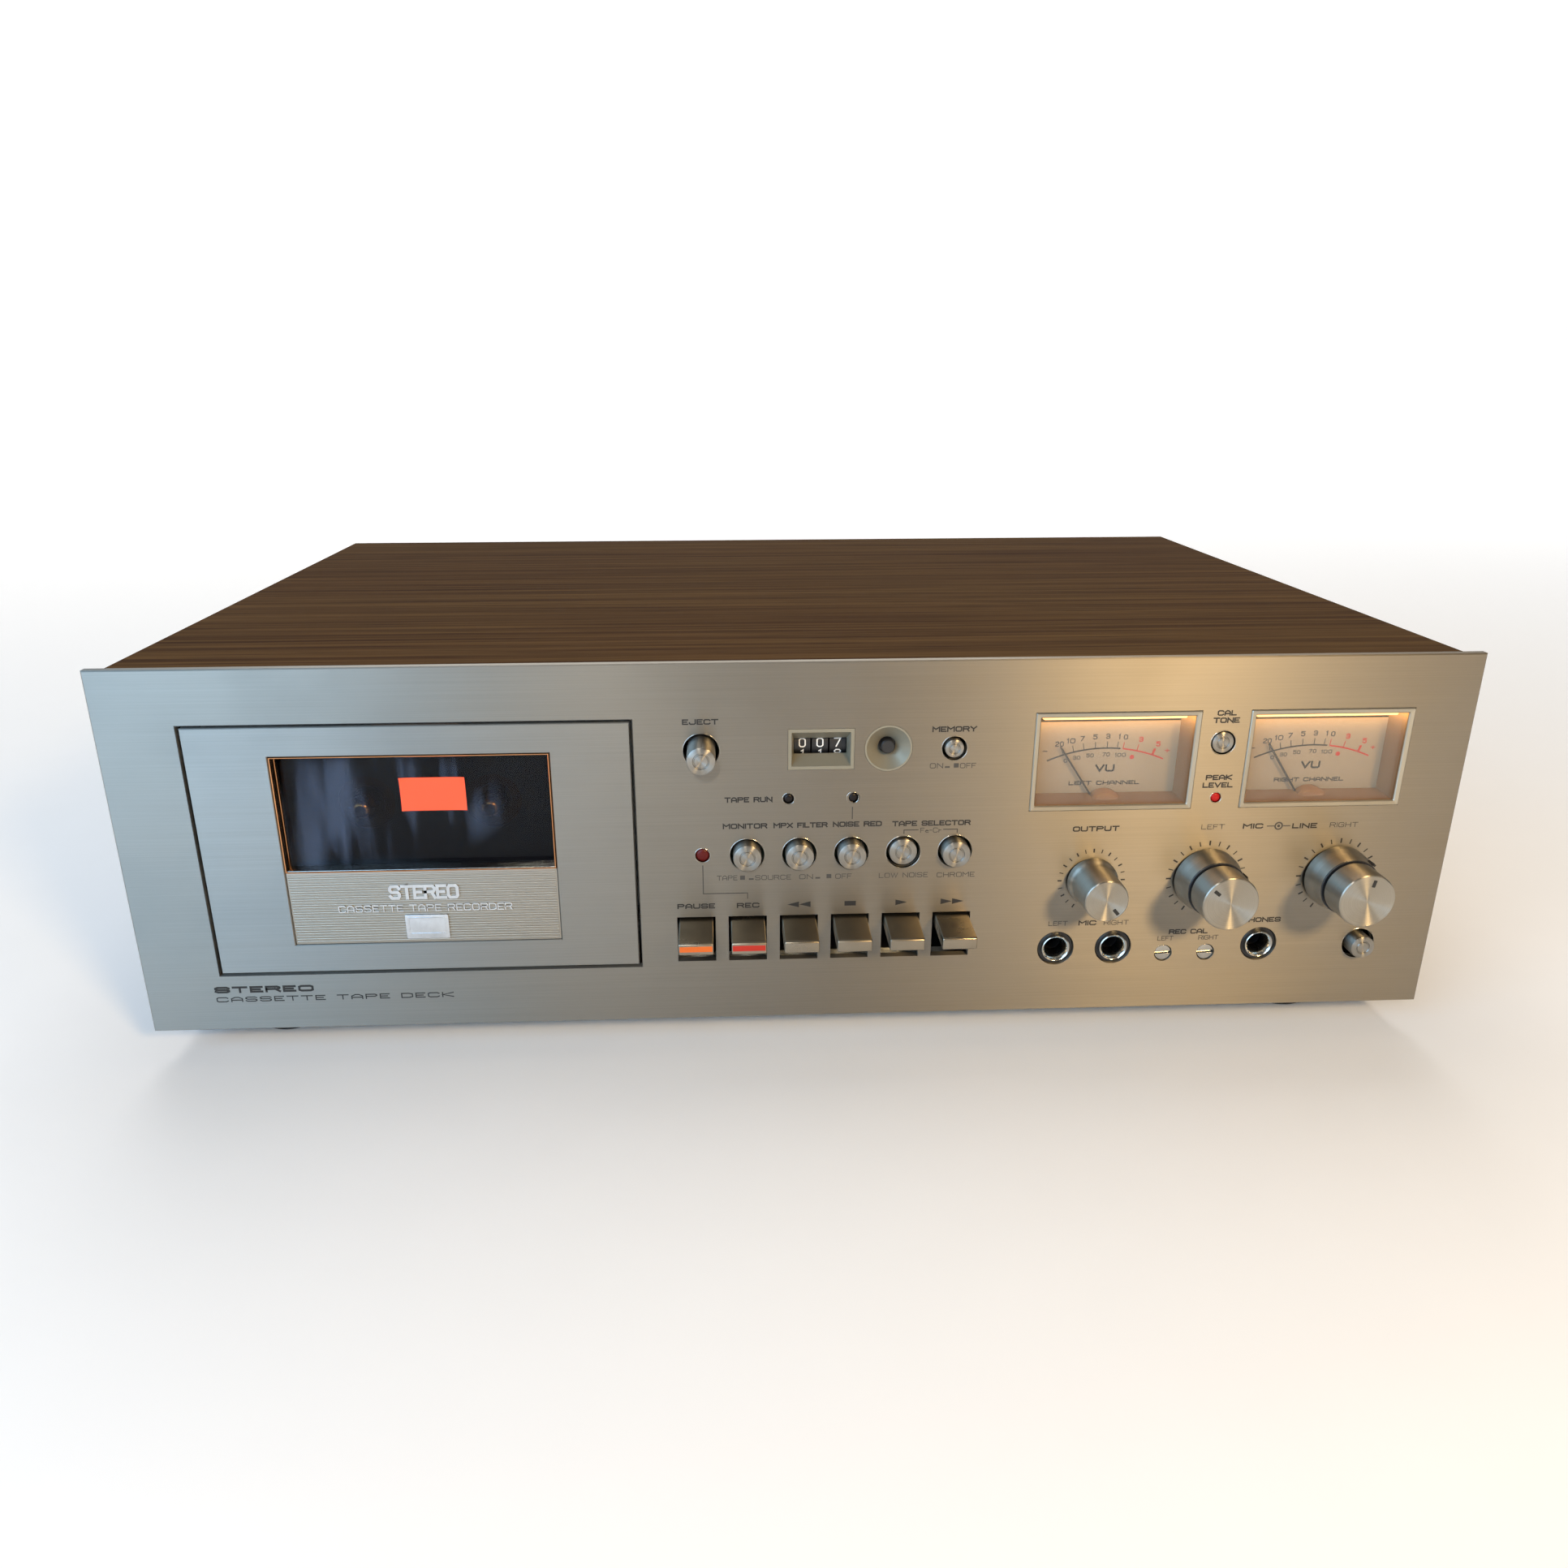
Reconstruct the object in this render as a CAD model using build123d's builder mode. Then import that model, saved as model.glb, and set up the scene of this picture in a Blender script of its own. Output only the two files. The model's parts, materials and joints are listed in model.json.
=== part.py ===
"""A front-loading stereo cassette deck, 440 mm wide, as separate pieces in one frame.

Millimetres, +Z up, X to the right as seen from the front, +Y towards the rear. The origin is the
middle of the footprint, on the surface that the feet stand on. Places on the front are given as
(x, height above the panel's lower edge, depth behind the panel's front face).
"""

import os
from math import cos, radians, sin

from build123d import *

# ---------------------------------------------------------------- driving dimensions
BODY_WIDTH = 440.0
BODY_DEPTH = 281.0  # front face of the panel to the cabinet's rear edge
PANEL_HEIGHT = 126.0
PANEL_THICKNESS = 3.0
PANEL_EASE = 0.4
FOOT_HEIGHT = 12.0  # floor to the panel's lower edge

# cabinet boards
BOARD = 10.0
CABINET_INSET = 3.0  # panel's overhang at each side
CABINET_DROP = 1.0  # panel's overhang at the top
BOARD_EASE = 0.8
CABINET_LIFT = 1.0  # side boards' lower edge above the panel's lower edge
SHEET = 1.2  # steel sheet of the base and the rear panel
BASE_LIFT = 2.0  # underside of the base above the panel's lower edge
REAR_RECESS = 11.0  # cabinet's rear edge back to the rear panel's front face

# clearances
SEAT = 0.1  # between a piece and the opening that it fills
GAP = 0.3  # between pieces that stand next to each other
RUNNING = 0.05  # shaft in a bearing, on the radius
SHAFT_AIR = 0.08  # switch and potentiometer shafts in their bodies

# compact cassette, with the tape edge down
CASSETTE_WIDTH = 100.4
CASSETTE_HEIGHT = 64.0
CASSETTE_THICKNESS = 12.0
CASSETTE_PLAY = 0.8  # at each side
CASSETTE_DEPTH_PLAY = 1.1
HUB_ABOVE_TAPE_EDGE = 35.0
HUB_SPACING = 42.5
CAPSTAN_RISE = 8.5  # capstan above the cassette's tape edge
CAPSTAN_SPACING = 47.0

# door, window and cassette holder
DOOR_SIDE = 19.6  # door beyond the cassette at each side
DOOR_BELOW = 17.7  # door below the cassette
DOOR_ABOVE = 3.9
DOOR_THICKNESS = 2.5
DOOR_GAP = 0.9
DOOR_LEFT_MARGIN = 26.1  # panel's left edge to the door's
DOOR_BOTTOM = 21.5
DOOR_SWING = 20.0
DOOR_EASE = 0.25
WINDOW_INSET = 6.1  # cassette's side edge in to the window's edge
WINDOW_MARGIN_LOW = 9.9
WINDOW_MARGIN_HIGH = 9.6
RIBBED_HEIGHT = 25.9
RIB_PITCH = 0.95
RIB_DEPTH = 0.3
RIB_MARGIN = 0.6
FRAME_LIP = 5.0  # window frame's overlap behind the door plate
FRAME_DEPTH = 5.0
FRAME_FOOT_DEPTH = 1.2
GLASS_RECESS = 5.0
GLASS_THICKNESS = 2.0
HOLDER_SHEET = 1.2
HOLDER_CHEEK = 2.6
HOLDER_HEADROOM = 0.8
HOLDER_FLANGE = 1.5
HOLDER_FLANGE_MARGIN = 1.5
SHELF_WIDTH = 9.0
SHELF_THICKNESS = 2.4
SHELF_DROP = 0.3
SPINDLE_AIR = 5.1  # holder's window around a spindle
HINGE_RISE = 16.5  # hinge axis above the door's lower edge
HINGE_PIN = 1.2
HINGE_LUG = 3.0
HINGE_LUG_HEIGHT = 9.0
HINGE_WALL = 0.85

# transport
REEL_TABLE = 13.0
REEL_TABLE_THICKNESS = 3.2
SPINDLE_RADIUS = 4.4
SPINDLE_LENGTH = 8.6
SPINDLE_TIP = 1.5
SPINDLE_SPLINES = 6
SPLINE_DEPTH = 1.2
SPLINE_WIDTH = 1.1
TRANSPORT_THICKNESS = 2.0
CAPSTAN_RADIUS = 1.25
PINCH_RADIUS = 5.5
PINCH_WIDTH = 7.5
PINCH_PIN = 1.0
PINCH_ARM = (6.5, 8.0)
PINCH_AIR = 0.3  # roller to capstan with the head base raised
HEAD_TRAVEL = 7.3
HEAD_PLATE = 2.0
HEAD_TALL = 9.0
HEAD_BELOW_TAPE_EDGE = 3.4
HEAD_ROUND = 2.2
GUIDE_PIN = 1.5
GUIDE_AIR = 0.15
HEAD_WIDTH = 12.6
ERASE_WIDTH = 6.5
ERASE_OFFSET = 14.0
FLYWHEEL_SPACE = 4.0  # between the two flywheels
FLYWHEEL_THICKNESS = 8.0
FLYWHEEL_AIR = 4.0  # in front of and behind a flywheel
BEARING_BAR = 2.0
BEARING_BAR_HEIGHT = 12.0
BAR_POST = 2.6
PULLEY_RADIUS = 5.0
PULLEY_FLANGE = 1.0
MOTOR_RADIUS = 16.0
MOTOR_LENGTH = 30.0
MOTOR_RISE = 44.3  # motor shaft above the capstans
MOTOR_PLATE = (56.0, 24.0, 2.0)
MOTOR_POST_SPACING = 48.0
PILLAR = 2.4

# push buttons: x from the door's right edge
EJECT_OFFSET = 22.5
EJECT_HEIGHT = 97.2
EJECT_RADIUS = 4.55
EJECT_AIR = 1.25
EJECT_OUT = 10.5
EJECT_TRAVEL = 5.0
SELECTOR_HEIGHT = 61.0
SELECTOR_RADIUS = 4.65
SELECTOR_AIR = 1.05
SELECTOR_OUT = 3.2
MEMORY_OFFSET = 104.0
MEMORY_HEIGHT = 96.9
SMALL_RADIUS = 3.1
SMALL_AIR = 0.95
CAL_BUTTON_AIR = 0.5
POWER_RIGHT_MARGIN = 24.8
POWER_HEIGHT = 23.3
POWER_RADIUS = 4.1
POWER_AIR = 1.5
POWER_OUT = 3.5
BUTTON_BODY = 8.0  # cap's length behind the panel's face
BUTTON_EASE = 0.35
STEM_RADIUS = 1.8
STEM_END = 27.0
SWITCH_FRONT = 20.0
SWITCH_SIZE = (11.0, 10.0)
SWITCH_BOTTOM = 6.0  # solid rear of a switch body

# piano keys
KEY_FIRST = 19.65  # door's right edge to the first key's middle
KEY_BAR = 4.37  # panel left between two key slots
KEY_WIDTH = 11.4
KEY_SIDE_AIR = 0.75
KEY_THICKNESS = 4.3
KEY_OUT = 16.0
KEY_NOSE_HEIGHT = 37.0  # top of the nose
KEY_FACE_HEIGHT = 38.0  # top of the key at the panel's face
KEY_SLOT_BOTTOM = 22.2
KEY_TOP_AIR = 0.8
KEY_PIVOT_DEPTH = 46.0
KEY_PIVOT_HEIGHT = 36.0
KEY_ROD = 1.5
KEY_BOSS = 3.4
KEY_NOSE_ROUND = 0.9
KEY_SWING = 7.6
RACK_SPACE = 4.0
RACK_SHEET = 2.0
RACK_DEPTH = 14.0

# counter
COUNTER_OFFSET = 60.95
COUNTER_HEIGHT = 97.25
COUNTER_RIM_X = 2.15  # digits' window to the moulding's edge
COUNTER_TALL = 13.8
COUNTER_RIM = 1.2
COUNTER_DEPTH = 4.0
COUNTER_SIGHT_HEIGHT = 5.3
COUNTER_FLANGE = (23.0, 19.0)  # beyond the two centres, and its height
WHEEL_RADIUS = 6.2
WHEEL_WIDTH = 5.2
WHEEL_SPACE = 0.55
WHEEL_AIR = 1.0
AXLE_RADIUS = 1.0
AXLE_CHEEK = 1.4
DISH_OFFSET = 82.65
DISH_RADIUS = 7.8
DISH_RIM = 0.7
RESET_RADIUS = 2.3
RESET_AIR = 0.5
RESET_OUT = 2.5  # beyond the bottom of the dish
RESET_TRAVEL = 3.0

# knobs: x from the panel's right edge
LEVEL_HEIGHT = 49.4
OUTPUT_MARGIN = 121.3
LEFT_LEVEL_MARGIN = 82.1
RIGHT_LEVEL_MARGIN = 37.2
KNOB_AIR = 0.8  # knob's rear face in front of the panel
KNOB_EASE = 0.45
SKIRT_OUT = 3.4
OUTPUT_SKIRT = 8.4
OUTPUT_RADIUS = 7.3
OUTPUT_OUT = 17.0
RING_RADIUS = 11.0
RING_NECK = 9.9
RING_OUT = 10.0
LEVEL_RADIUS = 9.3
LEVEL_OUT = 21.0
INNER_SHAFT = 2.0
OUTER_SHAFT = 3.5
POT_RADIUS = 8.0
POT_FRONT = 19.0
POT_DEPTH = 21.0
POT_SEAT = 6.0

# jacks and trimmers
JACK_HEIGHT = 24.0
JACK_BORE = 3.2
JACK_FERRULE = 4.9
JACK_RIM = 1.45  # black surround of the metal ferrule
JACK_BARREL = 5.6
JACK_DEPTH = 24.0
JACK_BORE_DEPTH = 21.0
JACK_FACE = 0.9
JACK_EASE = 0.6
JACK_MARGINS = (131.4, 111.35, 60.2)
TRIMMER_HEIGHT = 21.2
TRIMMER_MARGINS = (93.45, 78.55)
TRIMMER_RADIUS = 2.8
TRIMMER_LENGTH = 9.5
TRIMMER_RECESS = 0.4
TRIMMER_SLOT = (0.8, 1.2)  # width and depth

# level meters
METER_RIGHT_MARGIN = 20.2  # panel's edge to the right meter's
METER_SPACE = 15.95  # between the two meters
METER_HEIGHT = 91.5
METER_WIDTH = 54.2
METER_TALL = 33.8
METER_RIM = 1.8
METER_PROUD = 0.5
METER_WALL = 1.5
METER_DEPTH = 18.0
METER_BODY_LOW = 66.0
METER_BODY_HIGH = 109.5
DIAL_DEPTH = 9.2
DIAL_THICKNESS = 0.8
DIAL_HIGH = 102.3
DIAL_LOW = 73.4
NEEDLE_PIVOT = 70.7
NEEDLE_LENGTH = 26.5
NEEDLE_REST = 34.0  # degrees left of upright
NEEDLE_RADIUS = 0.3
NEEDLE_DEPTH = 7.8
HUB_BOSS = 2.2
LENS_DEPTH = 1.0
LENS_THICKNESS = 1.5

METER_BODY_OVERLAP = 0.9  # housing beyond its opening at each side
NEEDLE_PIN = 0.6
HUB_BOSS_LENGTH = 3.2

# indicator lamps
LAMP_AIR = 0.1
LAMP_RECESS = 0.5
LAMP_END = 9.0
STATUS_RADIUS = 1.7
STATUS_HEIGHT = 80.6
STATUS_OFFSETS = (50.5, 71.95)  # tape running, and noise reduction
RECORD_LAMP = (22.2, 61.15, 2.3)  # offset, height and radius
PEAK_RADIUS = 1.65
PEAK_HEIGHT = 78.4
CAL_HEIGHT = 97.4

# rear panel and feet
SOCKET_MARGIN = 50.0  # panel's left edge to the first socket
SOCKET_FLANGE = 6.0
SOCKET_RADIUS = 4.15
SOCKET_COLLAR = 4.8  # in the rear panel
SOCKET_LENGTH = 8.0
SOCKET_BORE = 1.6
SOCKET_PITCH = 16.0
SOCKET_HEIGHT = 58.0
FOOT_RADIUS = 13.0
FOOT_INSET_X = 36.0
FOOT_FRONT = 30.0
FOOT_REAR = 36.0
DIN_RADIUS = 7.4
DIN_BODY = (9.0, 8.0)  # radius and depth behind the rear panel
DIN_PIN = 0.9
DIN_PIN_CIRCLE = 3.6
DIN_PROUD = 1.5
GLAND_MARGIN = 45.0  # panel's right edge to the cord gland
GLAND_HEIGHT = 28.0
GLAND_BORE = 3.2
GLAND_NECK = 5.5
GLAND_FLANGE = 7.5
GLAND_OUT = 6.0
FOOT_TAPER = 1.5
SCREW_SHANK = 1.45
SCREW_HEAD = 3.0
SCREW_HEAD_HEIGHT = 2.0
SCREW_HOLE_AIR = 0.1
SCREW_REACH = 6.0
FOOT_SCREW_REACH = 2.0
VENT_SLOT = (26.0, 4.0)
VENT_PITCH = (14.0, 34.0)
VENT_COUNT = (12, 2)
VENT_FROM_REAR = 60.0

# boards and transformer
BOARD_LIFT = 9.0  # main board above the base
BOARD_SHEET = 1.6
BOARD_FRONT = 100.0
BOARD_REAR_SPACE = 14.0
BOARD_LEFT_MARGIN = 28.0
BOARD_RIGHT_MARGIN = 104.0
STANDOFF_RADIUS = 3.0
STANDOFF_INSET = 24.0
CAPACITOR = (6.5, 24.0)  # radius and height
CHIP = (19.0, 7.0, 4.0)
CONTROL_BOARD_LEFT = 14.0  # door's right edge to the control board
CONTROL_BOARD_LOW = 42.0
CONTROL_BOARD_HIGH = 106.0
TRIMMER_SHAFT = 1.4
TRIMMER_BODY = 9.0
CORE_SIZE = (64.0, 34.0, 54.0)
COIL_SIZE = (40.0, 54.0, 32.0)
CORE_RIGHT_MARGIN = 62.0
CORE_REAR_SPACE = 52.0

# ---------------------------------------------------------------- places that follow
FRONT = (LEVEL_OUT - BODY_DEPTH) / 2  # y of the panel's front face
LEFT = -BODY_WIDTH / 2
RIGHT = BODY_WIDTH / 2
DOOR_WIDTH = CASSETTE_WIDTH + 2 * DOOR_SIDE
DOOR_HEIGHT = CASSETTE_HEIGHT + DOOR_BELOW + DOOR_ABOVE
DOOR_TOP = DOOR_BOTTOM + DOOR_HEIGHT
BAY_X = LEFT + DOOR_LEFT_MARGIN + DOOR_WIDTH / 2
DOOR_RIGHT = BAY_X + DOOR_WIDTH / 2
INNER_HALF = BODY_WIDTH / 2 - CABINET_INSET - BOARD  # inside face of a side board
CEILING = PANEL_HEIGHT - CABINET_DROP - BOARD  # underside of the top board
BASE_TOP = BASE_LIFT + SHEET
BASE_HALF = INNER_HALF - GAP
BASE_FRONT = PANEL_THICKNESS + GAP
REAR_FRONT = BODY_DEPTH - REAR_RECESS
REAR_BACK = REAR_FRONT + SHEET

WINDOW_WIDTH = CASSETTE_WIDTH - 2 * WINDOW_INSET
WINDOW_BOTTOM = DOOR_BOTTOM + WINDOW_MARGIN_LOW
WINDOW_TOP = DOOR_TOP - WINDOW_MARGIN_HIGH
GLASS_BOTTOM = WINDOW_BOTTOM + RIBBED_HEIGHT
GLASS_MIDDLE = (GLASS_BOTTOM + WINDOW_TOP) / 2
FRAME_HALF = WINDOW_WIDTH / 2 + FRAME_LIP

TAPE_EDGE = DOOR_BOTTOM + DOOR_BELOW
CLOSED_EDGE = TAPE_EDGE + CASSETTE_HEIGHT
HUB_HEIGHT = TAPE_EDGE + HUB_ABOVE_TAPE_EDGE
CAPSTAN_HEIGHT = TAPE_EDGE + CAPSTAN_RISE
POCKET_FRONT = DOOR_THICKNESS + FRAME_DEPTH
POCKET_BACK = POCKET_FRONT + CASSETTE_THICKNESS + CASSETTE_DEPTH_PLAY
POCKET_HALF = CASSETTE_WIDTH / 2 + CASSETTE_PLAY
HOLDER_BACK = POCKET_BACK + HOLDER_SHEET
HOLDER_TOP = CLOSED_EDGE + HOLDER_HEADROOM
HOLDER_SIDE = POCKET_HALF + HOLDER_CHEEK
SHELF_TOP = TAPE_EDGE - SHELF_DROP
HINGE_HEIGHT = DOOR_BOTTOM + HINGE_RISE
HINGE_DEPTH = PANEL_THICKNESS + GAP + HINGE_WALL + HINGE_PIN + RUNNING
HINGE_X = DOOR_WIDTH / 2 + DOOR_GAP + 2 * GAP  # inside face of a hinge lug from the bay's middle

REEL_FRONT = HOLDER_BACK + GAP + SEAT
REEL_BACK = REEL_FRONT + REEL_TABLE_THICKNESS
REEL_SHAFT = CAPSTAN_RADIUS + 0.25
TRANSPORT = REEL_BACK + 2 * GAP  # front face of the transport plate
TRANSPORT_BACK = TRANSPORT + TRANSPORT_THICKNESS
FLYWHEEL_FRONT = TRANSPORT_BACK + FLYWHEEL_AIR
FLYWHEEL_BACK = FLYWHEEL_FRONT + FLYWHEEL_THICKNESS
FLYWHEEL_RADIUS = (CAPSTAN_SPACING - FLYWHEEL_SPACE) / 2
REAR_BEARING = FLYWHEEL_BACK + FLYWHEEL_AIR
MOTOR_HEIGHT = CAPSTAN_HEIGHT + MOTOR_RISE
MOTOR_FRONT = REAR_BEARING + BEARING_BAR + 1

PINCH_REST = CAPSTAN_HEIGHT - CAPSTAN_RADIUS - PINCH_RADIUS - PINCH_AIR - HEAD_TRAVEL
PINCH_FRONT = POCKET_FRONT + 3
PINCH_BACK = PINCH_FRONT + PINCH_WIDTH
HEAD_PLATE_FRONT = TRANSPORT - HEAD_PLATE - 1.4
HEAD_PLATE_BACK = HEAD_PLATE_FRONT + HEAD_PLATE
HEAD_PLATE_TOP = PINCH_REST + PINCH_ARM[1] / 2 + 1
GUIDE_X = CAPSTAN_SPACING / 2 + 6
GUIDE_SLOT = HEAD_TRAVEL + 2 * (GUIDE_PIN + GUIDE_AIR) + GAP
GUIDE_HEIGHT = HEAD_PLATE_TOP - GUIDE_PIN - 2
HEAD_PLATE_LOW = GUIDE_HEIGHT - GUIDE_SLOT - 1

KEYS = ("pause_key", "record_key", "rewind_key", "stop_key", "play_key", "fast_forward_key")
SELECTORS = (
    "monitor_button",
    "filter_button",
    "noise_reduction_button",
    "tape_normal_button",
    "tape_chrome_button",
)
LATCHED_SELECTOR = "tape_normal_button"  # stands pressed in
KEY_PITCH = KEY_WIDTH + 2 * KEY_SIDE_AIR + KEY_BAR
KEY_X = [DOOR_RIGHT + KEY_FIRST + KEY_PITCH * place for place in range(len(KEYS))]
SELECTOR_X = KEY_X[1:]  # the selectors stand above the keys, from the second on
KEY_SLOT_TOP = KEY_FACE_HEIGHT + KEY_TOP_AIR
KEY_SLOT_HEIGHT = KEY_SLOT_TOP - KEY_SLOT_BOTTOM
KEY_SLOT_MIDDLE = (KEY_SLOT_TOP + KEY_SLOT_BOTTOM) / 2

EJECT_X = DOOR_RIGHT + EJECT_OFFSET
MEMORY_X = DOOR_RIGHT + MEMORY_OFFSET
POWER_X = RIGHT - POWER_RIGHT_MARGIN
OUTPUT_X = RIGHT - OUTPUT_MARGIN
LEVEL_X = {"left": RIGHT - LEFT_LEVEL_MARGIN, "right": RIGHT - RIGHT_LEVEL_MARGIN}
JACK_X = [RIGHT - margin for margin in JACK_MARGINS]
JACK_HOLE = JACK_FERRULE + JACK_RIM
TRIMMER_X = {"left": RIGHT - TRIMMER_MARGINS[0], "right": RIGHT - TRIMMER_MARGINS[1]}
RIGHT_METER_X = RIGHT - METER_RIGHT_MARGIN - METER_WIDTH / 2
METER_X = {"left": RIGHT_METER_X - METER_WIDTH - METER_SPACE, "right": RIGHT_METER_X}
CAL_X = (METER_X["left"] + METER_X["right"]) / 2
METER_BODY_WIDTH = METER_WIDTH + 2 * METER_BODY_OVERLAP
METER_FRONT = PANEL_THICKNESS + SEAT
METER_SIGHT = (METER_WIDTH - 2 * METER_RIM, METER_TALL - 2 * METER_RIM)

WHEEL_PITCH = WHEEL_WIDTH + WHEEL_SPACE
WHEEL_DEPTH = COUNTER_DEPTH + WHEEL_AIR + WHEEL_RADIUS
COUNTER_X = DOOR_RIGHT + COUNTER_OFFSET
COUNTER_SIGHT = (3 * WHEEL_PITCH - SEAT, COUNTER_SIGHT_HEIGHT)
COUNTER_WIDTH = COUNTER_SIGHT[0] + 2 * COUNTER_RIM_X
COUNTER_FLANGE_FRONT = PANEL_THICKNESS + SEAT
COUNTER_FLANGE_BACK = COUNTER_DEPTH + 0.6
DISH_X = DOOR_RIGHT + DISH_OFFSET
RESET_HOLE = RESET_RADIUS + RESET_AIR
RESET_END = COUNTER_DEPTH + 12

LAMPS = [
    (DOOR_RIGHT + STATUS_OFFSETS[0], STATUS_HEIGHT, STATUS_RADIUS),
    (DOOR_RIGHT + STATUS_OFFSETS[1], STATUS_HEIGHT, STATUS_RADIUS),
    (DOOR_RIGHT + RECORD_LAMP[0], RECORD_LAMP[1], RECORD_LAMP[2]),
    (CAL_X, PEAK_HEIGHT, PEAK_RADIUS),
]
FEET = [
    (side * (BODY_WIDTH / 2 - FOOT_INSET_X), depth)
    for side in (-1, 1)
    for depth in (FOOT_FRONT, BODY_DEPTH - FOOT_REAR)
]
FOOT_TOP = FOOT_HEIGHT + BASE_LIFT
SOCKET_X = [LEFT + SOCKET_MARGIN + SOCKET_PITCH * place for place in (0, 1, 3, 4)]
DIN_X = LEFT + SOCKET_MARGIN + SOCKET_PITCH * 6.5
GLAND_X = RIGHT - GLAND_MARGIN
REAR_LOW = BASE_TOP + GAP
REAR_HIGH = CEILING - GAP
REAR_SCREWS = [(side * (BASE_HALF - 8), height) for side in (-1, 1) for height in (12, REAR_HIGH - 9)]


def facing(depth):
    """Plane that faces the user at a depth behind the panel's front; local y is the height."""
    return Plane(origin=(0, FRONT + depth, FOOT_HEIGHT), x_dir=(1, 0, 0), z_dir=(0, -1, 0))


def side_on(x):
    """Plane seen from the side at x; local x is the depth and local y is the height."""
    return Plane(origin=(x, FRONT, FOOT_HEIGHT), x_dir=(0, 1, 0), z_dir=(1, 0, 0))


def level(height):
    """Horizontal plane at a height; local x is x and local y is the depth."""
    return Plane(origin=(0, FRONT, FOOT_HEIGHT + height), x_dir=(1, 0, 0), z_dir=(0, 0, 1))


def turning(x, height):
    """Plane for a profile turned about a front-to-back axis; local x is radius, local y depth."""
    return Plane(origin=(x, FRONT, FOOT_HEIGHT + height), x_dir=(1, 0, 0), z_dir=(0, 0, 1))


def spin_axis(x, height):
    """Front-to-back axis at a place on the front."""
    return Axis((x, FRONT, FOOT_HEIGHT + height), (0, 1, 0))


def save(piece, name):
    """Labels a finished piece and writes its STEP file."""
    piece.part.label = name
    export_step(piece.part, f"parts/{name}.step")


os.makedirs("parts", exist_ok=True)

# ================================================================ panel, cabinet and base

with BuildPart() as front_panel:
    with BuildSketch(facing(PANEL_THICKNESS)):
        with Locations((0, PANEL_HEIGHT / 2)):
            Rectangle(BODY_WIDTH, PANEL_HEIGHT)
        with Locations((BAY_X, DOOR_BOTTOM + DOOR_HEIGHT / 2)):
            Rectangle(DOOR_WIDTH + 2 * DOOR_GAP, DOOR_HEIGHT + 2 * DOOR_GAP, mode=Mode.SUBTRACT)
        with Locations((EJECT_X, EJECT_HEIGHT)):
            Circle(EJECT_RADIUS + EJECT_AIR, mode=Mode.SUBTRACT)
        with Locations([(x, SELECTOR_HEIGHT) for x in SELECTOR_X]):
            Circle(SELECTOR_RADIUS + SELECTOR_AIR, mode=Mode.SUBTRACT)
        with Locations((MEMORY_X, MEMORY_HEIGHT), (CAL_X, CAL_HEIGHT)):
            Circle(SMALL_RADIUS + SMALL_AIR, mode=Mode.SUBTRACT)
        with Locations((POWER_X, POWER_HEIGHT)):
            Circle(POWER_RADIUS + POWER_AIR, mode=Mode.SUBTRACT)
        with Locations([(x, KEY_SLOT_MIDDLE) for x in KEY_X]):
            Rectangle(KEY_WIDTH + 2 * KEY_SIDE_AIR, KEY_SLOT_HEIGHT, mode=Mode.SUBTRACT)
        with Locations((COUNTER_X, COUNTER_HEIGHT)):
            Rectangle(COUNTER_WIDTH, COUNTER_TALL, mode=Mode.SUBTRACT)
        with Locations((DISH_X, COUNTER_HEIGHT)):
            Circle(DISH_RADIUS, mode=Mode.SUBTRACT)
        with Locations([(x, METER_HEIGHT) for x in METER_X.values()]):
            Rectangle(METER_WIDTH, METER_TALL, mode=Mode.SUBTRACT)
        with Locations([(x, LEVEL_HEIGHT) for x in (OUTPUT_X, *LEVEL_X.values())]):
            Circle(OUTER_SHAFT + 2 * GAP, mode=Mode.SUBTRACT)
        with Locations([(x, JACK_HEIGHT) for x in JACK_X]):
            Circle(JACK_HOLE, mode=Mode.SUBTRACT)
        with Locations([(x, TRIMMER_HEIGHT) for x in TRIMMER_X.values()]):
            Circle(TRIMMER_RADIUS + GAP, mode=Mode.SUBTRACT)
        for lamp_x, lamp_height, lamp_radius in LAMPS:
            with Locations((lamp_x, lamp_height)):
                Circle(lamp_radius + LAMP_AIR, mode=Mode.SUBTRACT)
    extrude(amount=PANEL_THICKNESS)
    chamfer(front_panel.faces().sort_by(Axis.Y)[0].outer_wire().edges(), PANEL_EASE)
save(front_panel, "front_panel")

with BuildPart() as cabinet_top:
    board_length = BODY_DEPTH - PANEL_THICKNESS
    with BuildSketch(level(CEILING)):
        with Locations((0, PANEL_THICKNESS + board_length / 2)):
            Rectangle(2 * (INNER_HALF + BOARD), board_length)
    extrude(amount=BOARD)
    chamfer(cabinet_top.edges().filter_by(Axis.Y).group_by(Axis.Z)[-1], BOARD_EASE)
save(cabinet_top, "cabinet_top")

with BuildPart() as cabinet_sides:
    with BuildSketch(level(CABINET_LIFT)):
        with Locations((0, PANEL_THICKNESS + board_length / 2)):
            with GridLocations(2 * INNER_HALF + BOARD, 1, 2, 1):
                Rectangle(BOARD, board_length)
    extrude(amount=CEILING - CABINET_LIFT)
save(cabinet_sides, "cabinet_sides")

with BuildPart() as base_plate:
    with BuildSketch(level(BASE_LIFT)):
        with Locations((0, (BASE_FRONT + REAR_BACK) / 2)):
            Rectangle(2 * BASE_HALF, REAR_BACK - BASE_FRONT)
        with Locations(FEET):
            Circle(SCREW_SHANK + SCREW_HOLE_AIR, mode=Mode.SUBTRACT)
        with Locations((0, REAR_FRONT - VENT_FROM_REAR)):
            with GridLocations(*VENT_PITCH, *VENT_COUNT):
                SlotOverall(*VENT_SLOT, rotation=90, mode=Mode.SUBTRACT)
    extrude(amount=SHEET)
save(base_plate, "base_plate")

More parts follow.
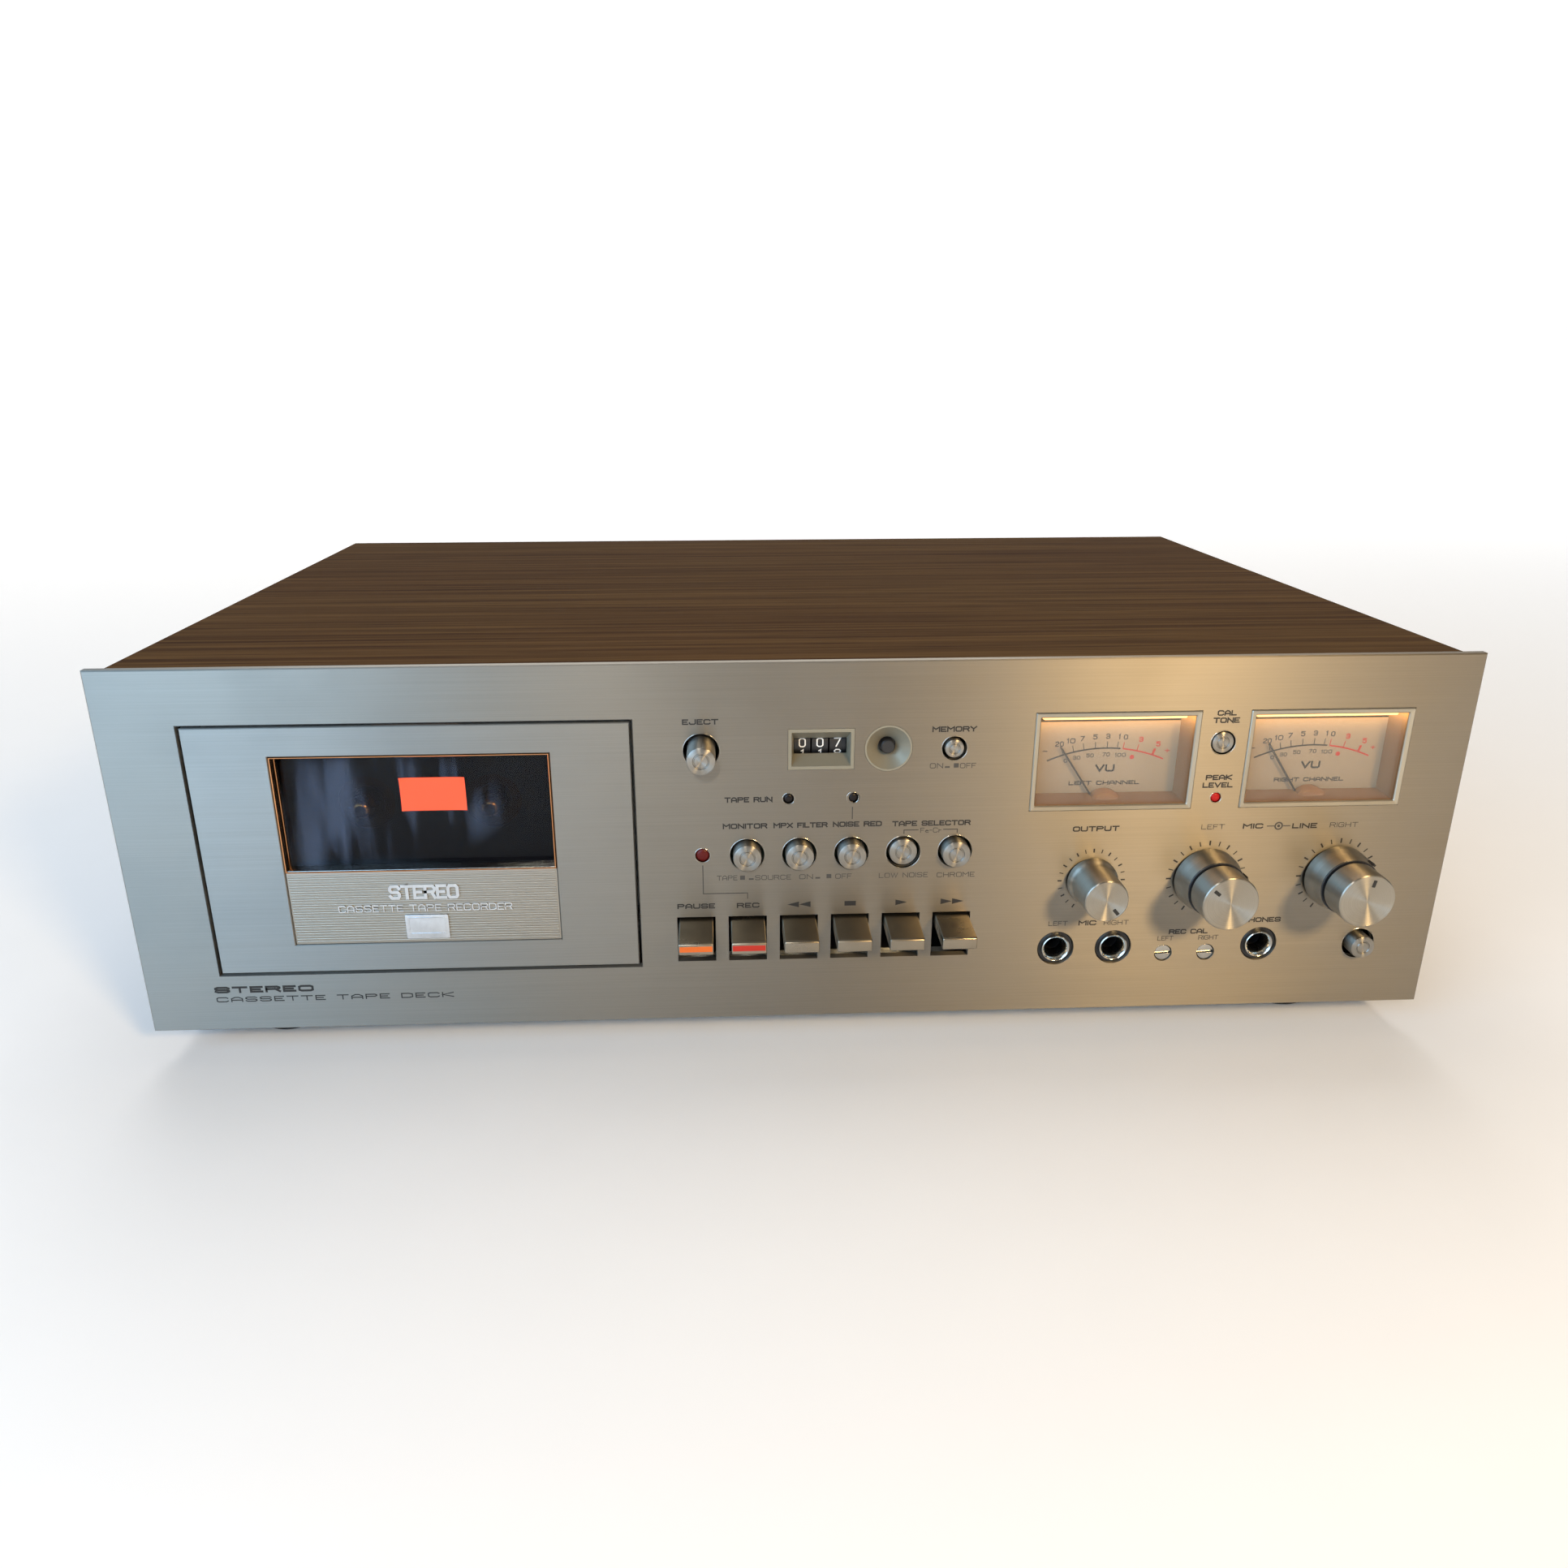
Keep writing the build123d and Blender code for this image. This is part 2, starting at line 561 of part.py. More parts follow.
with BuildPart() as rear_panel:
    with BuildSketch(facing(REAR_BACK)):
        with Locations((0, (REAR_LOW + REAR_HIGH) / 2)):
            Rectangle(2 * BASE_HALF, REAR_HIGH - REAR_LOW)
        with Locations([(x, SOCKET_HEIGHT) for x in SOCKET_X]):
            Circle(SOCKET_COLLAR + SEAT, mode=Mode.SUBTRACT)
        with Locations((DIN_X, SOCKET_HEIGHT)):
            Circle(DIN_RADIUS + SEAT, mode=Mode.SUBTRACT)
        with Locations((GLAND_X, GLAND_HEIGHT)):
            Circle(GLAND_NECK + SEAT, mode=Mode.SUBTRACT)
        with Locations(REAR_SCREWS):
            Circle(SCREW_SHANK + SCREW_HOLE_AIR, mode=Mode.SUBTRACT)
    extrude(amount=SHEET)
save(rear_panel, "rear_panel")

with BuildPart() as feet:
    for foot_x, foot_depth in FEET:
        with BuildSketch(Plane((foot_x, FRONT + foot_depth, 0), z_dir=(0, 0, 1))):
            Circle(FOOT_RADIUS - FOOT_TAPER)
        with BuildSketch(Plane((foot_x, FRONT + foot_depth, FOOT_TOP), z_dir=(0, 0, 1))):
            Circle(FOOT_RADIUS)
        loft()
    with Locations([Location((x, FRONT + depth, 0), (180, 0, 0)) for x, depth in FEET]):
        CounterBoreHole(SCREW_SHANK + SCREW_HOLE_AIR, SCREW_HEAD + 1, FOOT_TOP / 2, FOOT_TOP)
save(feet, "feet")

with BuildPart() as case_screws:
    for foot_x, foot_depth in FEET:
        foot_seat = Plane((foot_x, FRONT + foot_depth, FOOT_TOP / 2), z_dir=(0, 0, 1))
        with BuildSketch(foot_seat):
            Circle(SCREW_HEAD)
        extrude(amount=-SCREW_HEAD_HEIGHT)
        with BuildSketch(foot_seat):
            Circle(SCREW_SHANK)
        extrude(amount=FOOT_TOP / 2 + SHEET + FOOT_SCREW_REACH)
    with BuildSketch(facing(REAR_BACK)):
        with Locations(REAR_SCREWS):
            Circle(SCREW_HEAD)
    extrude(amount=-SCREW_HEAD_HEIGHT)
    with BuildSketch(facing(REAR_BACK)):
        with Locations(REAR_SCREWS):
            Circle(SCREW_SHANK)
    extrude(amount=SCREW_REACH)
save(case_screws, "case_screws")

with BuildPart() as rear_sockets:
    for socket_x in SOCKET_X:  # phono sockets, each with its flange inside
        with BuildSketch(turning(socket_x, SOCKET_HEIGHT)):
            with BuildLine():
                Polyline(
                    (0, REAR_FRONT - SOCKET_FLANGE),
                    (SOCKET_FLANGE, REAR_FRONT - SOCKET_FLANGE),
                    (SOCKET_FLANGE, REAR_FRONT),
                    (SOCKET_COLLAR, REAR_FRONT),
                    (SOCKET_COLLAR, REAR_BACK),
                    (SOCKET_RADIUS, REAR_BACK),
                    (SOCKET_RADIUS, REAR_BACK + SOCKET_LENGTH),
                    (SOCKET_BORE, REAR_BACK + SOCKET_LENGTH),
                    (SOCKET_BORE, REAR_BACK),
                    (0, REAR_BACK),
                    close=True,
                )
            make_face()
        revolve(axis=spin_axis(socket_x, SOCKET_HEIGHT))
    with BuildSketch(facing(REAR_FRONT)):
        with Locations((DIN_X, SOCKET_HEIGHT)):
            Circle(DIN_BODY[0])
    extrude(amount=DIN_BODY[1])
    with BuildSketch(facing(REAR_BACK + DIN_PROUD)):
        with Locations((DIN_X, SOCKET_HEIGHT)):
            Circle(DIN_RADIUS)
            with PolarLocations(DIN_PIN_CIRCLE, 5, start_angle=180, angular_range=180, endpoint=True):
                Circle(DIN_PIN, mode=Mode.SUBTRACT)
    extrude(amount=SHEET + DIN_PROUD)
    with BuildSketch(turning(GLAND_X, GLAND_HEIGHT)):  # mains cord gland
        with BuildLine():
            Polyline(
                (GLAND_BORE, REAR_FRONT - GLAND_OUT),
                (GLAND_FLANGE, REAR_FRONT - GLAND_OUT),
                (GLAND_FLANGE, REAR_FRONT),
                (GLAND_NECK, REAR_FRONT),
                (GLAND_NECK, REAR_BACK),
                (GLAND_FLANGE, REAR_BACK),
                (GLAND_FLANGE - 1.3, REAR_BACK + GLAND_OUT),
                (GLAND_BORE, REAR_BACK + GLAND_OUT),
                close=True,
            )
        make_face()
    revolve(axis=spin_axis(GLAND_X, GLAND_HEIGHT))
save(rear_sockets, "rear_sockets")

# ================================================================ door and cassette holder

with BuildPart() as door_panel:
    with BuildSketch(facing(DOOR_THICKNESS)):
        with Locations((BAY_X, DOOR_BOTTOM + DOOR_HEIGHT / 2)):
            Rectangle(DOOR_WIDTH, DOOR_HEIGHT)
        with Locations((BAY_X, (WINDOW_BOTTOM + WINDOW_TOP) / 2)):
            Rectangle(WINDOW_WIDTH, WINDOW_TOP - WINDOW_BOTTOM, mode=Mode.SUBTRACT)
    extrude(amount=DOOR_THICKNESS)
    chamfer(door_panel.faces().sort_by(Axis.Y)[0].edges(), DOOR_EASE)
save(door_panel, "door_panel")

with BuildPart() as window_frame:
    with BuildSketch(facing(POCKET_FRONT)):  # deep surround of the glass
        with Locations((BAY_X, GLASS_MIDDLE)):
            Rectangle(2 * FRAME_HALF, WINDOW_TOP - GLASS_BOTTOM + FRAME_LIP)
            Rectangle(WINDOW_WIDTH, WINDOW_TOP - GLASS_BOTTOM, mode=Mode.SUBTRACT)
    extrude(amount=FRAME_DEPTH)
    with BuildSketch(facing(DOOR_THICKNESS + FRAME_FOOT_DEPTH)):  # backing of the ribbed plate
        with Locations((BAY_X, (WINDOW_BOTTOM - FRAME_LIP / 2 + GLASS_BOTTOM) / 2)):
            Rectangle(2 * FRAME_HALF, RIBBED_HEIGHT + FRAME_LIP / 2)
    extrude(amount=FRAME_FOOT_DEPTH)
save(window_frame, "window_frame")

with BuildPart() as window_pane:
    with BuildSketch(facing(GLASS_RECESS + GLASS_THICKNESS)):
        with Locations((BAY_X, GLASS_MIDDLE)):
            Rectangle(WINDOW_WIDTH - 2 * SEAT, WINDOW_TOP - GLASS_BOTTOM - 2 * SEAT)
    extrude(amount=GLASS_THICKNESS)
save(window_pane, "window_pane")

with BuildPart() as ribbed_plate:
    plate_width = WINDOW_WIDTH - 2 * SEAT
    plate_tall = RIBBED_HEIGHT - SEAT
    plate_middle = WINDOW_BOTTOM + SEAT + plate_tall / 2
    groove_count = int(plate_tall / RIB_PITCH) - 1
    with BuildSketch(facing(DOOR_THICKNESS)):
        with Locations((BAY_X, plate_middle)):
            Rectangle(plate_width, plate_tall)
    extrude(amount=DOOR_THICKNESS - RIB_DEPTH)
    with BuildSketch(side_on(BAY_X)):
        with Locations((RIB_DEPTH, plate_middle)):
            with GridLocations(1, RIB_PITCH, 1, groove_count):
                Rectangle(2 * RIB_DEPTH, RIB_PITCH / 2)
    extrude(amount=plate_width / 2 - RIB_MARGIN, both=True, mode=Mode.SUBTRACT)
save(ribbed_plate, "ribbed_plate")

with BuildPart() as cassette_holder:
    wall_low = CAPSTAN_HEIGHT + CAPSTAN_RADIUS + 1
    cheek_low = SHELF_TOP - SHELF_THICKNESS
    with BuildSketch(facing(HOLDER_BACK)):  # back wall, open around the spindles
        with Locations((BAY_X, (wall_low + HOLDER_TOP) / 2)):
            Rectangle(2 * HOLDER_SIDE, HOLDER_TOP - wall_low)
        with Locations((BAY_X, HUB_HEIGHT)):
            with GridLocations(HUB_SPACING, 1, 2, 1):
                Circle(SPINDLE_RADIUS + SPINDLE_AIR, mode=Mode.SUBTRACT)
    extrude(amount=HOLDER_SHEET)
    with BuildSketch(facing(HOLDER_BACK)):  # side cheeks
        with Locations((BAY_X, (cheek_low + HOLDER_TOP) / 2)):
            with GridLocations(2 * POCKET_HALF + HOLDER_CHEEK, 1, 2, 1):
                Rectangle(HOLDER_CHEEK, HOLDER_TOP - cheek_low)
    extrude(amount=HOLDER_BACK - DOOR_THICKNESS)
    with BuildSketch(facing(HOLDER_BACK)):  # corner shelves under the cassette
        with Locations((BAY_X, SHELF_TOP - SHELF_THICKNESS / 2)):
            with GridLocations(2 * POCKET_HALF - SHELF_WIDTH + 1, 1, 2, 1):
                Rectangle(SHELF_WIDTH, SHELF_THICKNESS)
    extrude(amount=HOLDER_BACK - POCKET_FRONT - GAP)
    flange_outer = DOOR_WIDTH / 2 - HOLDER_FLANGE_MARGIN
    flange_low = HINGE_HEIGHT - 8
    with BuildSketch(facing(DOOR_THICKNESS + HOLDER_FLANGE)):  # flanges behind the door plate
        with Locations((BAY_X, (flange_low + HOLDER_TOP) / 2)):
            with GridLocations(HOLDER_SIDE + flange_outer, 1, 2, 1):
                Rectangle(flange_outer - HOLDER_SIDE, HOLDER_TOP - flange_low)
    extrude(amount=HOLDER_FLANGE)
    for side in (-1, 1):  # hinge bosses and pins
        hinge_end = Plane(
            origin=(BAY_X + side * HOLDER_SIDE, FRONT + HINGE_DEPTH, FOOT_HEIGHT + HINGE_HEIGHT),
            x_dir=(0, 1, 0),
            z_dir=(side, 0, 0),
        )
        with BuildSketch(hinge_end):
            Circle(HINGE_DEPTH - DOOR_THICKNESS)
        extrude(amount=DOOR_WIDTH / 2 - HOLDER_SIDE)
        with BuildSketch(hinge_end):
            Circle(HINGE_PIN)
        extrude(amount=HINGE_X + HINGE_LUG - GAP - HOLDER_SIDE)
save(cassette_holder, "cassette_holder")

# ================================================================ transport

with BuildPart() as transport_plate:
    plate_low = BASE_TOP + PILLAR
    plate_high = CEILING - 2 * GAP
    plate_half = HINGE_X + HINGE_LUG
    with BuildSketch(facing(TRANSPORT_BACK)):
        with Locations((BAY_X, (plate_low + plate_high) / 2)):
            Rectangle(2 * plate_half, plate_high - plate_low)
        with Locations((BAY_X, HUB_HEIGHT)):
            with GridLocations(HUB_SPACING, 1, 2, 1):
                Circle(REEL_SHAFT + RUNNING, mode=Mode.SUBTRACT)
        with Locations((BAY_X, CAPSTAN_HEIGHT)):
            with GridLocations(CAPSTAN_SPACING, 1, 2, 1):
                Circle(CAPSTAN_RADIUS + RUNNING, mode=Mode.SUBTRACT)
    extrude(amount=TRANSPORT_THICKNESS)
    with BuildSketch(facing(TRANSPORT)):  # pillars to the front panel
        for pillar_height in (plate_low + PILLAR, plate_high - PILLAR):
            with Locations((BAY_X, pillar_height)):
                with GridLocations(2 * (plate_half - PILLAR), 1, 2, 1):
                    Circle(PILLAR)
    extrude(amount=TRANSPORT - PANEL_THICKNESS)
    lug_length = TRANSPORT - PANEL_THICKNESS - GAP
    for side in (-1, 1):  # door hinge lugs
        with BuildSketch(side_on(BAY_X + side * (HINGE_X + HINGE_LUG / 2))):
            with Locations((TRANSPORT - lug_length / 2, HINGE_HEIGHT)):
                Rectangle(lug_length, HINGE_LUG_HEIGHT)
            with Locations((HINGE_DEPTH, HINGE_HEIGHT)):
                Circle(HINGE_PIN + RUNNING, mode=Mode.SUBTRACT)
        extrude(amount=HINGE_LUG / 2, both=True)
    with BuildSketch(facing(TRANSPORT)):  # guide pins of the head base
        with Locations((BAY_X, GUIDE_HEIGHT)):
            with GridLocations(2 * GUIDE_X, 1, 2, 1):
                Circle(GUIDE_PIN)
    extrude(amount=TRANSPORT - HEAD_PLATE_FRONT + 0.5)
    post_x = CAPSTAN_SPACING / 2 + FLYWHEEL_RADIUS + BAR_POST + 2 * GAP
    with BuildSketch(facing(REAR_BEARING)):  # posts of the rear bearing bar
        with Locations((BAY_X, CAPSTAN_HEIGHT)):
            with GridLocations(2 * post_x, 1, 2, 1):
                Circle(BAR_POST)
    extrude(amount=REAR_BEARING - TRANSPORT_BACK)
    with BuildSketch(facing(REAR_BEARING + BEARING_BAR)):
        with Locations((BAY_X, CAPSTAN_HEIGHT)):
            Rectangle(2 * (post_x + BAR_POST + 1), BEARING_BAR_HEIGHT)
            with GridLocations(CAPSTAN_SPACING, 1, 2, 1):
                Circle(CAPSTAN_RADIUS + RUNNING, mode=Mode.SUBTRACT)
    extrude(amount=BEARING_BAR)
save(transport_plate, "transport_plate")

for reel_name, side in (("supply_reel", -1), ("takeup_reel", 1)):
    reel_x = BAY_X + side * HUB_SPACING / 2
    collar_front = REEL_FRONT - HOLDER_SHEET - GAP
    core_radius = SPINDLE_RADIUS - SPLINE_DEPTH
    with BuildPart() as reel:
        with BuildSketch(turning(reel_x, HUB_HEIGHT)):
            with BuildLine():
                Polyline(
                    (0, REEL_FRONT - SPINDLE_LENGTH - SPINDLE_TIP),
                    (core_radius / 2, REEL_FRONT - SPINDLE_LENGTH - SPINDLE_TIP),
                    (core_radius, REEL_FRONT - SPINDLE_LENGTH),
                    (core_radius, collar_front),
                    (SPINDLE_RADIUS + 1.4, collar_front),
                    (SPINDLE_RADIUS + 1.4, REEL_FRONT),
                    (REEL_TABLE, REEL_FRONT),
                    (REEL_TABLE, REEL_BACK),
                    (REEL_SHAFT, REEL_BACK),
                    (REEL_SHAFT, TRANSPORT_BACK + 1.5),
                    (0, TRANSPORT_BACK + 1.5),
                    close=True,
                )
            make_face()
        revolve(axis=spin_axis(reel_x, HUB_HEIGHT))
        with BuildSketch(facing(collar_front)):  # drive splines of the spindle
            with Locations((reel_x, HUB_HEIGHT)):
                with PolarLocations(core_radius, SPINDLE_SPLINES):
                    Rectangle(2 * SPLINE_DEPTH, SPLINE_WIDTH)
        extrude(amount=collar_front - REEL_FRONT + SPINDLE_LENGTH)
    save(reel, reel_name)

for flywheel_name, side in (("supply_flywheel", -1), ("takeup_flywheel", 1)):
    capstan_x = BAY_X + side * CAPSTAN_SPACING / 2
    capstan_tip = POCKET_FRONT + 1.6
    with BuildPart() as flywheel:
        with BuildSketch(turning(capstan_x, CAPSTAN_HEIGHT)):
            with BuildLine():
                Polyline(
                    (0, capstan_tip),
                    (CAPSTAN_RADIUS - 0.3, capstan_tip),
                    (CAPSTAN_RADIUS, capstan_tip + 0.4),
                    (CAPSTAN_RADIUS, FLYWHEEL_FRONT),
                    (FLYWHEEL_RADIUS, FLYWHEEL_FRONT),
                    (FLYWHEEL_RADIUS, FLYWHEEL_BACK),
                    (CAPSTAN_RADIUS, FLYWHEEL_BACK),
                    (CAPSTAN_RADIUS, REAR_BEARING + BEARING_BAR - 0.4),
                    (0, REAR_BEARING + BEARING_BAR - 0.4),
                    close=True,
                )
            make_face()
        revolve(axis=spin_axis(capstan_x, CAPSTAN_HEIGHT))
    save(flywheel, flywheel_name)

with BuildPart() as drive_motor:
    with BuildSketch(facing(MOTOR_FRONT + MOTOR_LENGTH)):
        with Locations((BAY_X, MOTOR_HEIGHT)):
            Circle(MOTOR_RADIUS)
    extrude(amount=MOTOR_LENGTH)
    with BuildSketch(facing(MOTOR_FRONT)):
        with Locations((BAY_X, MOTOR_HEIGHT)):
            Rectangle(MOTOR_PLATE[0], MOTOR_PLATE[1])
    extrude(amount=MOTOR_PLATE[2])
    with BuildSketch(facing(MOTOR_FRONT - MOTOR_PLATE[2])):
        with Locations((BAY_X, MOTOR_HEIGHT)):
            with GridLocations(MOTOR_POST_SPACING, 1, 2, 1):
                Circle(BAR_POST)
    extrude(amount=MOTOR_FRONT - MOTOR_PLATE[2] - TRANSPORT_BACK)
    with BuildSketch(facing(MOTOR_FRONT + 8)):
        with Locations((BAY_X, MOTOR_HEIGHT)):
            Circle(REEL_SHAFT + RUNNING)
    extrude(amount=8 + MOTOR_PLATE[2], mode=Mode.SUBTRACT)
save(drive_motor, "drive_motor")

with BuildPart() as motor_pulley:
    pulley_rim = PULLEY_RADIUS + PULLEY_FLANGE
    with BuildSketch(turning(BAY_X, MOTOR_HEIGHT)):
        with BuildLine():
            Polyline(
                (0, FLYWHEEL_FRONT),
                (pulley_rim, FLYWHEEL_FRONT),
                (pulley_rim, FLYWHEEL_FRONT + PULLEY_FLANGE),
                (PULLEY_RADIUS, FLYWHEEL_FRONT + PULLEY_FLANGE),
                (PULLEY_RADIUS, FLYWHEEL_BACK - PULLEY_FLANGE),
                (pulley_rim, FLYWHEEL_BACK - PULLEY_FLANGE),
                (pulley_rim, FLYWHEEL_BACK),
                (REEL_SHAFT, FLYWHEEL_BACK),
                (REEL_SHAFT, MOTOR_FRONT + 6),
                (0, MOTOR_FRONT + 6),
                close=True,
            )
        make_face()
    revolve(axis=spin_axis(BAY_X, MOTOR_HEIGHT))
save(motor_pulley, "motor_pulley")

with BuildPart() as head_base:
    head_top = TAPE_EDGE - HEAD_BELOW_TAPE_EDGE
    with BuildSketch(facing(HEAD_PLATE_BACK)):
        with Locations((BAY_X, (HEAD_PLATE_LOW + HEAD_PLATE_TOP) / 2)):
            Rectangle(2 * (GUIDE_X + 4), HEAD_PLATE_TOP - HEAD_PLATE_LOW)
        with Locations((BAY_X, GUIDE_HEIGHT + GUIDE_PIN + GUIDE_AIR - GUIDE_SLOT / 2)):
            with GridLocations(2 * GUIDE_X, 1, 2, 1):
                SlotOverall(GUIDE_SLOT, 2 * (GUIDE_PIN + GUIDE_AIR), rotation=90, mode=Mode.SUBTRACT)
    extrude(amount=HEAD_PLATE)
    with BuildSketch(facing(HEAD_PLATE_FRONT)):  # record and play head, and erase head
        with Locations((BAY_X, head_top - HEAD_TALL / 2)):
            Rectangle(HEAD_WIDTH, HEAD_TALL)
        with Locations((BAY_X - ERASE_OFFSET, head_top - HEAD_TALL / 2)):
            Rectangle(ERASE_WIDTH, HEAD_TALL)
    extrude(amount=HEAD_PLATE_FRONT - PINCH_FRONT)
    long_edges = head_base.edges().filter_by(Axis.Y)
    crown_edges = long_edges.filter_by(lambda edge: edge.center().Y < FRONT + HEAD_PLATE_FRONT)
    fillet(crown_edges.group_by(Axis.Z)[-1], HEAD_ROUND)
    with BuildSketch(facing(HEAD_PLATE_FRONT)):  # arms of the pinch rollers
        with Locations((BAY_X, PINCH_REST)):
            with GridLocations(CAPSTAN_SPACING, 1, 2, 1):
                Rectangle(*PINCH_ARM)
    extrude(amount=HEAD_PLATE_FRONT - PINCH_BACK - GAP)
    with BuildSketch(facing(HEAD_PLATE_FRONT)):
        with Locations((BAY_X, PINCH_REST)):
            with GridLocations(CAPSTAN_SPACING, 1, 2, 1):
                Circle(PINCH_PIN)
    extrude(amount=HEAD_PLATE_FRONT - PINCH_FRONT + 0.6)
save(head_base, "head_base")

for roller_name, side in (("supply_pinch_roller", -1), ("takeup_pinch_roller", 1)):
    with BuildPart() as roller:
        with BuildSketch(facing(PINCH_BACK)):
            with Locations((BAY_X + side * CAPSTAN_SPACING / 2, PINCH_REST)):
                Circle(PINCH_RADIUS)
                Circle(PINCH_PIN + RUNNING, mode=Mode.SUBTRACT)
        extrude(amount=PINCH_WIDTH)
    save(roller, roller_name)

# ================================================================ buttons and keys

PUSH_BUTTONS = {  # x, height, radius and how far the cap stands out
    "eject_button": (EJECT_X, EJECT_HEIGHT, EJECT_RADIUS, EJECT_OUT),
    "memory_button": (MEMORY_X, MEMORY_HEIGHT, SMALL_RADIUS, GAP),
    "cal_tone_button": (CAL_X, CAL_HEIGHT, SMALL_RADIUS + SMALL_AIR - CAL_BUTTON_AIR, 0),
    "power_button": (POWER_X, POWER_HEIGHT, POWER_RADIUS, POWER_OUT),
}
for selector_name, selector_x in zip(SELECTORS, SELECTOR_X):
    stand = 0 if selector_name == LATCHED_SELECTOR else SELECTOR_OUT
    PUSH_BUTTONS[selector_name] = (selector_x, SELECTOR_HEIGHT, SELECTOR_RADIUS, stand)

for button_name, (button_x, button_height, button_radius, stand) in PUSH_BUTTONS.items():
    with BuildPart() as button:
        with BuildSketch(facing(BUTTON_BODY)):
            with Locations((button_x, button_height)):
                Circle(button_radius)
        extrude(amount=BUTTON_BODY + stand)
        chamfer(button.faces().sort_by(Axis.Y)[0].edges(), BUTTON_EASE)
        with BuildSketch(facing(STEM_END)):
            with Locations((button_x, button_height)):
                Circle(STEM_RADIUS)
        extrude(amount=STEM_END - BUTTON_BODY)
    save(button, button_name)

for key_x, key_name in zip(KEY_X, KEYS):
    with BuildPart() as key:
        with BuildSketch(side_on(key_x)):
            with BuildLine():
                Polyline(
                    (-KEY_OUT, KEY_NOSE_HEIGHT),
                    (0, KEY_FACE_HEIGHT),
                    (KEY_PIVOT_DEPTH, KEY_PIVOT_HEIGHT + KEY_BOSS),
                    (KEY_PIVOT_DEPTH, KEY_PIVOT_HEIGHT - KEY_BOSS),
                    (0, KEY_FACE_HEIGHT - KEY_THICKNESS),
                    (-KEY_OUT, KEY_NOSE_HEIGHT - KEY_THICKNESS),
                    close=True,
                )
            make_face()
            with Locations((KEY_PIVOT_DEPTH, KEY_PIVOT_HEIGHT)):
                Circle(KEY_BOSS)
                Circle(KEY_ROD + RUNNING, mode=Mode.SUBTRACT)
        extrude(amount=KEY_WIDTH / 2, both=True)
        fillet(key.edges().filter_by(Axis.X).group_by(Axis.Y)[0], KEY_NOSE_ROUND)
    save(key, key_name)

with BuildPart() as key_bracket:
    rack_middle = (KEY_X[0] + KEY_X[-1]) / 2
    rack_half = (KEY_X[-1] - KEY_X[0] + KEY_WIDTH) / 2 + RACK_SPACE
    cheek_high = KEY_PIVOT_HEIGHT + KEY_BOSS + RACK_SHEET
    for side in (-1, 1):
        with BuildSketch(side_on(rack_middle + side * rack_half)):
            with Locations((KEY_PIVOT_DEPTH, (BASE_TOP + cheek_high) / 2)):
                Rectangle(RACK_DEPTH, cheek_high - BASE_TOP)
        extrude(amount=RACK_SHEET / 2, both=True)
    with BuildSketch(level(BASE_TOP)):
        with Locations((rack_middle, KEY_PIVOT_DEPTH)):
            Rectangle(2 * rack_half, RACK_DEPTH)
    extrude(amount=RACK_SHEET)
    with BuildSketch(side_on(rack_middle)):
        with Locations((KEY_PIVOT_DEPTH, KEY_PIVOT_HEIGHT)):
            Circle(KEY_ROD)
    extrude(amount=rack_half, both=True)
save(key_bracket, "key_bracket")

# ================================================================ tape counter

with BuildPart() as counter_housing:
    with BuildSketch(facing(COUNTER_FLANGE_BACK)):  # flange behind the panel
        with Locations(((COUNTER_X + DISH_X) / 2, COUNTER_HEIGHT)):
            Rectangle(DISH_X - COUNTER_X + COUNTER_FLANGE[0], COUNTER_FLANGE[1])
    extrude(amount=COUNTER_FLANGE_BACK - COUNTER_FLANGE_FRONT)
    with BuildSketch(facing(COUNTER_FLANGE_FRONT)):
        with Locations((COUNTER_X, COUNTER_HEIGHT)):
            Rectangle(COUNTER_WIDTH - 2 * SEAT, COUNTER_TALL - 2 * SEAT)
        with Locations((DISH_X, COUNTER_HEIGHT)):
            Circle(DISH_RADIUS - SEAT)
    extrude(amount=COUNTER_FLANGE_FRONT)
    with BuildSketch(facing(0)):  # funnel down to the digits
        with Locations((COUNTER_X, COUNTER_HEIGHT)):
            Rectangle(COUNTER_WIDTH - 2 * COUNTER_RIM, COUNTER_TALL - 2 * COUNTER_RIM)
    with BuildSketch(facing(COUNTER_DEPTH)):
        with Locations((COUNTER_X, COUNTER_HEIGHT)):
            Rectangle(*COUNTER_SIGHT)
    loft(mode=Mode.SUBTRACT)
    with BuildSketch(facing(COUNTER_FLANGE_BACK)):
        with Locations((COUNTER_X, COUNTER_HEIGHT)):
            Rectangle(*COUNTER_SIGHT)
        with Locations((DISH_X, COUNTER_HEIGHT)):
            Circle(RESET_HOLE)
    extrude(amount=COUNTER_FLANGE_BACK, mode=Mode.SUBTRACT)
    with BuildSketch(facing(0)):  # dish down to the reset button
        with Locations((DISH_X, COUNTER_HEIGHT)):
            Circle(DISH_RADIUS - DISH_RIM)
    with BuildSketch(facing(COUNTER_DEPTH)):
        with Locations((DISH_X, COUNTER_HEIGHT)):
            Circle(RESET_HOLE)
    loft(mode=Mode.SUBTRACT)
    cheek_x = 1.5 * WHEEL_PITCH + AXLE_CHEEK / 2 + GAP
    cheek_back = WHEEL_DEPTH + AXLE_RADIUS + AXLE_CHEEK
    for side in (-1, 1):  # cheeks that hold the axle
        with BuildSketch(side_on(COUNTER_X + side * cheek_x)):
            with Locations(((COUNTER_FLANGE_BACK + cheek_back) / 2, COUNTER_HEIGHT)):
                Rectangle(cheek_back - COUNTER_FLANGE_BACK, WHEEL_RADIUS)
        extrude(amount=AXLE_CHEEK / 2, both=True)
    with BuildSketch(side_on(COUNTER_X)):
        with Locations((WHEEL_DEPTH, COUNTER_HEIGHT)):
            Circle(AXLE_RADIUS)
    extrude(amount=cheek_x, both=True)
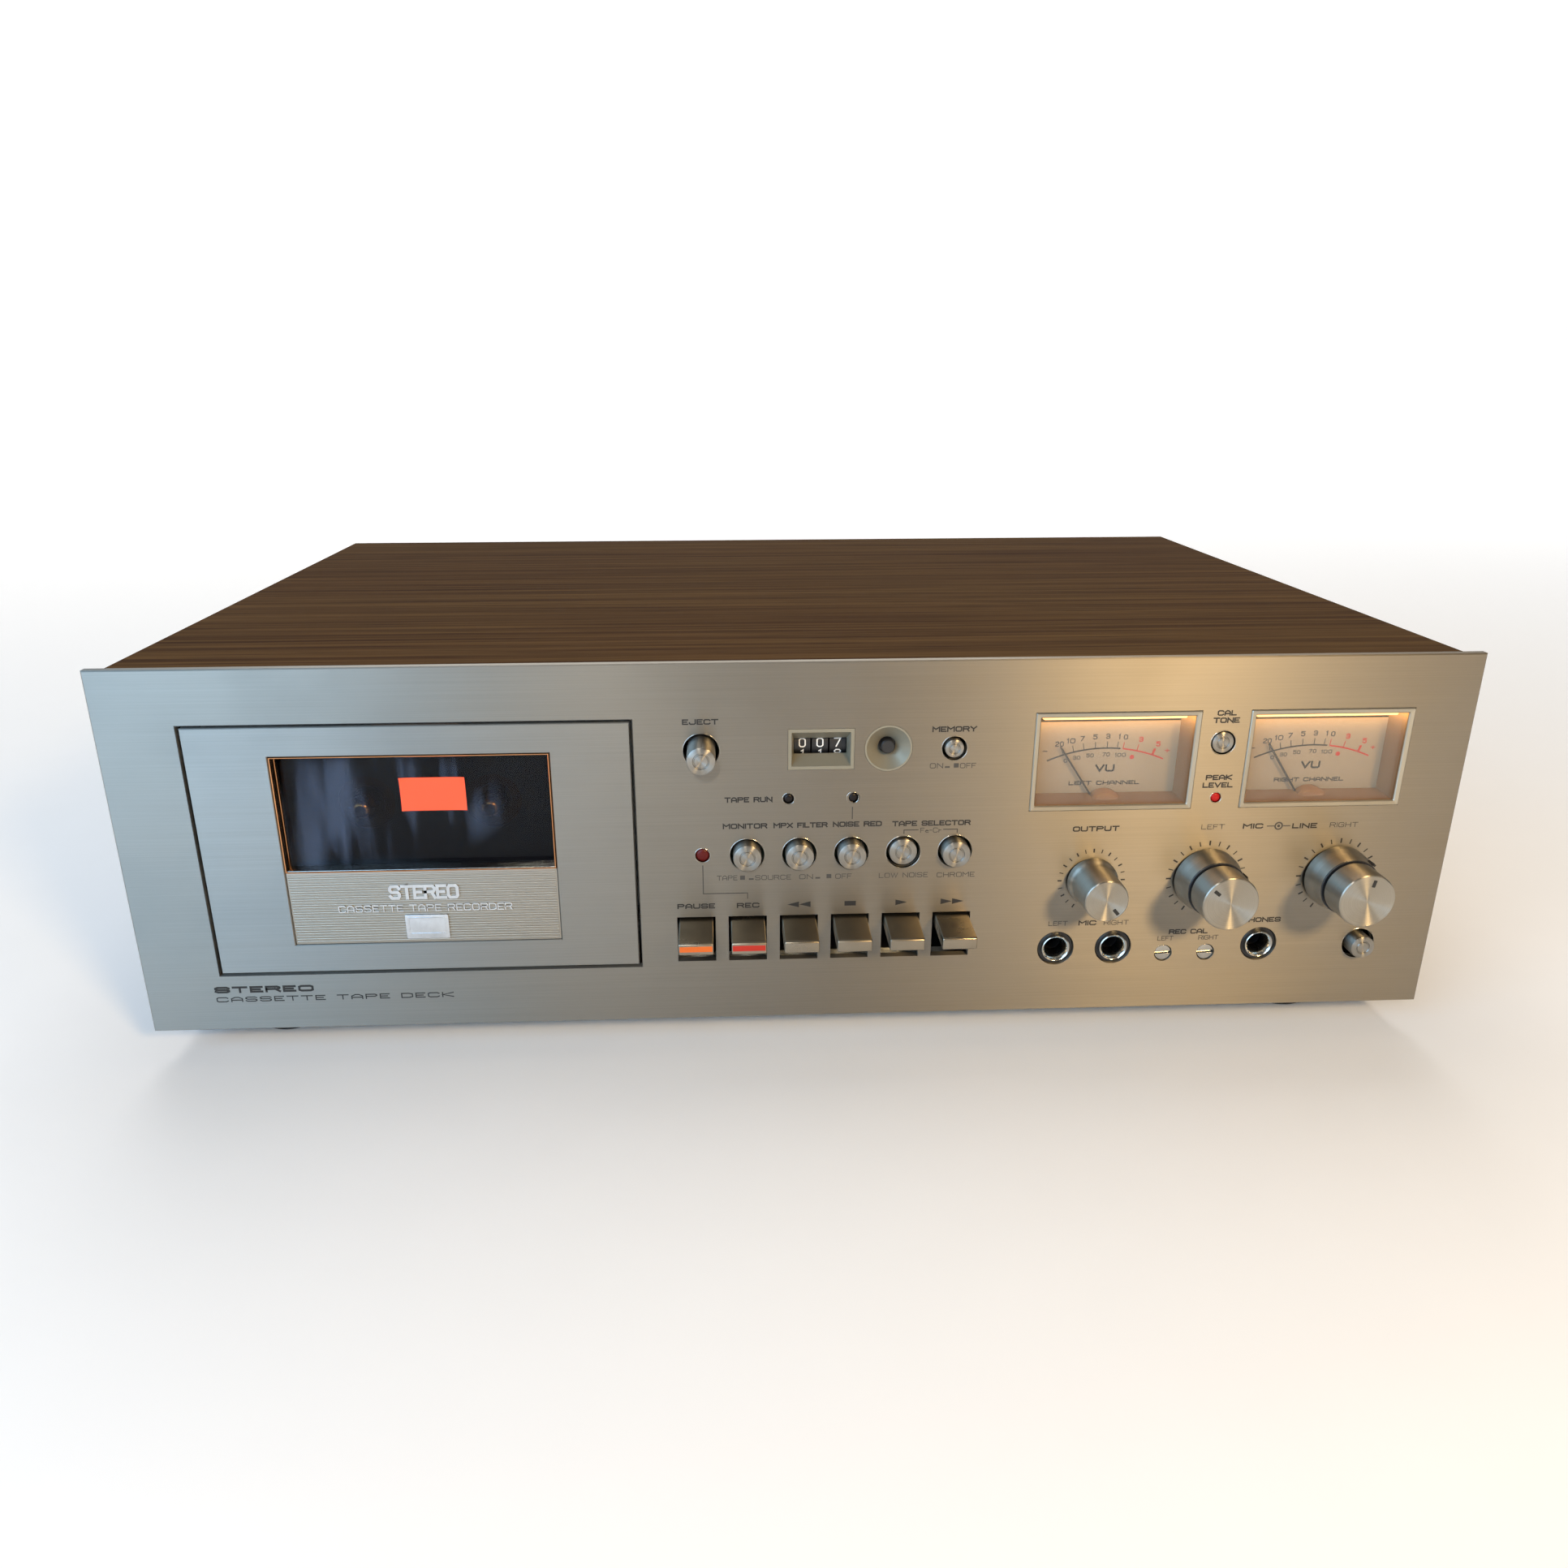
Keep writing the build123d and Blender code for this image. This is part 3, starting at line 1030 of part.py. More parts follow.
save(counter_housing, "counter_housing")

for place, wheel_name in enumerate(("hundreds_wheel", "tens_wheel", "units_wheel")):
    with BuildPart() as wheel:
        with BuildSketch(side_on(COUNTER_X + (place - 1) * WHEEL_PITCH)):
            with Locations((WHEEL_DEPTH, COUNTER_HEIGHT)):
                Circle(WHEEL_RADIUS)
                Circle(AXLE_RADIUS + RUNNING, mode=Mode.SUBTRACT)
        extrude(amount=WHEEL_WIDTH / 2, both=True)
    save(wheel, wheel_name)

with BuildPart() as reset_button:
    with BuildSketch(facing(RESET_END)):
        with Locations((DISH_X, COUNTER_HEIGHT)):
            Circle(RESET_RADIUS)
    extrude(amount=RESET_END - COUNTER_DEPTH + RESET_OUT)
    chamfer(reset_button.faces().sort_by(Axis.Y)[0].edges(), BUTTON_EASE)
    with BuildSketch(facing(COUNTER_FLANGE_BACK + 1.5)):  # collar that stops it coming out
        with Locations((DISH_X, COUNTER_HEIGHT)):
            Circle(RESET_HOLE + 1.2)
    extrude(amount=1)
save(reset_button, "reset_button")

# ================================================================ knobs, trimmers and jacks

with BuildPart() as output_knob:
    with BuildSketch(turning(OUTPUT_X, LEVEL_HEIGHT)):
        with BuildLine():
            Polyline(
                (0, -OUTPUT_OUT),
                (OUTPUT_RADIUS - KNOB_EASE, -OUTPUT_OUT),
                (OUTPUT_RADIUS, -OUTPUT_OUT + 2 * KNOB_EASE),
                (OUTPUT_RADIUS, -SKIRT_OUT - KNOB_EASE),
                (OUTPUT_SKIRT - 0.3, -SKIRT_OUT),
                (OUTPUT_SKIRT, -KNOB_AIR),
                (OUTER_SHAFT, -KNOB_AIR),
                (OUTER_SHAFT, POT_FRONT + POT_SEAT),
                (0, POT_FRONT + POT_SEAT),
                close=True,
            )
        make_face()
    revolve(axis=spin_axis(OUTPUT_X, LEVEL_HEIGHT))
save(output_knob, "output_knob")

for channel, level_x in LEVEL_X.items():
    with BuildPart() as ring:
        tube = INNER_SHAFT + SHAFT_AIR
        with BuildSketch(turning(level_x, LEVEL_HEIGHT)):
            with BuildLine():
                Polyline(
                    (tube, -RING_OUT),
                    (RING_NECK - KNOB_EASE, -RING_OUT),
                    (RING_NECK, -RING_OUT + KNOB_EASE),
                    (RING_NECK + 0.35, -SKIRT_OUT - 2.6),
                    (RING_RADIUS, -SKIRT_OUT - 0.6),
                    (RING_RADIUS, -KNOB_AIR),
                    (OUTER_SHAFT, -KNOB_AIR),
                    (OUTER_SHAFT, POT_FRONT + POT_SEAT),
                    (tube, POT_FRONT + POT_SEAT),
                    close=True,
                )
            make_face()
        revolve(axis=spin_axis(level_x, LEVEL_HEIGHT))
    save(ring, f"{channel}_line_ring")
    with BuildPart() as knob:
        with BuildSketch(turning(level_x, LEVEL_HEIGHT)):
            with BuildLine():
                Polyline(
                    (0, -LEVEL_OUT),
                    (LEVEL_RADIUS - KNOB_EASE, -LEVEL_OUT),
                    (LEVEL_RADIUS, -LEVEL_OUT + 2 * KNOB_EASE),
                    (LEVEL_RADIUS, -RING_OUT - KNOB_AIR),
                    (INNER_SHAFT, -RING_OUT - KNOB_AIR),
                    (INNER_SHAFT, POT_FRONT + 2 * POT_SEAT),
                    (0, POT_FRONT + 2 * POT_SEAT),
                    close=True,
                )
            make_face()
        revolve(axis=spin_axis(level_x, LEVEL_HEIGHT))
    save(knob, f"{channel}_mic_knob")

for channel, trimmer_x in TRIMMER_X.items():
    with BuildPart() as trimmer:
        with BuildSketch(facing(TRIMMER_LENGTH)):
            with Locations((trimmer_x, TRIMMER_HEIGHT)):
                Circle(TRIMMER_RADIUS)
        extrude(amount=TRIMMER_LENGTH - TRIMMER_RECESS)
        with BuildSketch(facing(TRIMMER_RECESS + TRIMMER_SLOT[1])):
            with Locations((trimmer_x, TRIMMER_HEIGHT)):
                Rectangle(2 * TRIMMER_RADIUS + 1, TRIMMER_SLOT[0])
        extrude(amount=TRIMMER_SLOT[1], mode=Mode.SUBTRACT)
        with BuildSketch(facing(SWITCH_FRONT + TRIMMER_BODY / 2)):
            with Locations((trimmer_x, TRIMMER_HEIGHT)):
                Circle(TRIMMER_SHAFT)
        extrude(amount=SWITCH_FRONT + TRIMMER_BODY / 2 - TRIMMER_LENGTH)
    save(trimmer, f"{channel}_calibration_trimmer")

with BuildPart() as front_jacks:
    for jack_x in JACK_X:
        with BuildSketch(turning(jack_x, JACK_HEIGHT)):
            with BuildLine():
                Polyline(
                    (0, JACK_DEPTH),
                    (JACK_BARREL, JACK_DEPTH),
                    (JACK_BARREL, PANEL_THICKNESS),
                    (JACK_HOLE - SEAT, PANEL_THICKNESS),
                    (JACK_HOLE - SEAT, JACK_FACE),
                    (JACK_FERRULE, JACK_FACE),
                    (JACK_FERRULE, 0),
                    (JACK_FERRULE - JACK_EASE, -JACK_EASE),
                    (JACK_BORE + JACK_EASE, -JACK_EASE),
                    (JACK_BORE, 0),
                    (JACK_BORE, JACK_BORE_DEPTH),
                    (0, JACK_BORE_DEPTH),
                    close=True,
                )
            make_face()
        revolve(axis=spin_axis(jack_x, JACK_HEIGHT))
save(front_jacks, "front_jacks")

# ================================================================ meters and lamps

with BuildPart() as meter_housings:
    body_middle = (METER_BODY_LOW + METER_BODY_HIGH) / 2
    body_tall = METER_BODY_HIGH - METER_BODY_LOW
    for meter_x in METER_X.values():
        with BuildSketch(facing(METER_DEPTH)):
            with Locations((meter_x, body_middle)):
                Rectangle(METER_BODY_WIDTH, body_tall)
        extrude(amount=METER_DEPTH - METER_FRONT)
        with BuildSketch(facing(METER_DEPTH - METER_WALL)):
            with Locations((meter_x, body_middle)):
                Rectangle(METER_BODY_WIDTH - 2 * METER_WALL, body_tall - 2 * METER_WALL)
        extrude(amount=METER_DEPTH - METER_FRONT - 2 * METER_WALL, mode=Mode.SUBTRACT)
        with BuildSketch(facing(METER_FRONT)):  # lip that fills the panel's opening
            with Locations((meter_x, METER_HEIGHT)):
                Rectangle(METER_WIDTH - 2 * SEAT, METER_TALL - 2 * SEAT)
        extrude(amount=METER_FRONT + METER_PROUD)
        with BuildSketch(facing(METER_FRONT + METER_WALL)):
            with Locations((meter_x, METER_HEIGHT)):
                Rectangle(*METER_SIGHT)
        extrude(amount=METER_FRONT + METER_WALL + METER_PROUD, mode=Mode.SUBTRACT)
        with BuildSketch(facing(METER_DEPTH - METER_WALL)):  # bearing pin of the needle
            with Locations((meter_x, NEEDLE_PIVOT)):
                Circle(NEEDLE_PIN)
        extrude(amount=METER_DEPTH - METER_WALL - NEEDLE_DEPTH + NEEDLE_PIN)
save(meter_housings, "meter_housings")

with BuildPart() as meter_dials:
    with BuildSketch(facing(DIAL_DEPTH + DIAL_THICKNESS)):
        for meter_x in METER_X.values():
            with Locations((meter_x, (DIAL_LOW + DIAL_HIGH) / 2)):
                Rectangle(METER_BODY_WIDTH - 2 * METER_WALL, DIAL_HIGH - DIAL_LOW)
    extrude(amount=DIAL_THICKNESS)
save(meter_dials, "meter_dials")

with BuildPart() as meter_lenses:
    with BuildSketch(facing(LENS_DEPTH + LENS_THICKNESS)):
        for meter_x in METER_X.values():
            with Locations((meter_x, METER_HEIGHT)):
                Rectangle(METER_SIGHT[0] - 2 * SEAT, METER_SIGHT[1] - 2 * SEAT)
    extrude(amount=LENS_THICKNESS)
save(meter_lenses, "meter_lenses")

for channel, meter_x in METER_X.items():
    with BuildPart() as needle:
        lean = radians(NEEDLE_REST)
        reach = HUB_BOSS - 0.4 + NEEDLE_LENGTH / 2
        with BuildSketch(facing(NEEDLE_DEPTH + HUB_BOSS_LENGTH)):
            with Locations((meter_x, NEEDLE_PIVOT)):
                Circle(HUB_BOSS)
                Circle(NEEDLE_PIN + RUNNING, mode=Mode.SUBTRACT)
        extrude(amount=HUB_BOSS_LENGTH + NEEDLE_RADIUS)
        with BuildSketch(facing(NEEDLE_DEPTH + NEEDLE_RADIUS)):
            with Locations((meter_x - sin(lean) * reach, NEEDLE_PIVOT + cos(lean) * reach)):
                Rectangle(2 * NEEDLE_RADIUS, NEEDLE_LENGTH, rotation=NEEDLE_REST)
        extrude(amount=2 * NEEDLE_RADIUS)
    save(needle, f"{channel}_needle")

with BuildPart() as indicator_lamps:
    with BuildSketch(facing(LAMP_END)):
        for lamp_x, lamp_height, lamp_radius in LAMPS:
            with Locations((lamp_x, lamp_height)):
                Circle(lamp_radius)
    extrude(amount=LAMP_END - LAMP_RECESS)
save(indicator_lamps, "indicator_lamps")

# ================================================================ electrical parts inside

with BuildPart() as circuit_boards:
    board_back = REAR_FRONT - BOARD_REAR_SPACE
    board_left = LEFT + BOARD_LEFT_MARGIN
    board_right = RIGHT - BOARD_RIGHT_MARGIN
    board_x = (board_left + board_right) / 2
    board_depth = (BOARD_FRONT + board_back) / 2
    board_size = (board_right - board_left, board_back - BOARD_FRONT)
    board_top = BASE_TOP + BOARD_LIFT + BOARD_SHEET
    with BuildSketch(level(board_top - BOARD_SHEET)):  # main board
        with Locations((board_x, board_depth)):
            Rectangle(*board_size)
    extrude(amount=BOARD_SHEET)
    with BuildSketch(level(BASE_TOP)):  # its standoffs
        with Locations((board_x, board_depth)):
            with GridLocations(board_size[0] - STANDOFF_INSET, board_size[1] - 2 * STANDOFF_INSET, 2, 2):
                Circle(STANDOFF_RADIUS)
    extrude(amount=BOARD_LIFT)
    with BuildSketch(level(board_top)):  # capacitors
        with Locations((board_x + board_size[0] / 5, board_depth)):
            with GridLocations(22, 26, 4, 2):
                Circle(CAPACITOR[0])
    extrude(amount=CAPACITOR[1])
    with BuildSketch(level(board_top)):  # integrated circuits
        with Locations((board_x - board_size[0] / 5, board_depth)):
            with GridLocations(28, 24, 4, 3):
                Rectangle(CHIP[0], CHIP[1])
    extrude(amount=CHIP[2])
    control_front = POT_FRONT + POT_DEPTH
    control_left = DOOR_RIGHT + CONTROL_BOARD_LEFT
    control_right = BASE_HALF - 1
    jack_board_left = JACK_X[1] + JACK_BARREL + 2
    with BuildSketch(facing(control_front + BOARD_SHEET)):  # upright board behind the controls
        with Locations(((control_left + control_right) / 2, (CONTROL_BOARD_LOW + CONTROL_BOARD_HIGH) / 2)):
            Rectangle(control_right - control_left, CONTROL_BOARD_HIGH - CONTROL_BOARD_LOW)
        with Locations(((jack_board_left + control_right) / 2, (BASE_TOP + CONTROL_BOARD_LOW) / 2)):
            Rectangle(control_right - jack_board_left, CONTROL_BOARD_LOW - BASE_TOP)
    extrude(amount=BOARD_SHEET)
    switch_places = [(x, SELECTOR_HEIGHT) for x in SELECTOR_X]
    switch_places += [(MEMORY_X, MEMORY_HEIGHT), (CAL_X, CAL_HEIGHT), (POWER_X, POWER_HEIGHT)]
    trimmer_places = [(x, TRIMMER_HEIGHT) for x in TRIMMER_X.values()]
    pot_places = [(x, LEVEL_HEIGHT) for x in (OUTPUT_X, *LEVEL_X.values())]
    with BuildSketch(facing(control_front)):  # switches and calibration trimmers
        with Locations(switch_places):
            Rectangle(*SWITCH_SIZE)
        with Locations(trimmer_places):
            Rectangle(TRIMMER_BODY, TRIMMER_BODY)
    extrude(amount=control_front - SWITCH_FRONT)
    with BuildSketch(facing(control_front)):  # potentiometers
        with Locations(pot_places):
            Circle(POT_RADIUS)
    extrude(amount=POT_DEPTH)
    with BuildSketch(facing(control_front - SWITCH_BOTTOM)):
        with Locations(switch_places):
            Circle(STEM_RADIUS + SHAFT_AIR)
        with Locations(trimmer_places):
            Circle(TRIMMER_SHAFT + SHAFT_AIR)
        with Locations(pot_places):
            Circle(INNER_SHAFT + SHAFT_AIR)
    extrude(amount=control_front - SWITCH_BOTTOM - POT_FRONT, mode=Mode.SUBTRACT)
    with BuildSketch(facing(POT_FRONT + POT_SEAT + 1)):
        with Locations(pot_places):
            Circle(OUTER_SHAFT + SHAFT_AIR)
    extrude(amount=POT_SEAT + 1, mode=Mode.SUBTRACT)
save(circuit_boards, "circuit_boards")

with BuildPart() as transformer:
    core_x = RIGHT - CORE_RIGHT_MARGIN
    core_depth = REAR_FRONT - CORE_REAR_SPACE
    with BuildSketch(level(BASE_TOP)):
        with Locations((core_x, core_depth)):
            Rectangle(CORE_SIZE[0], CORE_SIZE[1])
    extrude(amount=CORE_SIZE[2])
    with BuildSketch(level(BASE_TOP + (CORE_SIZE[2] - COIL_SIZE[2]) / 2)):
        with Locations((core_x, core_depth)):
            Rectangle(COIL_SIZE[0], COIL_SIZE[1])
    extrude(amount=COIL_SIZE[2])
save(transformer, "transformer")

print("box", BODY_WIDTH, "x", BODY_DEPTH + LEVEL_OUT, "x", FOOT_HEIGHT + PANEL_HEIGHT)
print("travels: door", DOOR_SWING, "eject", EJECT_TRAVEL, "reset", RESET_TRAVEL, "key", KEY_SWING)
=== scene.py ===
"""Looks of a front-loading stereo cassette deck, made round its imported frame.

Lengths are millimetres in the frame of the front panel, x to the right of the deck's middle, height
above the panel's lower edge and out towards the user, until a Form is placed, which makes metres.
"""

import json
import logging
from dataclasses import dataclass, field, replace
from enum import Enum
from math import atan2, cos, hypot, pi, radians, sin

import bmesh
import bpy
from mathutils import Matrix, Vector
from mathutils.geometry import convex_hull_2d


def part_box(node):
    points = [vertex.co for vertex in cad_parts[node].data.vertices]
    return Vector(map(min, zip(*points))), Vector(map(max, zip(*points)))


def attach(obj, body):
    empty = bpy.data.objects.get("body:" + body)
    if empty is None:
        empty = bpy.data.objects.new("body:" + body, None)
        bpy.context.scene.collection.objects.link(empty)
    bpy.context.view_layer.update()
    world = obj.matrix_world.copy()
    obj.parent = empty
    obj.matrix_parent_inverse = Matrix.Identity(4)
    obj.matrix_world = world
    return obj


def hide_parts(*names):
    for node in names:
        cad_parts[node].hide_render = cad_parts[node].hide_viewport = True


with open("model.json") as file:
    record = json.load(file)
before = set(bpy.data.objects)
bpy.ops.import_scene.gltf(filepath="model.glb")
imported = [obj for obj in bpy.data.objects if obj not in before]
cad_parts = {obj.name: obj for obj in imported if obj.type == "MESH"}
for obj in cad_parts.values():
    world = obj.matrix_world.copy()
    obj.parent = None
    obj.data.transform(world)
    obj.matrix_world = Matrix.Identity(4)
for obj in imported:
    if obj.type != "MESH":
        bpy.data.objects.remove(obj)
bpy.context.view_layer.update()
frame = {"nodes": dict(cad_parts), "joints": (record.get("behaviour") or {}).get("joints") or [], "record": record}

MM = 0.001
LOG = logging.getLogger("cassette_deck")
Colour = tuple[float, float, float]
Outline = list[tuple[float, float]]
Node, Socket, Tree = bpy.types.Node, bpy.types.NodeSocket, bpy.types.NodeTree


# ================================================================ places on the deck


class Facing(Enum):
    """Which way a form's own out direction points; its columns are right, up and out."""

    FRONT = ((1, 0, 0), (0, 0, 1), (0, -1, 0))
    REAR = ((-1, 0, 0), (0, 0, 1), (0, 1, 0))
    SIDE = ((0, 1, 0), (0, 0, 1), (1, 0, 0))
    TOP = ((1, 0, 0), (0, 1, 0), (0, 0, 1))
    BOTTOM = ((1, 0, 0), (0, -1, 0), (0, 0, -1))

    def matrix(self) -> Matrix:
        """The turn from right, up and out to the frame's axes."""
        return Matrix(self.value).transposed().to_4x4()


@dataclass(frozen=True)
class Datum:
    """The front panel's lower edge and front face, from which places are counted."""

    front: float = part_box("front_panel")[0].y
    foot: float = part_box("front_panel")[0].z

    def at(self, x: float, height: float, out: float = 0.0) -> Vector:
        """A point in metres.

        Args:
            x: Millimetres to the right of the middle.
            height: Millimetres above the panel's lower edge.
            out: Millimetres in front of the panel.

        Returns:
            The point in the frame, in metres.
        """
        return Vector((x * MM, self.front - out * MM, self.foot + height * MM))

    def local(self, point: Vector) -> tuple[float, float, float]:
        """The x, height and out, in millimetres, of a point of the frame."""
        return point.x / MM, (point.z - self.foot) / MM, (self.front - point.y) / MM


DATUM = Datum()
JOINTS = {joint["name"]: joint for joint in frame["joints"]}


def pivot(joint: str) -> tuple[float, float, float]:
    """The x, height and out, in millimetres, of a hinge's axis point."""
    return DATUM.local(Vector(JOINTS[joint]["pos_m"]))


def span(node: str) -> tuple[Vector, Vector]:
    """Lowest and highest (x, height, out) of a node, in millimetres.

    Args:
        node: The node's name.

    Returns:
        Both corners.
    """
    low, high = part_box(node)
    nearest, farthest = DATUM.local(Vector((low.x, low.y, low.z))), DATUM.local(high)
    return Vector((nearest[0], nearest[1], farthest[2])), Vector((farthest[0], farthest[1], nearest[2]))


def middle(node: str) -> tuple[float, float]:
    """The x and height of a node's middle, in millimetres."""
    low, high = span(node)
    return (low.x + high.x) / 2, (low.y + high.y) / 2


def deck_place(x: float, height: float, out: float = 0.0, facing: Facing = Facing.FRONT) -> Matrix:
    """The matrix from a form's millimetres to a place of the deck, in metres."""
    return Matrix.Translation(DATUM.at(x, height, out)) @ facing.matrix() @ Matrix.Scale(MM, 4)


# ================================================================ finishes


class NodeGraph:
    """Adds nodes to a tree and links them in few words."""

    def __init__(self, tree: Tree) -> None:
        """Starts on an empty or a default tree."""
        self.tree = tree

    def add(self, kind: str, **inputs: object) -> Node:
        """Adds a node and fills its inputs.

        Args:
            kind: The node's type, such as ShaderNodeTexNoise.
            inputs: Values or sockets by input name, with _ for a space, and settings in lower case.

        Returns:
            The new node.
        """
        node = self.tree.nodes.new(kind)
        for key, value in inputs.items():
            if hasattr(node, key) and key[0].islower():
                setattr(node, key, value)
                continue
            place = int(key[1:]) if key[0] == "i" and key[1:].isdigit() else key.replace("_", " ")
            socket = node.inputs[place]
            if isinstance(value, Socket):
                self.tree.links.new(value, socket)
            else:
                socket.default_value = value
        return node

    def first(self, kind: str, **inputs: object) -> Socket:
        """The first output of a new node, which is added as add does."""
        return self.add(kind, **inputs).outputs[0]

    def math(self, operation: str, first: object, second: object = 0.0) -> Socket:
        """The result of a Math node."""
        return self.first("ShaderNodeMath", operation=operation, i0=first, i1=second)

    def ramp(self, factor: Socket, low: float, high: float) -> Socket:
        """The factor spread from low and high to 0 and 1, and held there."""
        return self.first("ShaderNodeMapRange", Value=factor, From_Min=low, From_Max=high)

    def mix(self, factor: object, first: Colour, second: Colour) -> Socket:
        """A colour between two.

        Args:
            factor: Share of the second, as a number or a socket.
            first: The colour at 0.
            second: The colour at 1.

        Returns:
            The mixed colour.
        """
        node = self.add("ShaderNodeMix", data_type="RGBA", i0=factor)
        node.inputs[6].default_value = (*first, 1)
        node.inputs[7].default_value = (*second, 1)
        return node.outputs[2]


@dataclass(frozen=True)
class Finish:
    """A surface, with the record's slot that it belongs to."""

    name: str
    colour: Colour
    roughness: float = 0.5
    metallic: float = 0.0
    slot: str | None = None
    specular: float = 0.5
    variation: float = 0.12
    bump: float = 0.15

    def material(self) -> bpy.types.Material:
        """The material, made once.

        Returns:
            The material, with this finish's nodes.
        """
        made = bpy.data.materials.get(self.name)
        if made is None:
            made = bpy.data.materials.new(self.name)
            made.use_nodes = True
            graph = NodeGraph(made.node_tree)
            shader = made.node_tree.nodes["Principled BSDF"]
            shader.inputs["Base Color"].default_value = (*self.colour, 1)
            shader.inputs["Metallic"].default_value = self.metallic
            shader.inputs["Roughness"].default_value = self.roughness
            shader.inputs["Specular IOR Level"].default_value = self.specular
            made.diffuse_color = (*self.colour, 1)
            self.weave(graph, shader)
        return made

    def shades(self) -> tuple[Colour, Colour]:
        """The colour a little darker and a little lighter.

        Returns:
            Both colours.
        """
        dark = tuple(channel * (1 - self.variation) for channel in self.colour)
        light = tuple(min(1.0, channel * (1 + self.variation)) for channel in self.colour)
        return dark, light

    def noise(self, graph: NodeGraph, scale: tuple[float, float, float], detail: float = 4.0) -> Socket:
        """Noise over the object's own coordinates.

        Args:
            graph: The material's graph.
            scale: Cycles per metre along each axis.
            detail: Octaves.

        Returns:
            The noise's factor.
        """
        place = graph.add("ShaderNodeTexCoord").outputs["Object"]
        mapped = graph.first("ShaderNodeMapping", Vector=place, Scale=scale)
        return graph.first("ShaderNodeTexNoise", Vector=mapped, Scale=1.0, Detail=detail)

    def roughen(self, graph: NodeGraph, shader: Node, factor: Socket, spread: float) -> None:
        """Spreads the roughness by a factor.

        Args:
            graph: The material's graph.
            shader: Its main shader.
            factor: What varies it, from 0 to 1.
            spread: How far it goes each way.
        """
        low = max(0.0, self.roughness - spread)
        ranged = graph.add("ShaderNodeMapRange", Value=factor, To_Min=low, To_Max=self.roughness + spread)
        graph.tree.links.new(ranged.outputs[0], shader.inputs["Roughness"])

    def relief(self, graph: NodeGraph, shader: Node, height: Socket, depth: float) -> None:
        """Bumps the surface by a height, depth metres from low to high."""
        bumped = graph.add("ShaderNodeBump", Strength=self.bump, Distance=depth, Height=height)
        graph.tree.links.new(bumped.outputs[0], shader.inputs["Normal"])

    def weave(self, graph: NodeGraph, shader: Node) -> None:
        """Fine moulded grain with slow cloudy wear.

        Args:
            graph: The material's graph.
            shader: Its main shader.
        """
        fine = self.noise(graph, (2600,) * 3, 3)
        slow = self.noise(graph, (35,) * 3, 4)
        graph.tree.links.new(graph.mix(slow, *self.shades()), shader.inputs["Base Color"])
        self.roughen(graph, shader, slow, 0.07)
        self.relief(graph, shader, fine, 0.00008)


@dataclass(frozen=True)
class BrushedMetal(Finish):
    """Metal brushed in one direction, with handling smudges."""

    grain: tuple[float, float, float] = (14.0, 2500.0, 2500.0)
    stretch: float = 0.55
    metallic: float = 1.0

    def weave(self, graph: NodeGraph, shader: Node) -> None:
        """Long fine lines, broken up by smudges that dull the metal.

        Args:
            graph: The material's graph.
            shader: Its main shader.
        """
        lines = self.noise(graph, self.grain, 6)
        broad = self.noise(graph, tuple(value / 5 for value in self.grain), 4)
        smudge = graph.ramp(self.noise(graph, (22, 22, 30), 5), 0.42, 0.68)
        both = graph.math("ADD", graph.math("MULTIPLY", lines, 0.8), graph.math("MULTIPLY", broad, 0.2))
        worn = graph.math("SUBTRACT", graph.ramp(both, 0.3, 0.7), graph.math("MULTIPLY", smudge, 0.22))
        graph.tree.links.new(graph.mix(worn, *self.shades()), shader.inputs["Base Color"])
        mottled = graph.math("ADD", graph.math("MULTIPLY", both, 0.6), graph.math("MULTIPLY", smudge, 0.5))
        self.roughen(graph, shader, mottled, 0.07)
        self.relief(graph, shader, both, 0.00004)
        shader.inputs["Anisotropic"].default_value = self.stretch
        normal = graph.add("ShaderNodeNewGeometry").outputs["Normal"]
        along = graph.first("ShaderNodeVectorMath", operation="CROSS_PRODUCT", i0=normal, i1=(1, 0, 0.001))
        graph.tree.links.new(along, shader.inputs["Tangent"])


@dataclass(frozen=True)
class TurnedMetal(Finish):
    """Lathe-turned metal; the piece's UV map runs round it and along its profile in millimetres."""

    pitch: float = 7.0
    stretch: float = 0.75
    metallic: float = 1.0

    def weave(self, graph: NodeGraph, shader: Node) -> None:
        """Fine rings round the axis, with the long glint that they give a turned face.

        Args:
            graph: The material's graph.
            shader: Its main shader.
        """
        place = graph.first("ShaderNodeUVMap", uv_map="turning")
        mapped = graph.first("ShaderNodeMapping", Vector=place, Scale=(0.6, self.pitch, 1))
        rings = graph.first("ShaderNodeTexNoise", Vector=mapped, Scale=1.0, Detail=5.0)
        graph.tree.links.new(graph.mix(graph.ramp(rings, 0.3, 0.7), *self.shades()), shader.inputs["Base Color"])
        self.roughen(graph, shader, rings, 0.03)
        self.relief(graph, shader, rings, 0.00001)
        shader.inputs["Anisotropic"].default_value = self.stretch
        shader.inputs["Anisotropic Rotation"].default_value = 0.25
        tangent = graph.first("ShaderNodeTangent", direction_type="UV_MAP", uv_map="turning")
        graph.tree.links.new(tangent, shader.inputs["Tangent"])


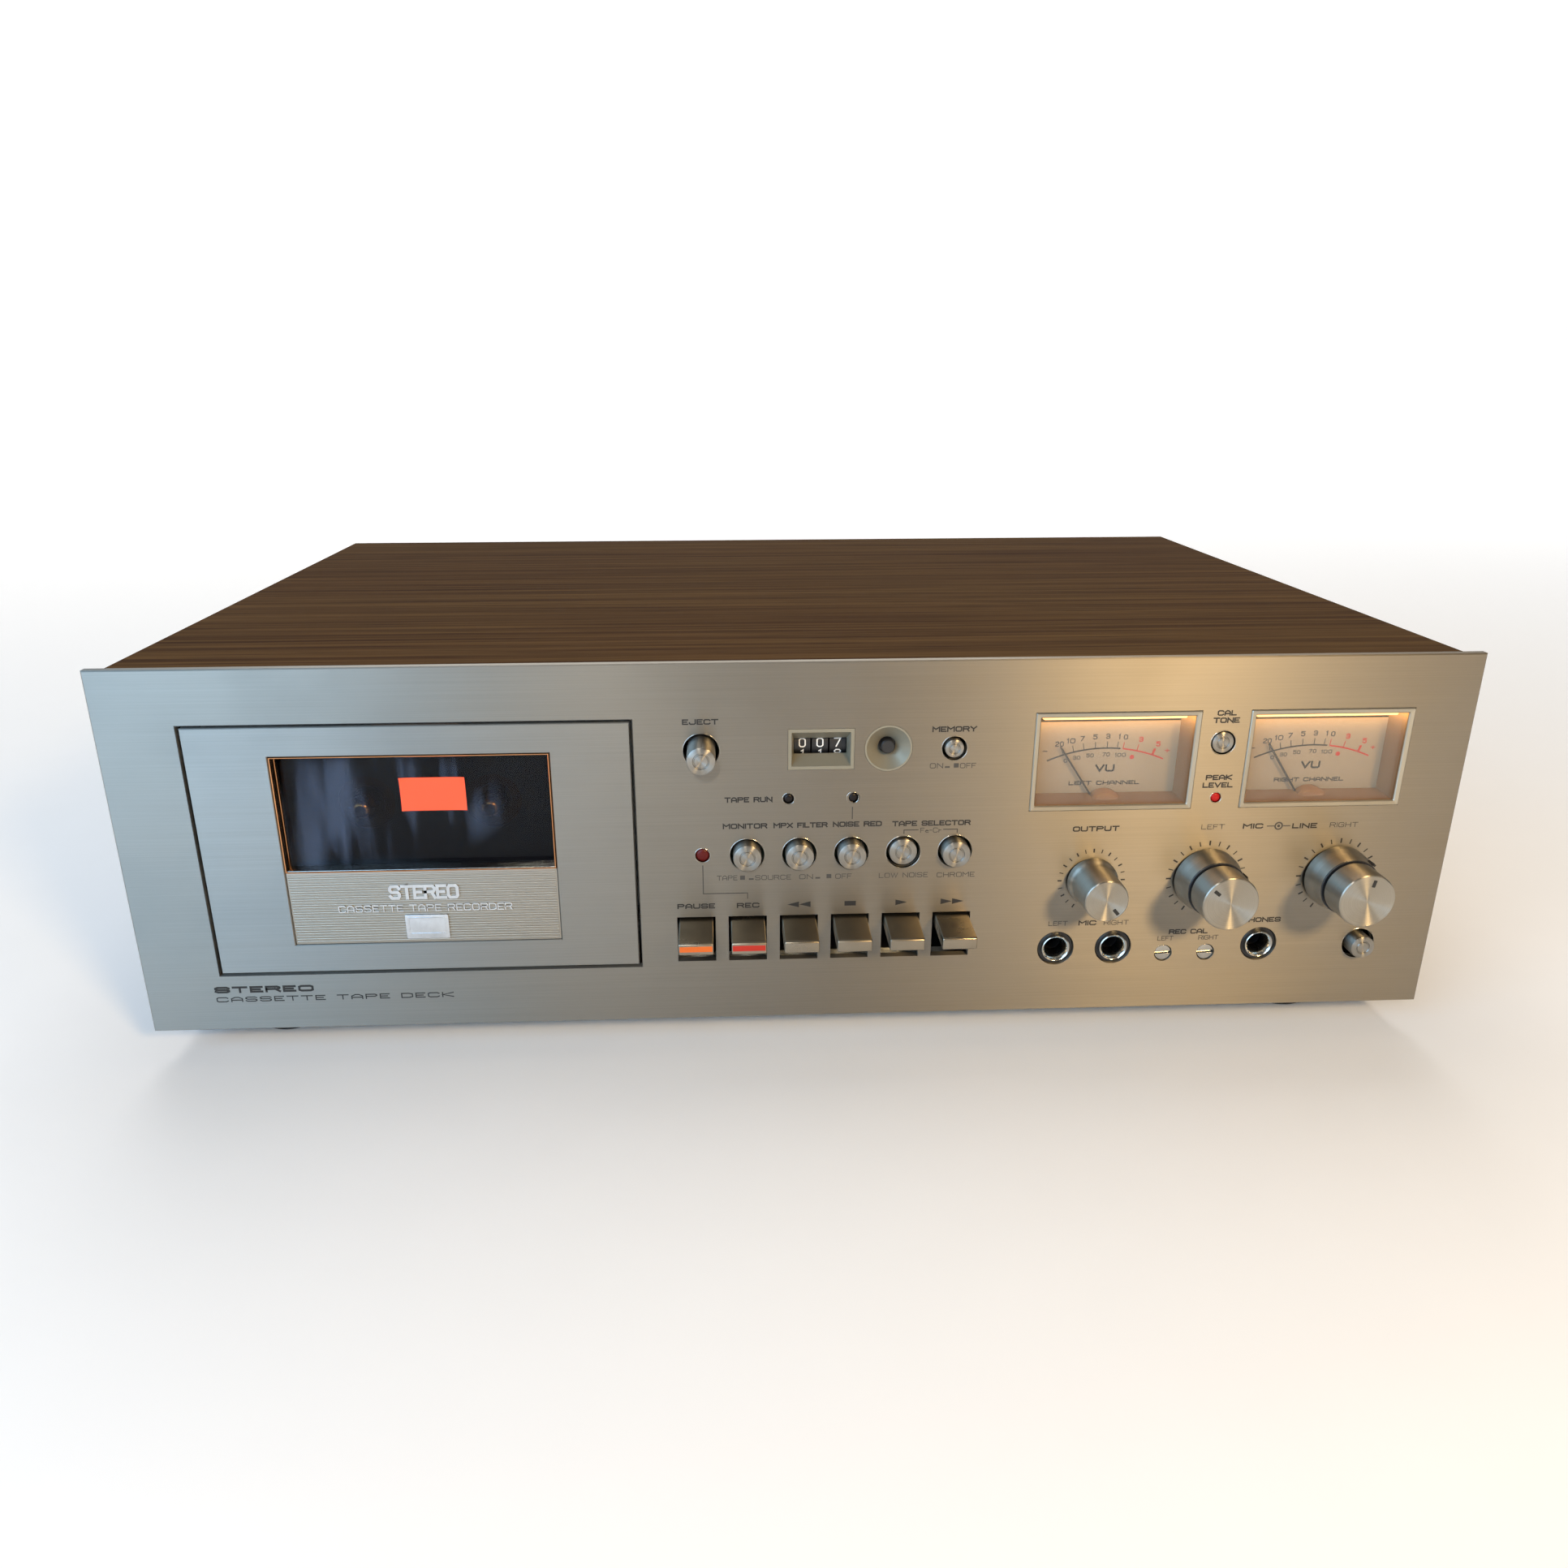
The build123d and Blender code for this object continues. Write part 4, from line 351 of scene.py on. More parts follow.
@dataclass(frozen=True)
class WoodVinyl(Finish):
    """Walnut-print vinyl; the grain runs along the axis with the fewest cycles per metre."""

    grain: tuple[float, float, float] = (6.0, 420.0, 420.0)
    pale: Colour = (0.100, 0.048, 0.019)
    warm: Colour = (0.125, 0.076, 0.027)

    def weave(self, graph: NodeGraph, shader: Node) -> None:
        """Long figure, fine pores and a slow drift from red-brown to golden brown.

        Args:
            graph: The material's graph.
            shader: Its main shader.
        """
        figure = self.noise(graph, self.grain, 7)
        pores = self.noise(graph, tuple(value * 5 for value in self.grain), 3)
        slow = self.noise(graph, (4, 4, 4), 2)
        band = graph.add("ShaderNodeMix", data_type="RGBA", i0=graph.ramp(figure, 0.28, 0.70))
        band.inputs[6].default_value = (*self.colour, 1)
        graph.tree.links.new(graph.mix(slow, self.pale, self.warm), band.inputs[7])
        dark = graph.add("ShaderNodeMix", data_type="RGBA", blend_type="MULTIPLY", i0=0.75)
        graph.tree.links.new(band.outputs[2], dark.inputs[6])
        pore = graph.add("ShaderNodeMix", data_type="RGBA", i0=graph.ramp(pores, 0.3, 0.48))
        pore.inputs[6].default_value = (0.25, 0.2, 0.17, 1)
        pore.inputs[7].default_value = (1, 1, 1, 1)
        graph.tree.links.new(pore.outputs[2], dark.inputs[7])
        graph.tree.links.new(dark.outputs[2], shader.inputs["Base Color"])
        self.roughen(graph, shader, pores, 0.08)
        self.relief(graph, shader, pores, 0.00012)


@dataclass(frozen=True)
class ClearPart(Finish):
    """Glass or clear plastic that lets part of what is behind it through."""

    cover: float = 0.2

    def weave(self, graph: NodeGraph, shader: Node) -> None:
        """Faint dust and wiping marks.

        Args:
            graph: The material's graph.
            shader: Its main shader.
        """
        wipe = self.noise(graph, (60, 60, 18), 5)
        graph.tree.links.new(graph.mix(graph.ramp(wipe, 0.45, 0.75), *self.shades()), shader.inputs["Base Color"])
        self.roughen(graph, shader, wipe, min(0.03, self.roughness))
        shader.inputs["Alpha"].default_value = self.cover


@dataclass(frozen=True)
class SmokedGlass(ClearPart):
    """Near-black glass with pale bluish streaks that run aslant: a painted reflection."""

    smear: Colour = (0.06, 0.085, 0.14)

    def weave(self, graph: NodeGraph, shader: Node) -> None:
        """Slanting streaks of painted reflection, strongest in broad patches.

        Args:
            graph: The material's graph.
            shader: Its main shader.
        """
        super().weave(graph, shader)
        place = graph.add("ShaderNodeTexCoord").outputs["Object"]
        slant = graph.first("ShaderNodeMapping", Vector=place, Rotation=(0, radians(-32), 0), Scale=(95, 40, 14))
        strokes = graph.first("ShaderNodeTexNoise", Vector=slant, Scale=1.0, Detail=3.0)
        patch = graph.ramp(self.noise(graph, (22, 22, 16), 1), 0.44, 0.56)
        amount = graph.math("MULTIPLY", graph.ramp(strokes, 0.51, 0.63), patch)
        # Painted reflection: the bluish streaks are mixed into the glass's base colour.
        graph.tree.links.new(graph.mix(amount, self.colour, self.smear), shader.inputs["Base Color"])


@dataclass(frozen=True)
class Glowing(Finish):
    """A glowing surface, strongest at the top of a stretch of heights in metres; on a lamp it is the lamp's own
    light, on a part that is no lamp it is painted lamplight.
    """

    glow: Colour = (1.0, 0.5, 0.15)
    strength: float = 1.0
    low: float = 0.0
    high: float = 1.0

    def weave(self, graph: NodeGraph, shader: Node) -> None:
        """Emitted light that fades from the lamp at the top down the surface; on a part that is no lamp this is
        painted lamplight.

        Args:
            graph: The material's graph.
            shader: Its main shader.
        """
        place = graph.add("ShaderNodeTexCoord").outputs["Object"]
        height = graph.add("ShaderNodeSeparateXYZ", Vector=place).outputs[2]
        rise = graph.first("ShaderNodeMapRange", Value=height, From_Min=self.low, From_Max=self.high)
        near = graph.math("POWER", rise, 7.0)
        speck = self.noise(graph, (700,) * 3, 3)
        graph.tree.links.new(graph.mix(speck, *self.shades()), shader.inputs["Base Color"])
        # On parts that are no lamp (meter card, well, hood) this emission is painted lamplight.
        light = graph.mix(near, self.colour, self.glow)
        graph.tree.links.new(light, shader.inputs["Emission Color"])
        power = graph.math("MULTIPLY", graph.math("ADD", graph.math("MULTIPLY", near, 2.6), 0.26), self.strength)
        graph.tree.links.new(power, shader.inputs["Emission Strength"])


@dataclass(frozen=True)
class LitPaper(Finish):
    """Background paper that glows with painted light, more the farther it lies from the deck, up to where it rises
    past the deck.
    """

    near: float = 0.3
    far: float = 2.0
    light: float = 0.7

    def weave(self, graph: NodeGraph, shader: Node) -> None:
        """Painted light that grows from the deck out to the paper's rise and edges.

        Args:
            graph: The material's graph.
            shader: Its main shader.
        """
        super().weave(graph, shader)
        place = graph.add("ShaderNodeTexCoord").outputs["Object"]
        away = graph.add("ShaderNodeVectorMath", operation="LENGTH", i0=place).outputs["Value"]
        # Painted light: emission grows with distance from the frame's origin under the deck.
        glow = graph.math("MULTIPLY", graph.ramp(away, self.near, self.far), self.light)
        graph.tree.links.new(glow, shader.inputs["Emission Strength"])
        shader.inputs["Emission Color"].default_value = (1, 1, 1, 1)


PANEL_METAL = BrushedMetal("panel_aluminium", (0.285, 0.265, 0.23), 0.43, slot="brushed_aluminium", stretch=0.88,
                           variation=0.06)
DOOR_METAL = replace(PANEL_METAL, name="door_aluminium", colour=(0.305, 0.29, 0.26))
WALNUT_TOP = WoodVinyl("walnut_across", (0.038, 0.0165, 0.007), 0.55, slot="walnut_vinyl", specular=0.004)
WALNUT_SIDE = replace(WALNUT_TOP, name="walnut_along", grain=(420.0, 6.0, 420.0))
ZINC = BrushedMetal("zinc_sheet", (0.56, 0.57, 0.56), 0.38, grain=(160.0, 160.0, 160.0), stretch=0.0,
                    slot="zinc_steel")
BLACK_STEEL = Finish("black_paint", (0.018, 0.018, 0.02), 0.48, slot="black_steel", bump=0.5)
FOOT_RUBBER = Finish("moulded_foot_rubber", (0.02, 0.02, 0.02), 0.72, slot="foot_rubber", bump=0.3)
NICKEL = TurnedMetal("bright_nickel", (0.50, 0.49, 0.45), 0.18, slot="nickel", stretch=0.3)
PLAIN_NICKEL = BrushedMetal("plain_nickel", (0.44, 0.43, 0.40), 0.24, grain=(500.0, 500.0, 500.0), stretch=0.0,
                            slot="nickel")
TURNED = TurnedMetal("turned_aluminium", (0.37, 0.345, 0.295), 0.33, slot="silver_metal", stretch=0.96,
                     variation=0.08)
BUTTON_METAL = replace(TURNED, name="button_aluminium", colour=(0.31, 0.295, 0.265))
CHAMPAGNE = Finish("champagne_moulding", (0.24, 0.22, 0.165), 0.36, metallic=0.4, slot="champagne_plastic",
                   bump=0.06)
METER_RIM = replace(CHAMPAGNE, name="meter_rim_metal", colour=(0.42, 0.385, 0.31), metallic=0.85, roughness=0.34)
RIBBED = Finish("ribbed_plate_metal", (0.36, 0.33, 0.28), 0.36, metallic=0.75, slot="ribbed_champagne",
                variation=0.06)
SMOKED = SmokedGlass("dark_window_glass", (0.002, 0.0025, 0.0045), 0.035, slot="smoked_glass", cover=0.5,
                     specular=0.22)
LENS = ClearPart("meter_lens", (0.8, 0.78, 0.72), 0.05, slot="lamp_glass", cover=0.05)
BLACK = Finish("black_moulding", (0.012, 0.012, 0.013), 0.35, slot="black_plastic", bump=0.08)
BRONZE = BrushedMetal("bronze_anodised", (0.29, 0.255, 0.20), 0.30, grain=(60.0, 60.0, 60.0), stretch=0.2,
                      slot="bronze_metal", variation=0.16)
COPPER_TRIM = replace(BRONZE, name="copper_trim", colour=(0.62, 0.29, 0.13), roughness=0.2)
REEL_BRONZE = replace(BRONZE, name="reel_bronze", colour=(0.06, 0.035, 0.018), roughness=0.35)
ORANGE_INLAY = Finish("orange_inlay", (0.62, 0.12, 0.015), 0.45, bump=0.06, specular=0.3)
RED_INLAY = Finish("red_inlay", (0.42, 0.022, 0.01), 0.45, bump=0.06, specular=0.3)
INK = Finish("printed_ink", (0.012, 0.011, 0.01), 0.55, bump=0.05)
FINE_INK = Finish("fine_printed_ink", (0.045, 0.041, 0.036), 0.55, bump=0.05)
CARD_INK = replace(FINE_INK, name="card_grey_ink", colour=(0.055, 0.045, 0.035))
WHITE_INK = Finish("white_ink", (0.72, 0.71, 0.68), 0.55, bump=0.05)
RAISED_SILVER = BrushedMetal("raised_letter_metal", (0.66, 0.69, 0.72), 0.2, grain=(300.0,) * 3, stretch=0.0)
STICKER = Finish("fluorescent_paper", (0.95, 0.09, 0.025), 0.6, bump=0.1, variation=0.05)
LAMP_RED = Finish("red_lens", (0.085, 0.004, 0.003), 0.32, slot="lamp_red", bump=0.03, specular=0.25)
LAMP_PEAK = replace(LAMP_RED, name="bright_red_lens", colour=(0.42, 0.01, 0.008))
LAMP_DARK = replace(LAMP_RED, name="unlit_lens", colour=(0.006, 0.004, 0.004))
NEEDLE_BLACK = Finish("needle_paint", (0.015, 0.013, 0.012), 0.5, slot="needle_black")
CIRCUIT = Finish("solder_mask", (0.03, 0.10, 0.045), 0.35, slot="circuit_green", variation=0.3)
CORE_STEEL = Finish("varnished_core", (0.16, 0.13, 0.10), 0.4, metallic=0.5, slot="transformer_steel",
                    variation=0.25)
COPPER = BrushedMetal("enamelled_copper", (0.45, 0.16, 0.06), 0.3, grain=(1500.0, 40.0, 1500.0))
CAPSTAN_STEEL = TurnedMetal("ground_steel", (0.58, 0.58, 0.58), 0.25, slot="capstan_steel")
ROLLER_RUBBER = Finish("ground_rubber", (0.02, 0.02, 0.02), 0.6, slot="roller_rubber", bump=0.1)
BELT_RUBBER = replace(ROLLER_RUBBER, name="belt_rubber")
WHEEL_BLACK = Finish("figure_wheel_black", (0.01, 0.01, 0.011), 0.42, slot="wheel_black")
SPINDLE_GOLD = TurnedMetal("spindle_brass", (0.95, 0.50, 0.17), 0.25, slot="bronze_metal", stretch=0.2)
FLOOR = LitPaper("pale_paper", (0.86, 0.86, 0.86), 0.8, bump=0.02, variation=0.01)


# ================================================================ forms


@dataclass
class Form:
    """Points and faces of a shape, in millimetres until it is placed."""

    points: list[Vector] = field(default_factory=list)
    faces: list[tuple[int, ...]] = field(default_factory=list)
    turning: list[list[tuple[float, float]]] = field(default_factory=list)

    def add(self, other: "Form") -> "Form":
        """Takes in another form's points and faces, and returns this form.

        Args:
            other: The form to take in.

        Returns:
            This form.
        """
        shift = len(self.points)
        self.points += other.points
        self.faces += [tuple(index + shift for index in face) for face in other.faces]
        self.turning += other.turning or [[(0.0, 0.0)] * len(face) for face in other.faces]
        return self

    def placed(self, x: float, height: float, out: float = 0.0, facing: Facing = Facing.FRONT) -> "Form":
        """The form in metres at a place of the deck.

        Args:
            x: Place of its origin to the right.
            height: Place of its origin above the panel's lower edge.
            out: Place of its origin in front of the panel.
            facing: Which way the form's out points.

        Returns:
            A new form in the frame.
        """
        move = deck_place(x, height, out, facing)
        return Form([move @ point for point in self.points], self.faces, self.turning)

    def moved(self, matrix: Matrix) -> "Form":
        """The form turned or moved by a matrix, still in millimetres."""
        return Form([matrix @ point for point in self.points], self.faces, self.turning)


def joined(forms: list[Form]) -> Form:
    """All forms as one.

    Args:
        forms: What to join.

    Returns:
        A new form.
    """
    whole = Form()
    for form in forms:
        whole.add(form)
    return whole


def rectangle(width: float, height: float, corner: float = 0.0, steps: int = 4) -> Outline:
    """A centred rectangle, its corners rounded.

    Args:
        width: From side to side.
        height: From bottom to top.
        corner: Radius of the corners.
        steps: Divisions of each corner.

    Returns:
        The outline, turning left.
    """
    if corner <= 0:
        return [(-width / 2, -height / 2), (width / 2, -height / 2), (width / 2, height / 2),
                (-width / 2, height / 2)]
    outline = []
    for side_x, side_y, start in ((1, 1, 0), (-1, 1, 90), (-1, -1, 180), (1, -1, 270)):
        for step in range(steps + 1):
            angle = radians(start + 90 * step / steps)
            outline.append((side_x * (width / 2 - corner) + corner * cos(angle),
                            side_y * (height / 2 - corner) + corner * sin(angle)))
    return outline


def circle(radius: float, sides: int = 48) -> Outline:
    """A centred circle, turning left."""
    return [(radius * cos(2 * pi * side / sides), radius * sin(2 * pi * side / sides)) for side in range(sides)]


def inset(outline: Outline, amount: float) -> Outline:
    """An outline that turns left, moved inwards along its corners' bisectors.

    Args:
        outline: The outline.
        amount: How far inwards, or outwards if it is negative.

    Returns:
        The new outline, with as many points.
    """
    result = []
    for index, (x, y) in enumerate(outline):
        before, after = Vector(outline[index - 1]), Vector(outline[(index + 1) % len(outline)])
        here = Vector((x, y))
        arriving, leaving = (here - before).normalized(), (after - here).normalized()
        bisector = Vector((-(arriving.y + leaving.y), arriving.x + leaving.x))
        if bisector.length < 1e-9:
            bisector = Vector((-arriving.y, arriving.x))
        bisector.normalize()
        spread = max(0.3, bisector.dot(Vector((-arriving.y, arriving.x))))
        moved = here + bisector * amount / spread
        result.append((moved.x, moved.y))
    return result


def loft(sections: list[tuple[Outline, float]], ring: bool = False) -> Form:
    """A skin over outlines that have the same number of points.

    Args:
        sections: Outlines with their out distance.
        ring: Whether the last section joins the first, instead of both being capped.

    Returns:
        The closed form.
    """
    count = len(sections[0][0])
    form = Form([Vector((x, y, out)) for outline, out in sections for x, y in outline])
    rows = len(sections)
    for row in range(rows if ring else rows - 1):
        here, there = row * count, (row + 1) % rows * count
        for side in range(count):
            after = (side + 1) % count
            form.faces.append((here + side, here + after, there + after, there + side))
    if not ring:
        form.faces.append(tuple(reversed(range(count))))
        form.faces.append(tuple((rows - 1) * count + side for side in range(count)))
    form.turning = [[(0.0, 0.0)] * len(face) for face in form.faces]
    return form


def slab(outline: Outline, low: float, high: float, ease: float = 0.0, both: bool = False, steps: int = 4) -> Form:
    """A flat piece with rounded edges.

    Args:
        outline: Its shape, turning left.
        low: Out distance of its back.
        high: Out distance of its face.
        ease: Radius of its edges.
        both: Whether its back edges are rounded too.
        steps: Divisions of each rounding.

    Returns:
        The closed form.
    """
    sections = []
    if both and ease > 0:
        for step in range(steps):
            angle = pi / 2 * step / steps
            sections.append((inset(outline, ease * (1 - sin(angle))), low + ease * (1 - cos(angle))))
        sections.append((outline, low + ease))
    else:
        sections.append((outline, low))
    sections.append((outline, high - ease))
    for step in range(1, steps + 1 if ease > 0 else 1):
        angle = pi / 2 * step / steps
        sections.append((inset(outline, ease * (1 - cos(angle))), high - ease + ease * sin(angle)))
    return loft(sections)


def frame_ring(outer: Outline, inner: Outline, low: float, high: float, ease: float = 0.0,
               sink: float = 0.0) -> Form:
    """A flat ring between two outlines with as many points each.

    Args:
        outer: The outside, turning left.
        inner: The opening, turning left.
        low: Out distance of the back.
        high: Out distance of the face.
        ease: Bevel of both front edges.
        sink: How far the inner edge lies behind the outer one.

    Returns:
        The closed form.
    """
    sections = [(outer, low), (outer, high - ease), (inset(outer, ease), high)]
    sections += [(inset(inner, -ease), high - sink), (inner, high - sink - ease), (inner, low)]
    return loft(sections, ring=True)


def lathe(profile: Outline, sides: int = 72, hollow: bool = False) -> Form:
    """A turned form with a UV map round it and along its profile.

    Args:
        profile: Points of radius and out distance; both ends lie on the axis unless it is hollow.
        sides: Divisions round the axis.
        hollow: Whether the profile closes on itself round a bore.

    Returns:
        The closed form.
    """
    form = Form()
    rows, run = [], [0.0]
    for index, (radius, out) in enumerate(profile):
        if index:
            run.append(run[-1] + hypot(radius - profile[index - 1][0], out - profile[index - 1][1]))
        if radius < 1e-6:
            rows.append([len(form.points)] * sides)
            form.points.append(Vector((0, 0, out)))
            continue
        rows.append(list(range(len(form.points), len(form.points) + sides)))
        form.points += [Vector((radius * sin(2 * pi * s / sides), radius * cos(2 * pi * s / sides), out))
                        for s in range(sides)]
    last = len(profile) if hollow else len(profile) - 1
    for row in range(last):
        here, there = rows[row], rows[(row + 1) % len(rows)]
        low, high = run[row], run[row] + 1.0 if row + 1 == len(rows) else run[row + 1]
        for s in range(sides):
            t = (s + 1) % sides
            corners = [(here[s], s / sides, low), (here[t], (s + 1) / sides, low),
                       (there[t], (s + 1) / sides, high), (there[s], s / sides, high)]
            kept = [corner for place, corner in enumerate(corners)
                    if corner[0] not in [c[0] for c in corners[:place]]]
            if len(kept) >= 3:
                form.faces.append(tuple(corner[0] for corner in kept))
                form.turning.append([(corner[1], corner[2]) for corner in kept])
    return form


def ribbon(path: Outline, width: float, low: float = -0.02, high: float = 0.03) -> Form:
    """A thin flat line along a path.

    Args:
        path: Points of its middle.
        width: From edge to edge.
        low: Out distance of its back.
        high: Out distance of its face.

    Returns:
        The closed form.
    """
    left, right = [], []
    for index, point in enumerate(path):
        here = Vector(point)
        before = Vector(path[max(0, index - 1)])
        after = Vector(path[min(len(path) - 1, index + 1)])
        arriving = (here - before).normalized() if index else (after - here).normalized()
        leaving = (after - here).normalized() if index < len(path) - 1 else arriving
        along = (arriving + leaving).normalized()
        side = Vector((-along.y, along.x))
        reach = width / 2 / max(0.4, side.dot(Vector((-arriving.y, arriving.x))))
        left.append(here + side * reach)
        right.append(here - side * reach)
    form = Form([Vector((spot.x, spot.y, out)) for a, b in zip(left, right)
                 for spot, out in ((a, low), (b, low), (b, high), (a, high))])
    for index in range(len(path) - 1):
        here = 4 * index
        form.faces += [(here + s, here + (s + 1) % 4, here + 4 + (s + 1) % 4, here + 4 + s) for s in range(4)]
    form.faces += [(3, 2, 1, 0), tuple(len(form.points) - 4 + s for s in range(4))]
    form.turning = [[(0.0, 0.0)] * 4 for _ in form.faces]
    return form


class Weight(Enum):
    """Stroke width of lettering as a share of its capital height."""

    LIGHT = 0.13
    PLAIN = 0.195
    BOLD = 0.235
    HEAVY = 0.30


GLYPHS = {
    "A": (6, "00 04 26 46 64 60|02 62"), "B": (6, "00 06 56 65 64 53 62 61 50 00|03 53"),
    "C": (6, "65 56 16 05 01 10 50 61"), "D": (6, "00 06 46 65 61 40 00"), "E": (5, "50 00 06 56|03 43"),
    "F": (5, "00 06 56|03 43"), "G": (6, "65 56 16 05 01 10 50 61 63 33"), "H": (6, "00 06|60 66|03 63"),
    "I": (0, "00 06"), "J": (6, "66 61 50 10 01 02"), "K": (6, "00 06|66 03 60"), "L": (5, "06 00 50"),
    "M": (7, "00 06 33 76 70"), "N": (6, "00 06 60 66"), "O": (6, "10 01 05 16 56 65 61 50 10"),
    "P": (6, "00 06 56 65 64 53 03"), "Q": (6, "10 01 05 16 56 65 61 50 10|42 60"),
    "R": (6, "00 06 56 65 64 53 03|43 60"), "S": (6, "01 10 50 61 62 53 13 04 05 16 56 65"),
    "T": (6, "06 66|36 30"), "U": (6, "06 01 10 50 61 66"), "V": (6, "06 30 66"), "W": (8, "06 20 46 60 86"),
    "X": (6, "00 66|06 60"), "Y": (6, "06 33 66|33 30"), "Z": (6, "06 66 00 60"),
    "0": (4, "10 01 05 16 36 45 41 30 10"), "1": (1, "05 16 10"), "2": (4, "05 16 36 45 44 01 00 40"),
    "3": (4, "05 16 36 45 44 33 42 41 30 10 01|13 33"), "4": (4, "30 36 02 42"),
    "5": (4, "46 06 04 34 43 41 30 10 01"), "6": (4, "45 36 16 05 01 10 30 41 43 34 04"), "7": (4, "06 46 10"),
    "8": (4, "10 01 02 13 33 42 41 30 10|13 04 05 16 36 45 44 33"), "9": (4, "01 10 30 41 45 36 16 05 04 13 43"),
    "-": (3, "03 33"), "+": (4, "03 43|25 21"), "/": (4, "00 46"), "e": (4, "02 42 33 13 02 01 10 40"),
    "r": (3, "00 04|02 13 33"), " ": (3, ""),
}


def lettering(text: str, x: float, height: float, width: float, cap: float, weight: Weight = Weight.PLAIN,
              thickness: float = 0.05, division: float = 0.0) -> Form:
    """A word of even square-shouldered strokes, fitted to a width and a capital height.

    Args:
        text: The word.
        x: Its middle.
        height: Its middle above the panel's lower edge.
        width: From its first to its last edge.
        cap: Height of a capital.
        weight: How heavy its strokes are.
        thickness: Of the ink or the raised letter.
        division: Longest stretch of a stroke, so that the word can be bent, or 0.

    Returns:
        The word in millimetres, centred on its place, from out 0 forwards.
    """
    gap, stroke = 2.0, weight.value * cap
    units = sum(GLYPHS[letter][0] for letter in text) + gap * (len(text) - 1)
    across, tall = (width - stroke) / max(units, 1e-6), (cap - stroke) / 6
    left, word = x - (width - stroke) / 2 if units else x, Form()
    for letter in text:
        advance, strokes = GLYPHS[letter]
        for layer, line in enumerate(filter(None, strokes.split("|"))):
            path = [(left + int(spot[0]) * across, height - 3 * tall + int(spot[1]) * tall)
                    for spot in line.split()]
            word.add(stroke_line(divided(path, division) if division else path, stroke, thickness + 0.006 * layer))
        left += (advance + gap) * across
    return word


def divided(path: Outline, longest: float) -> Outline:
    """A path with points added so that no stretch is longer than a length.

    Args:
        path: The path.
        longest: That length.

    Returns:
        The divided path.
    """
    result = [path[0]]
    for (x, y), (u, v) in zip(path, path[1:]):
        steps = max(1, int(hypot(u - x, v - y) / longest + 0.999))
        result += [(x + (u - x) * step / steps, y + (v - y) * step / steps) for step in range(1, steps + 1)]
    return result


def stroke_line(path: Outline, width: float, thickness: float) -> Form:
    """One pen stroke with square ends; a path that comes back to its start is closed.

    Args:
        path: Its corners.
        width: From edge to edge.
        thickness: How far it stands out.

    Returns:
        The closed form.
    """
    if path[0] == path[-1]:
        loop = path[:-1]
        area = sum(a[0] * b[1] - b[0] * a[1] for a, b in zip(loop, loop[1:] + loop[:1]))
        loop = loop if area > 0 else loop[::-1]
        return frame_ring(inset(loop, -width / 2), inset(loop, width / 2), 0.0, thickness)
    first, second = Vector(path[0]), Vector(path[1])
    last, previous = Vector(path[-1]), Vector(path[-2])
    start = first + (first - second).normalized() * width / 2
    end = last + (last - previous).normalized() * width / 2
    return ribbon([tuple(start), *path[1:-1], tuple(end)], width, 0.0, thickness)


def make_piece(name: str, form: Form, finish: Finish, body: str = "cabinet", stands_for: tuple[str, ...] = (),
               smooth: float = 32.0) -> bpy.types.Object:
    """Makes a finished piece that rides on a body.

    Args:
        name: The piece's name.
        form: Its shape, in metres.
        finish: Its surface.
        body: The body that carries it.
        stands_for: Nodes that it replaces.
        smooth: Steepest edge, in degrees, that is shaded smooth.

    Returns:
        The object, at the origin.
    """
    mesh = bpy.data.meshes.new(name)
    mesh.from_pydata([tuple(point) for point in form.points], [], form.faces)
    if any(any(pair != (0.0, 0.0) for pair in corners) for corners in form.turning):
        layer = mesh.uv_layers.new(name="turning")
        flat = [value for corners in form.turning for pair in corners for value in pair]
        layer.data.foreach_set("uv", flat)
    work = bmesh.new()
    work.from_mesh(mesh)
    bmesh.ops.remove_doubles(work, verts=work.verts, dist=1e-7)
    bmesh.ops.recalc_face_normals(work, faces=work.faces)
    work.to_mesh(mesh)
    work.free()
    return dress_mesh(name, mesh, finish, body, stands_for, smooth)


def link(thing: bpy.types.Object) -> None:
    """Puts an object into the scene."""
    bpy.context.scene.collection.objects.link(thing)


def dress_mesh(name: str, mesh: bpy.types.Mesh, finish: Finish, body: str, stands_for: tuple[str, ...],
               smooth: float) -> bpy.types.Object:
    """Links a finished mesh as a piece.

    Args:
        name: The piece's name.
        mesh: Its mesh, in metres.
        finish: Its surface.
        body: The body that carries it.
        stands_for: Nodes that it replaces.
        smooth: Steepest edge, in degrees, that is shaded smooth.

    Returns:
        The object.
    """
    mesh.materials.clear()
    mesh.materials.append(finish.material())
    for face in mesh.polygons:
        face.use_smooth = True
    mesh.set_sharp_from_angle(angle=radians(smooth))
    piece = bpy.data.objects.new(name, mesh)
    link(piece)
    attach(piece, body)
    if stands_for:
        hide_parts(*stands_for)
    LOG.info("%s: %d faces on %s", name, len(mesh.polygons), body)
    return piece


def dress(finish: Finish, *nodes: str) -> None:
    """Gives frame nodes a finish.

    Args:
        finish: The surface.
        nodes: Names of the nodes.
    """
    for name in nodes:
        node = frame["nodes"][name]
        if not node.material_slots:
            node.data.materials.append(finish.material())
        for place in node.material_slots:
            place.material = finish.material()
        LOG.info("%s: dressed in %s", name, finish.name)


# ================================================================ geometry-node tools


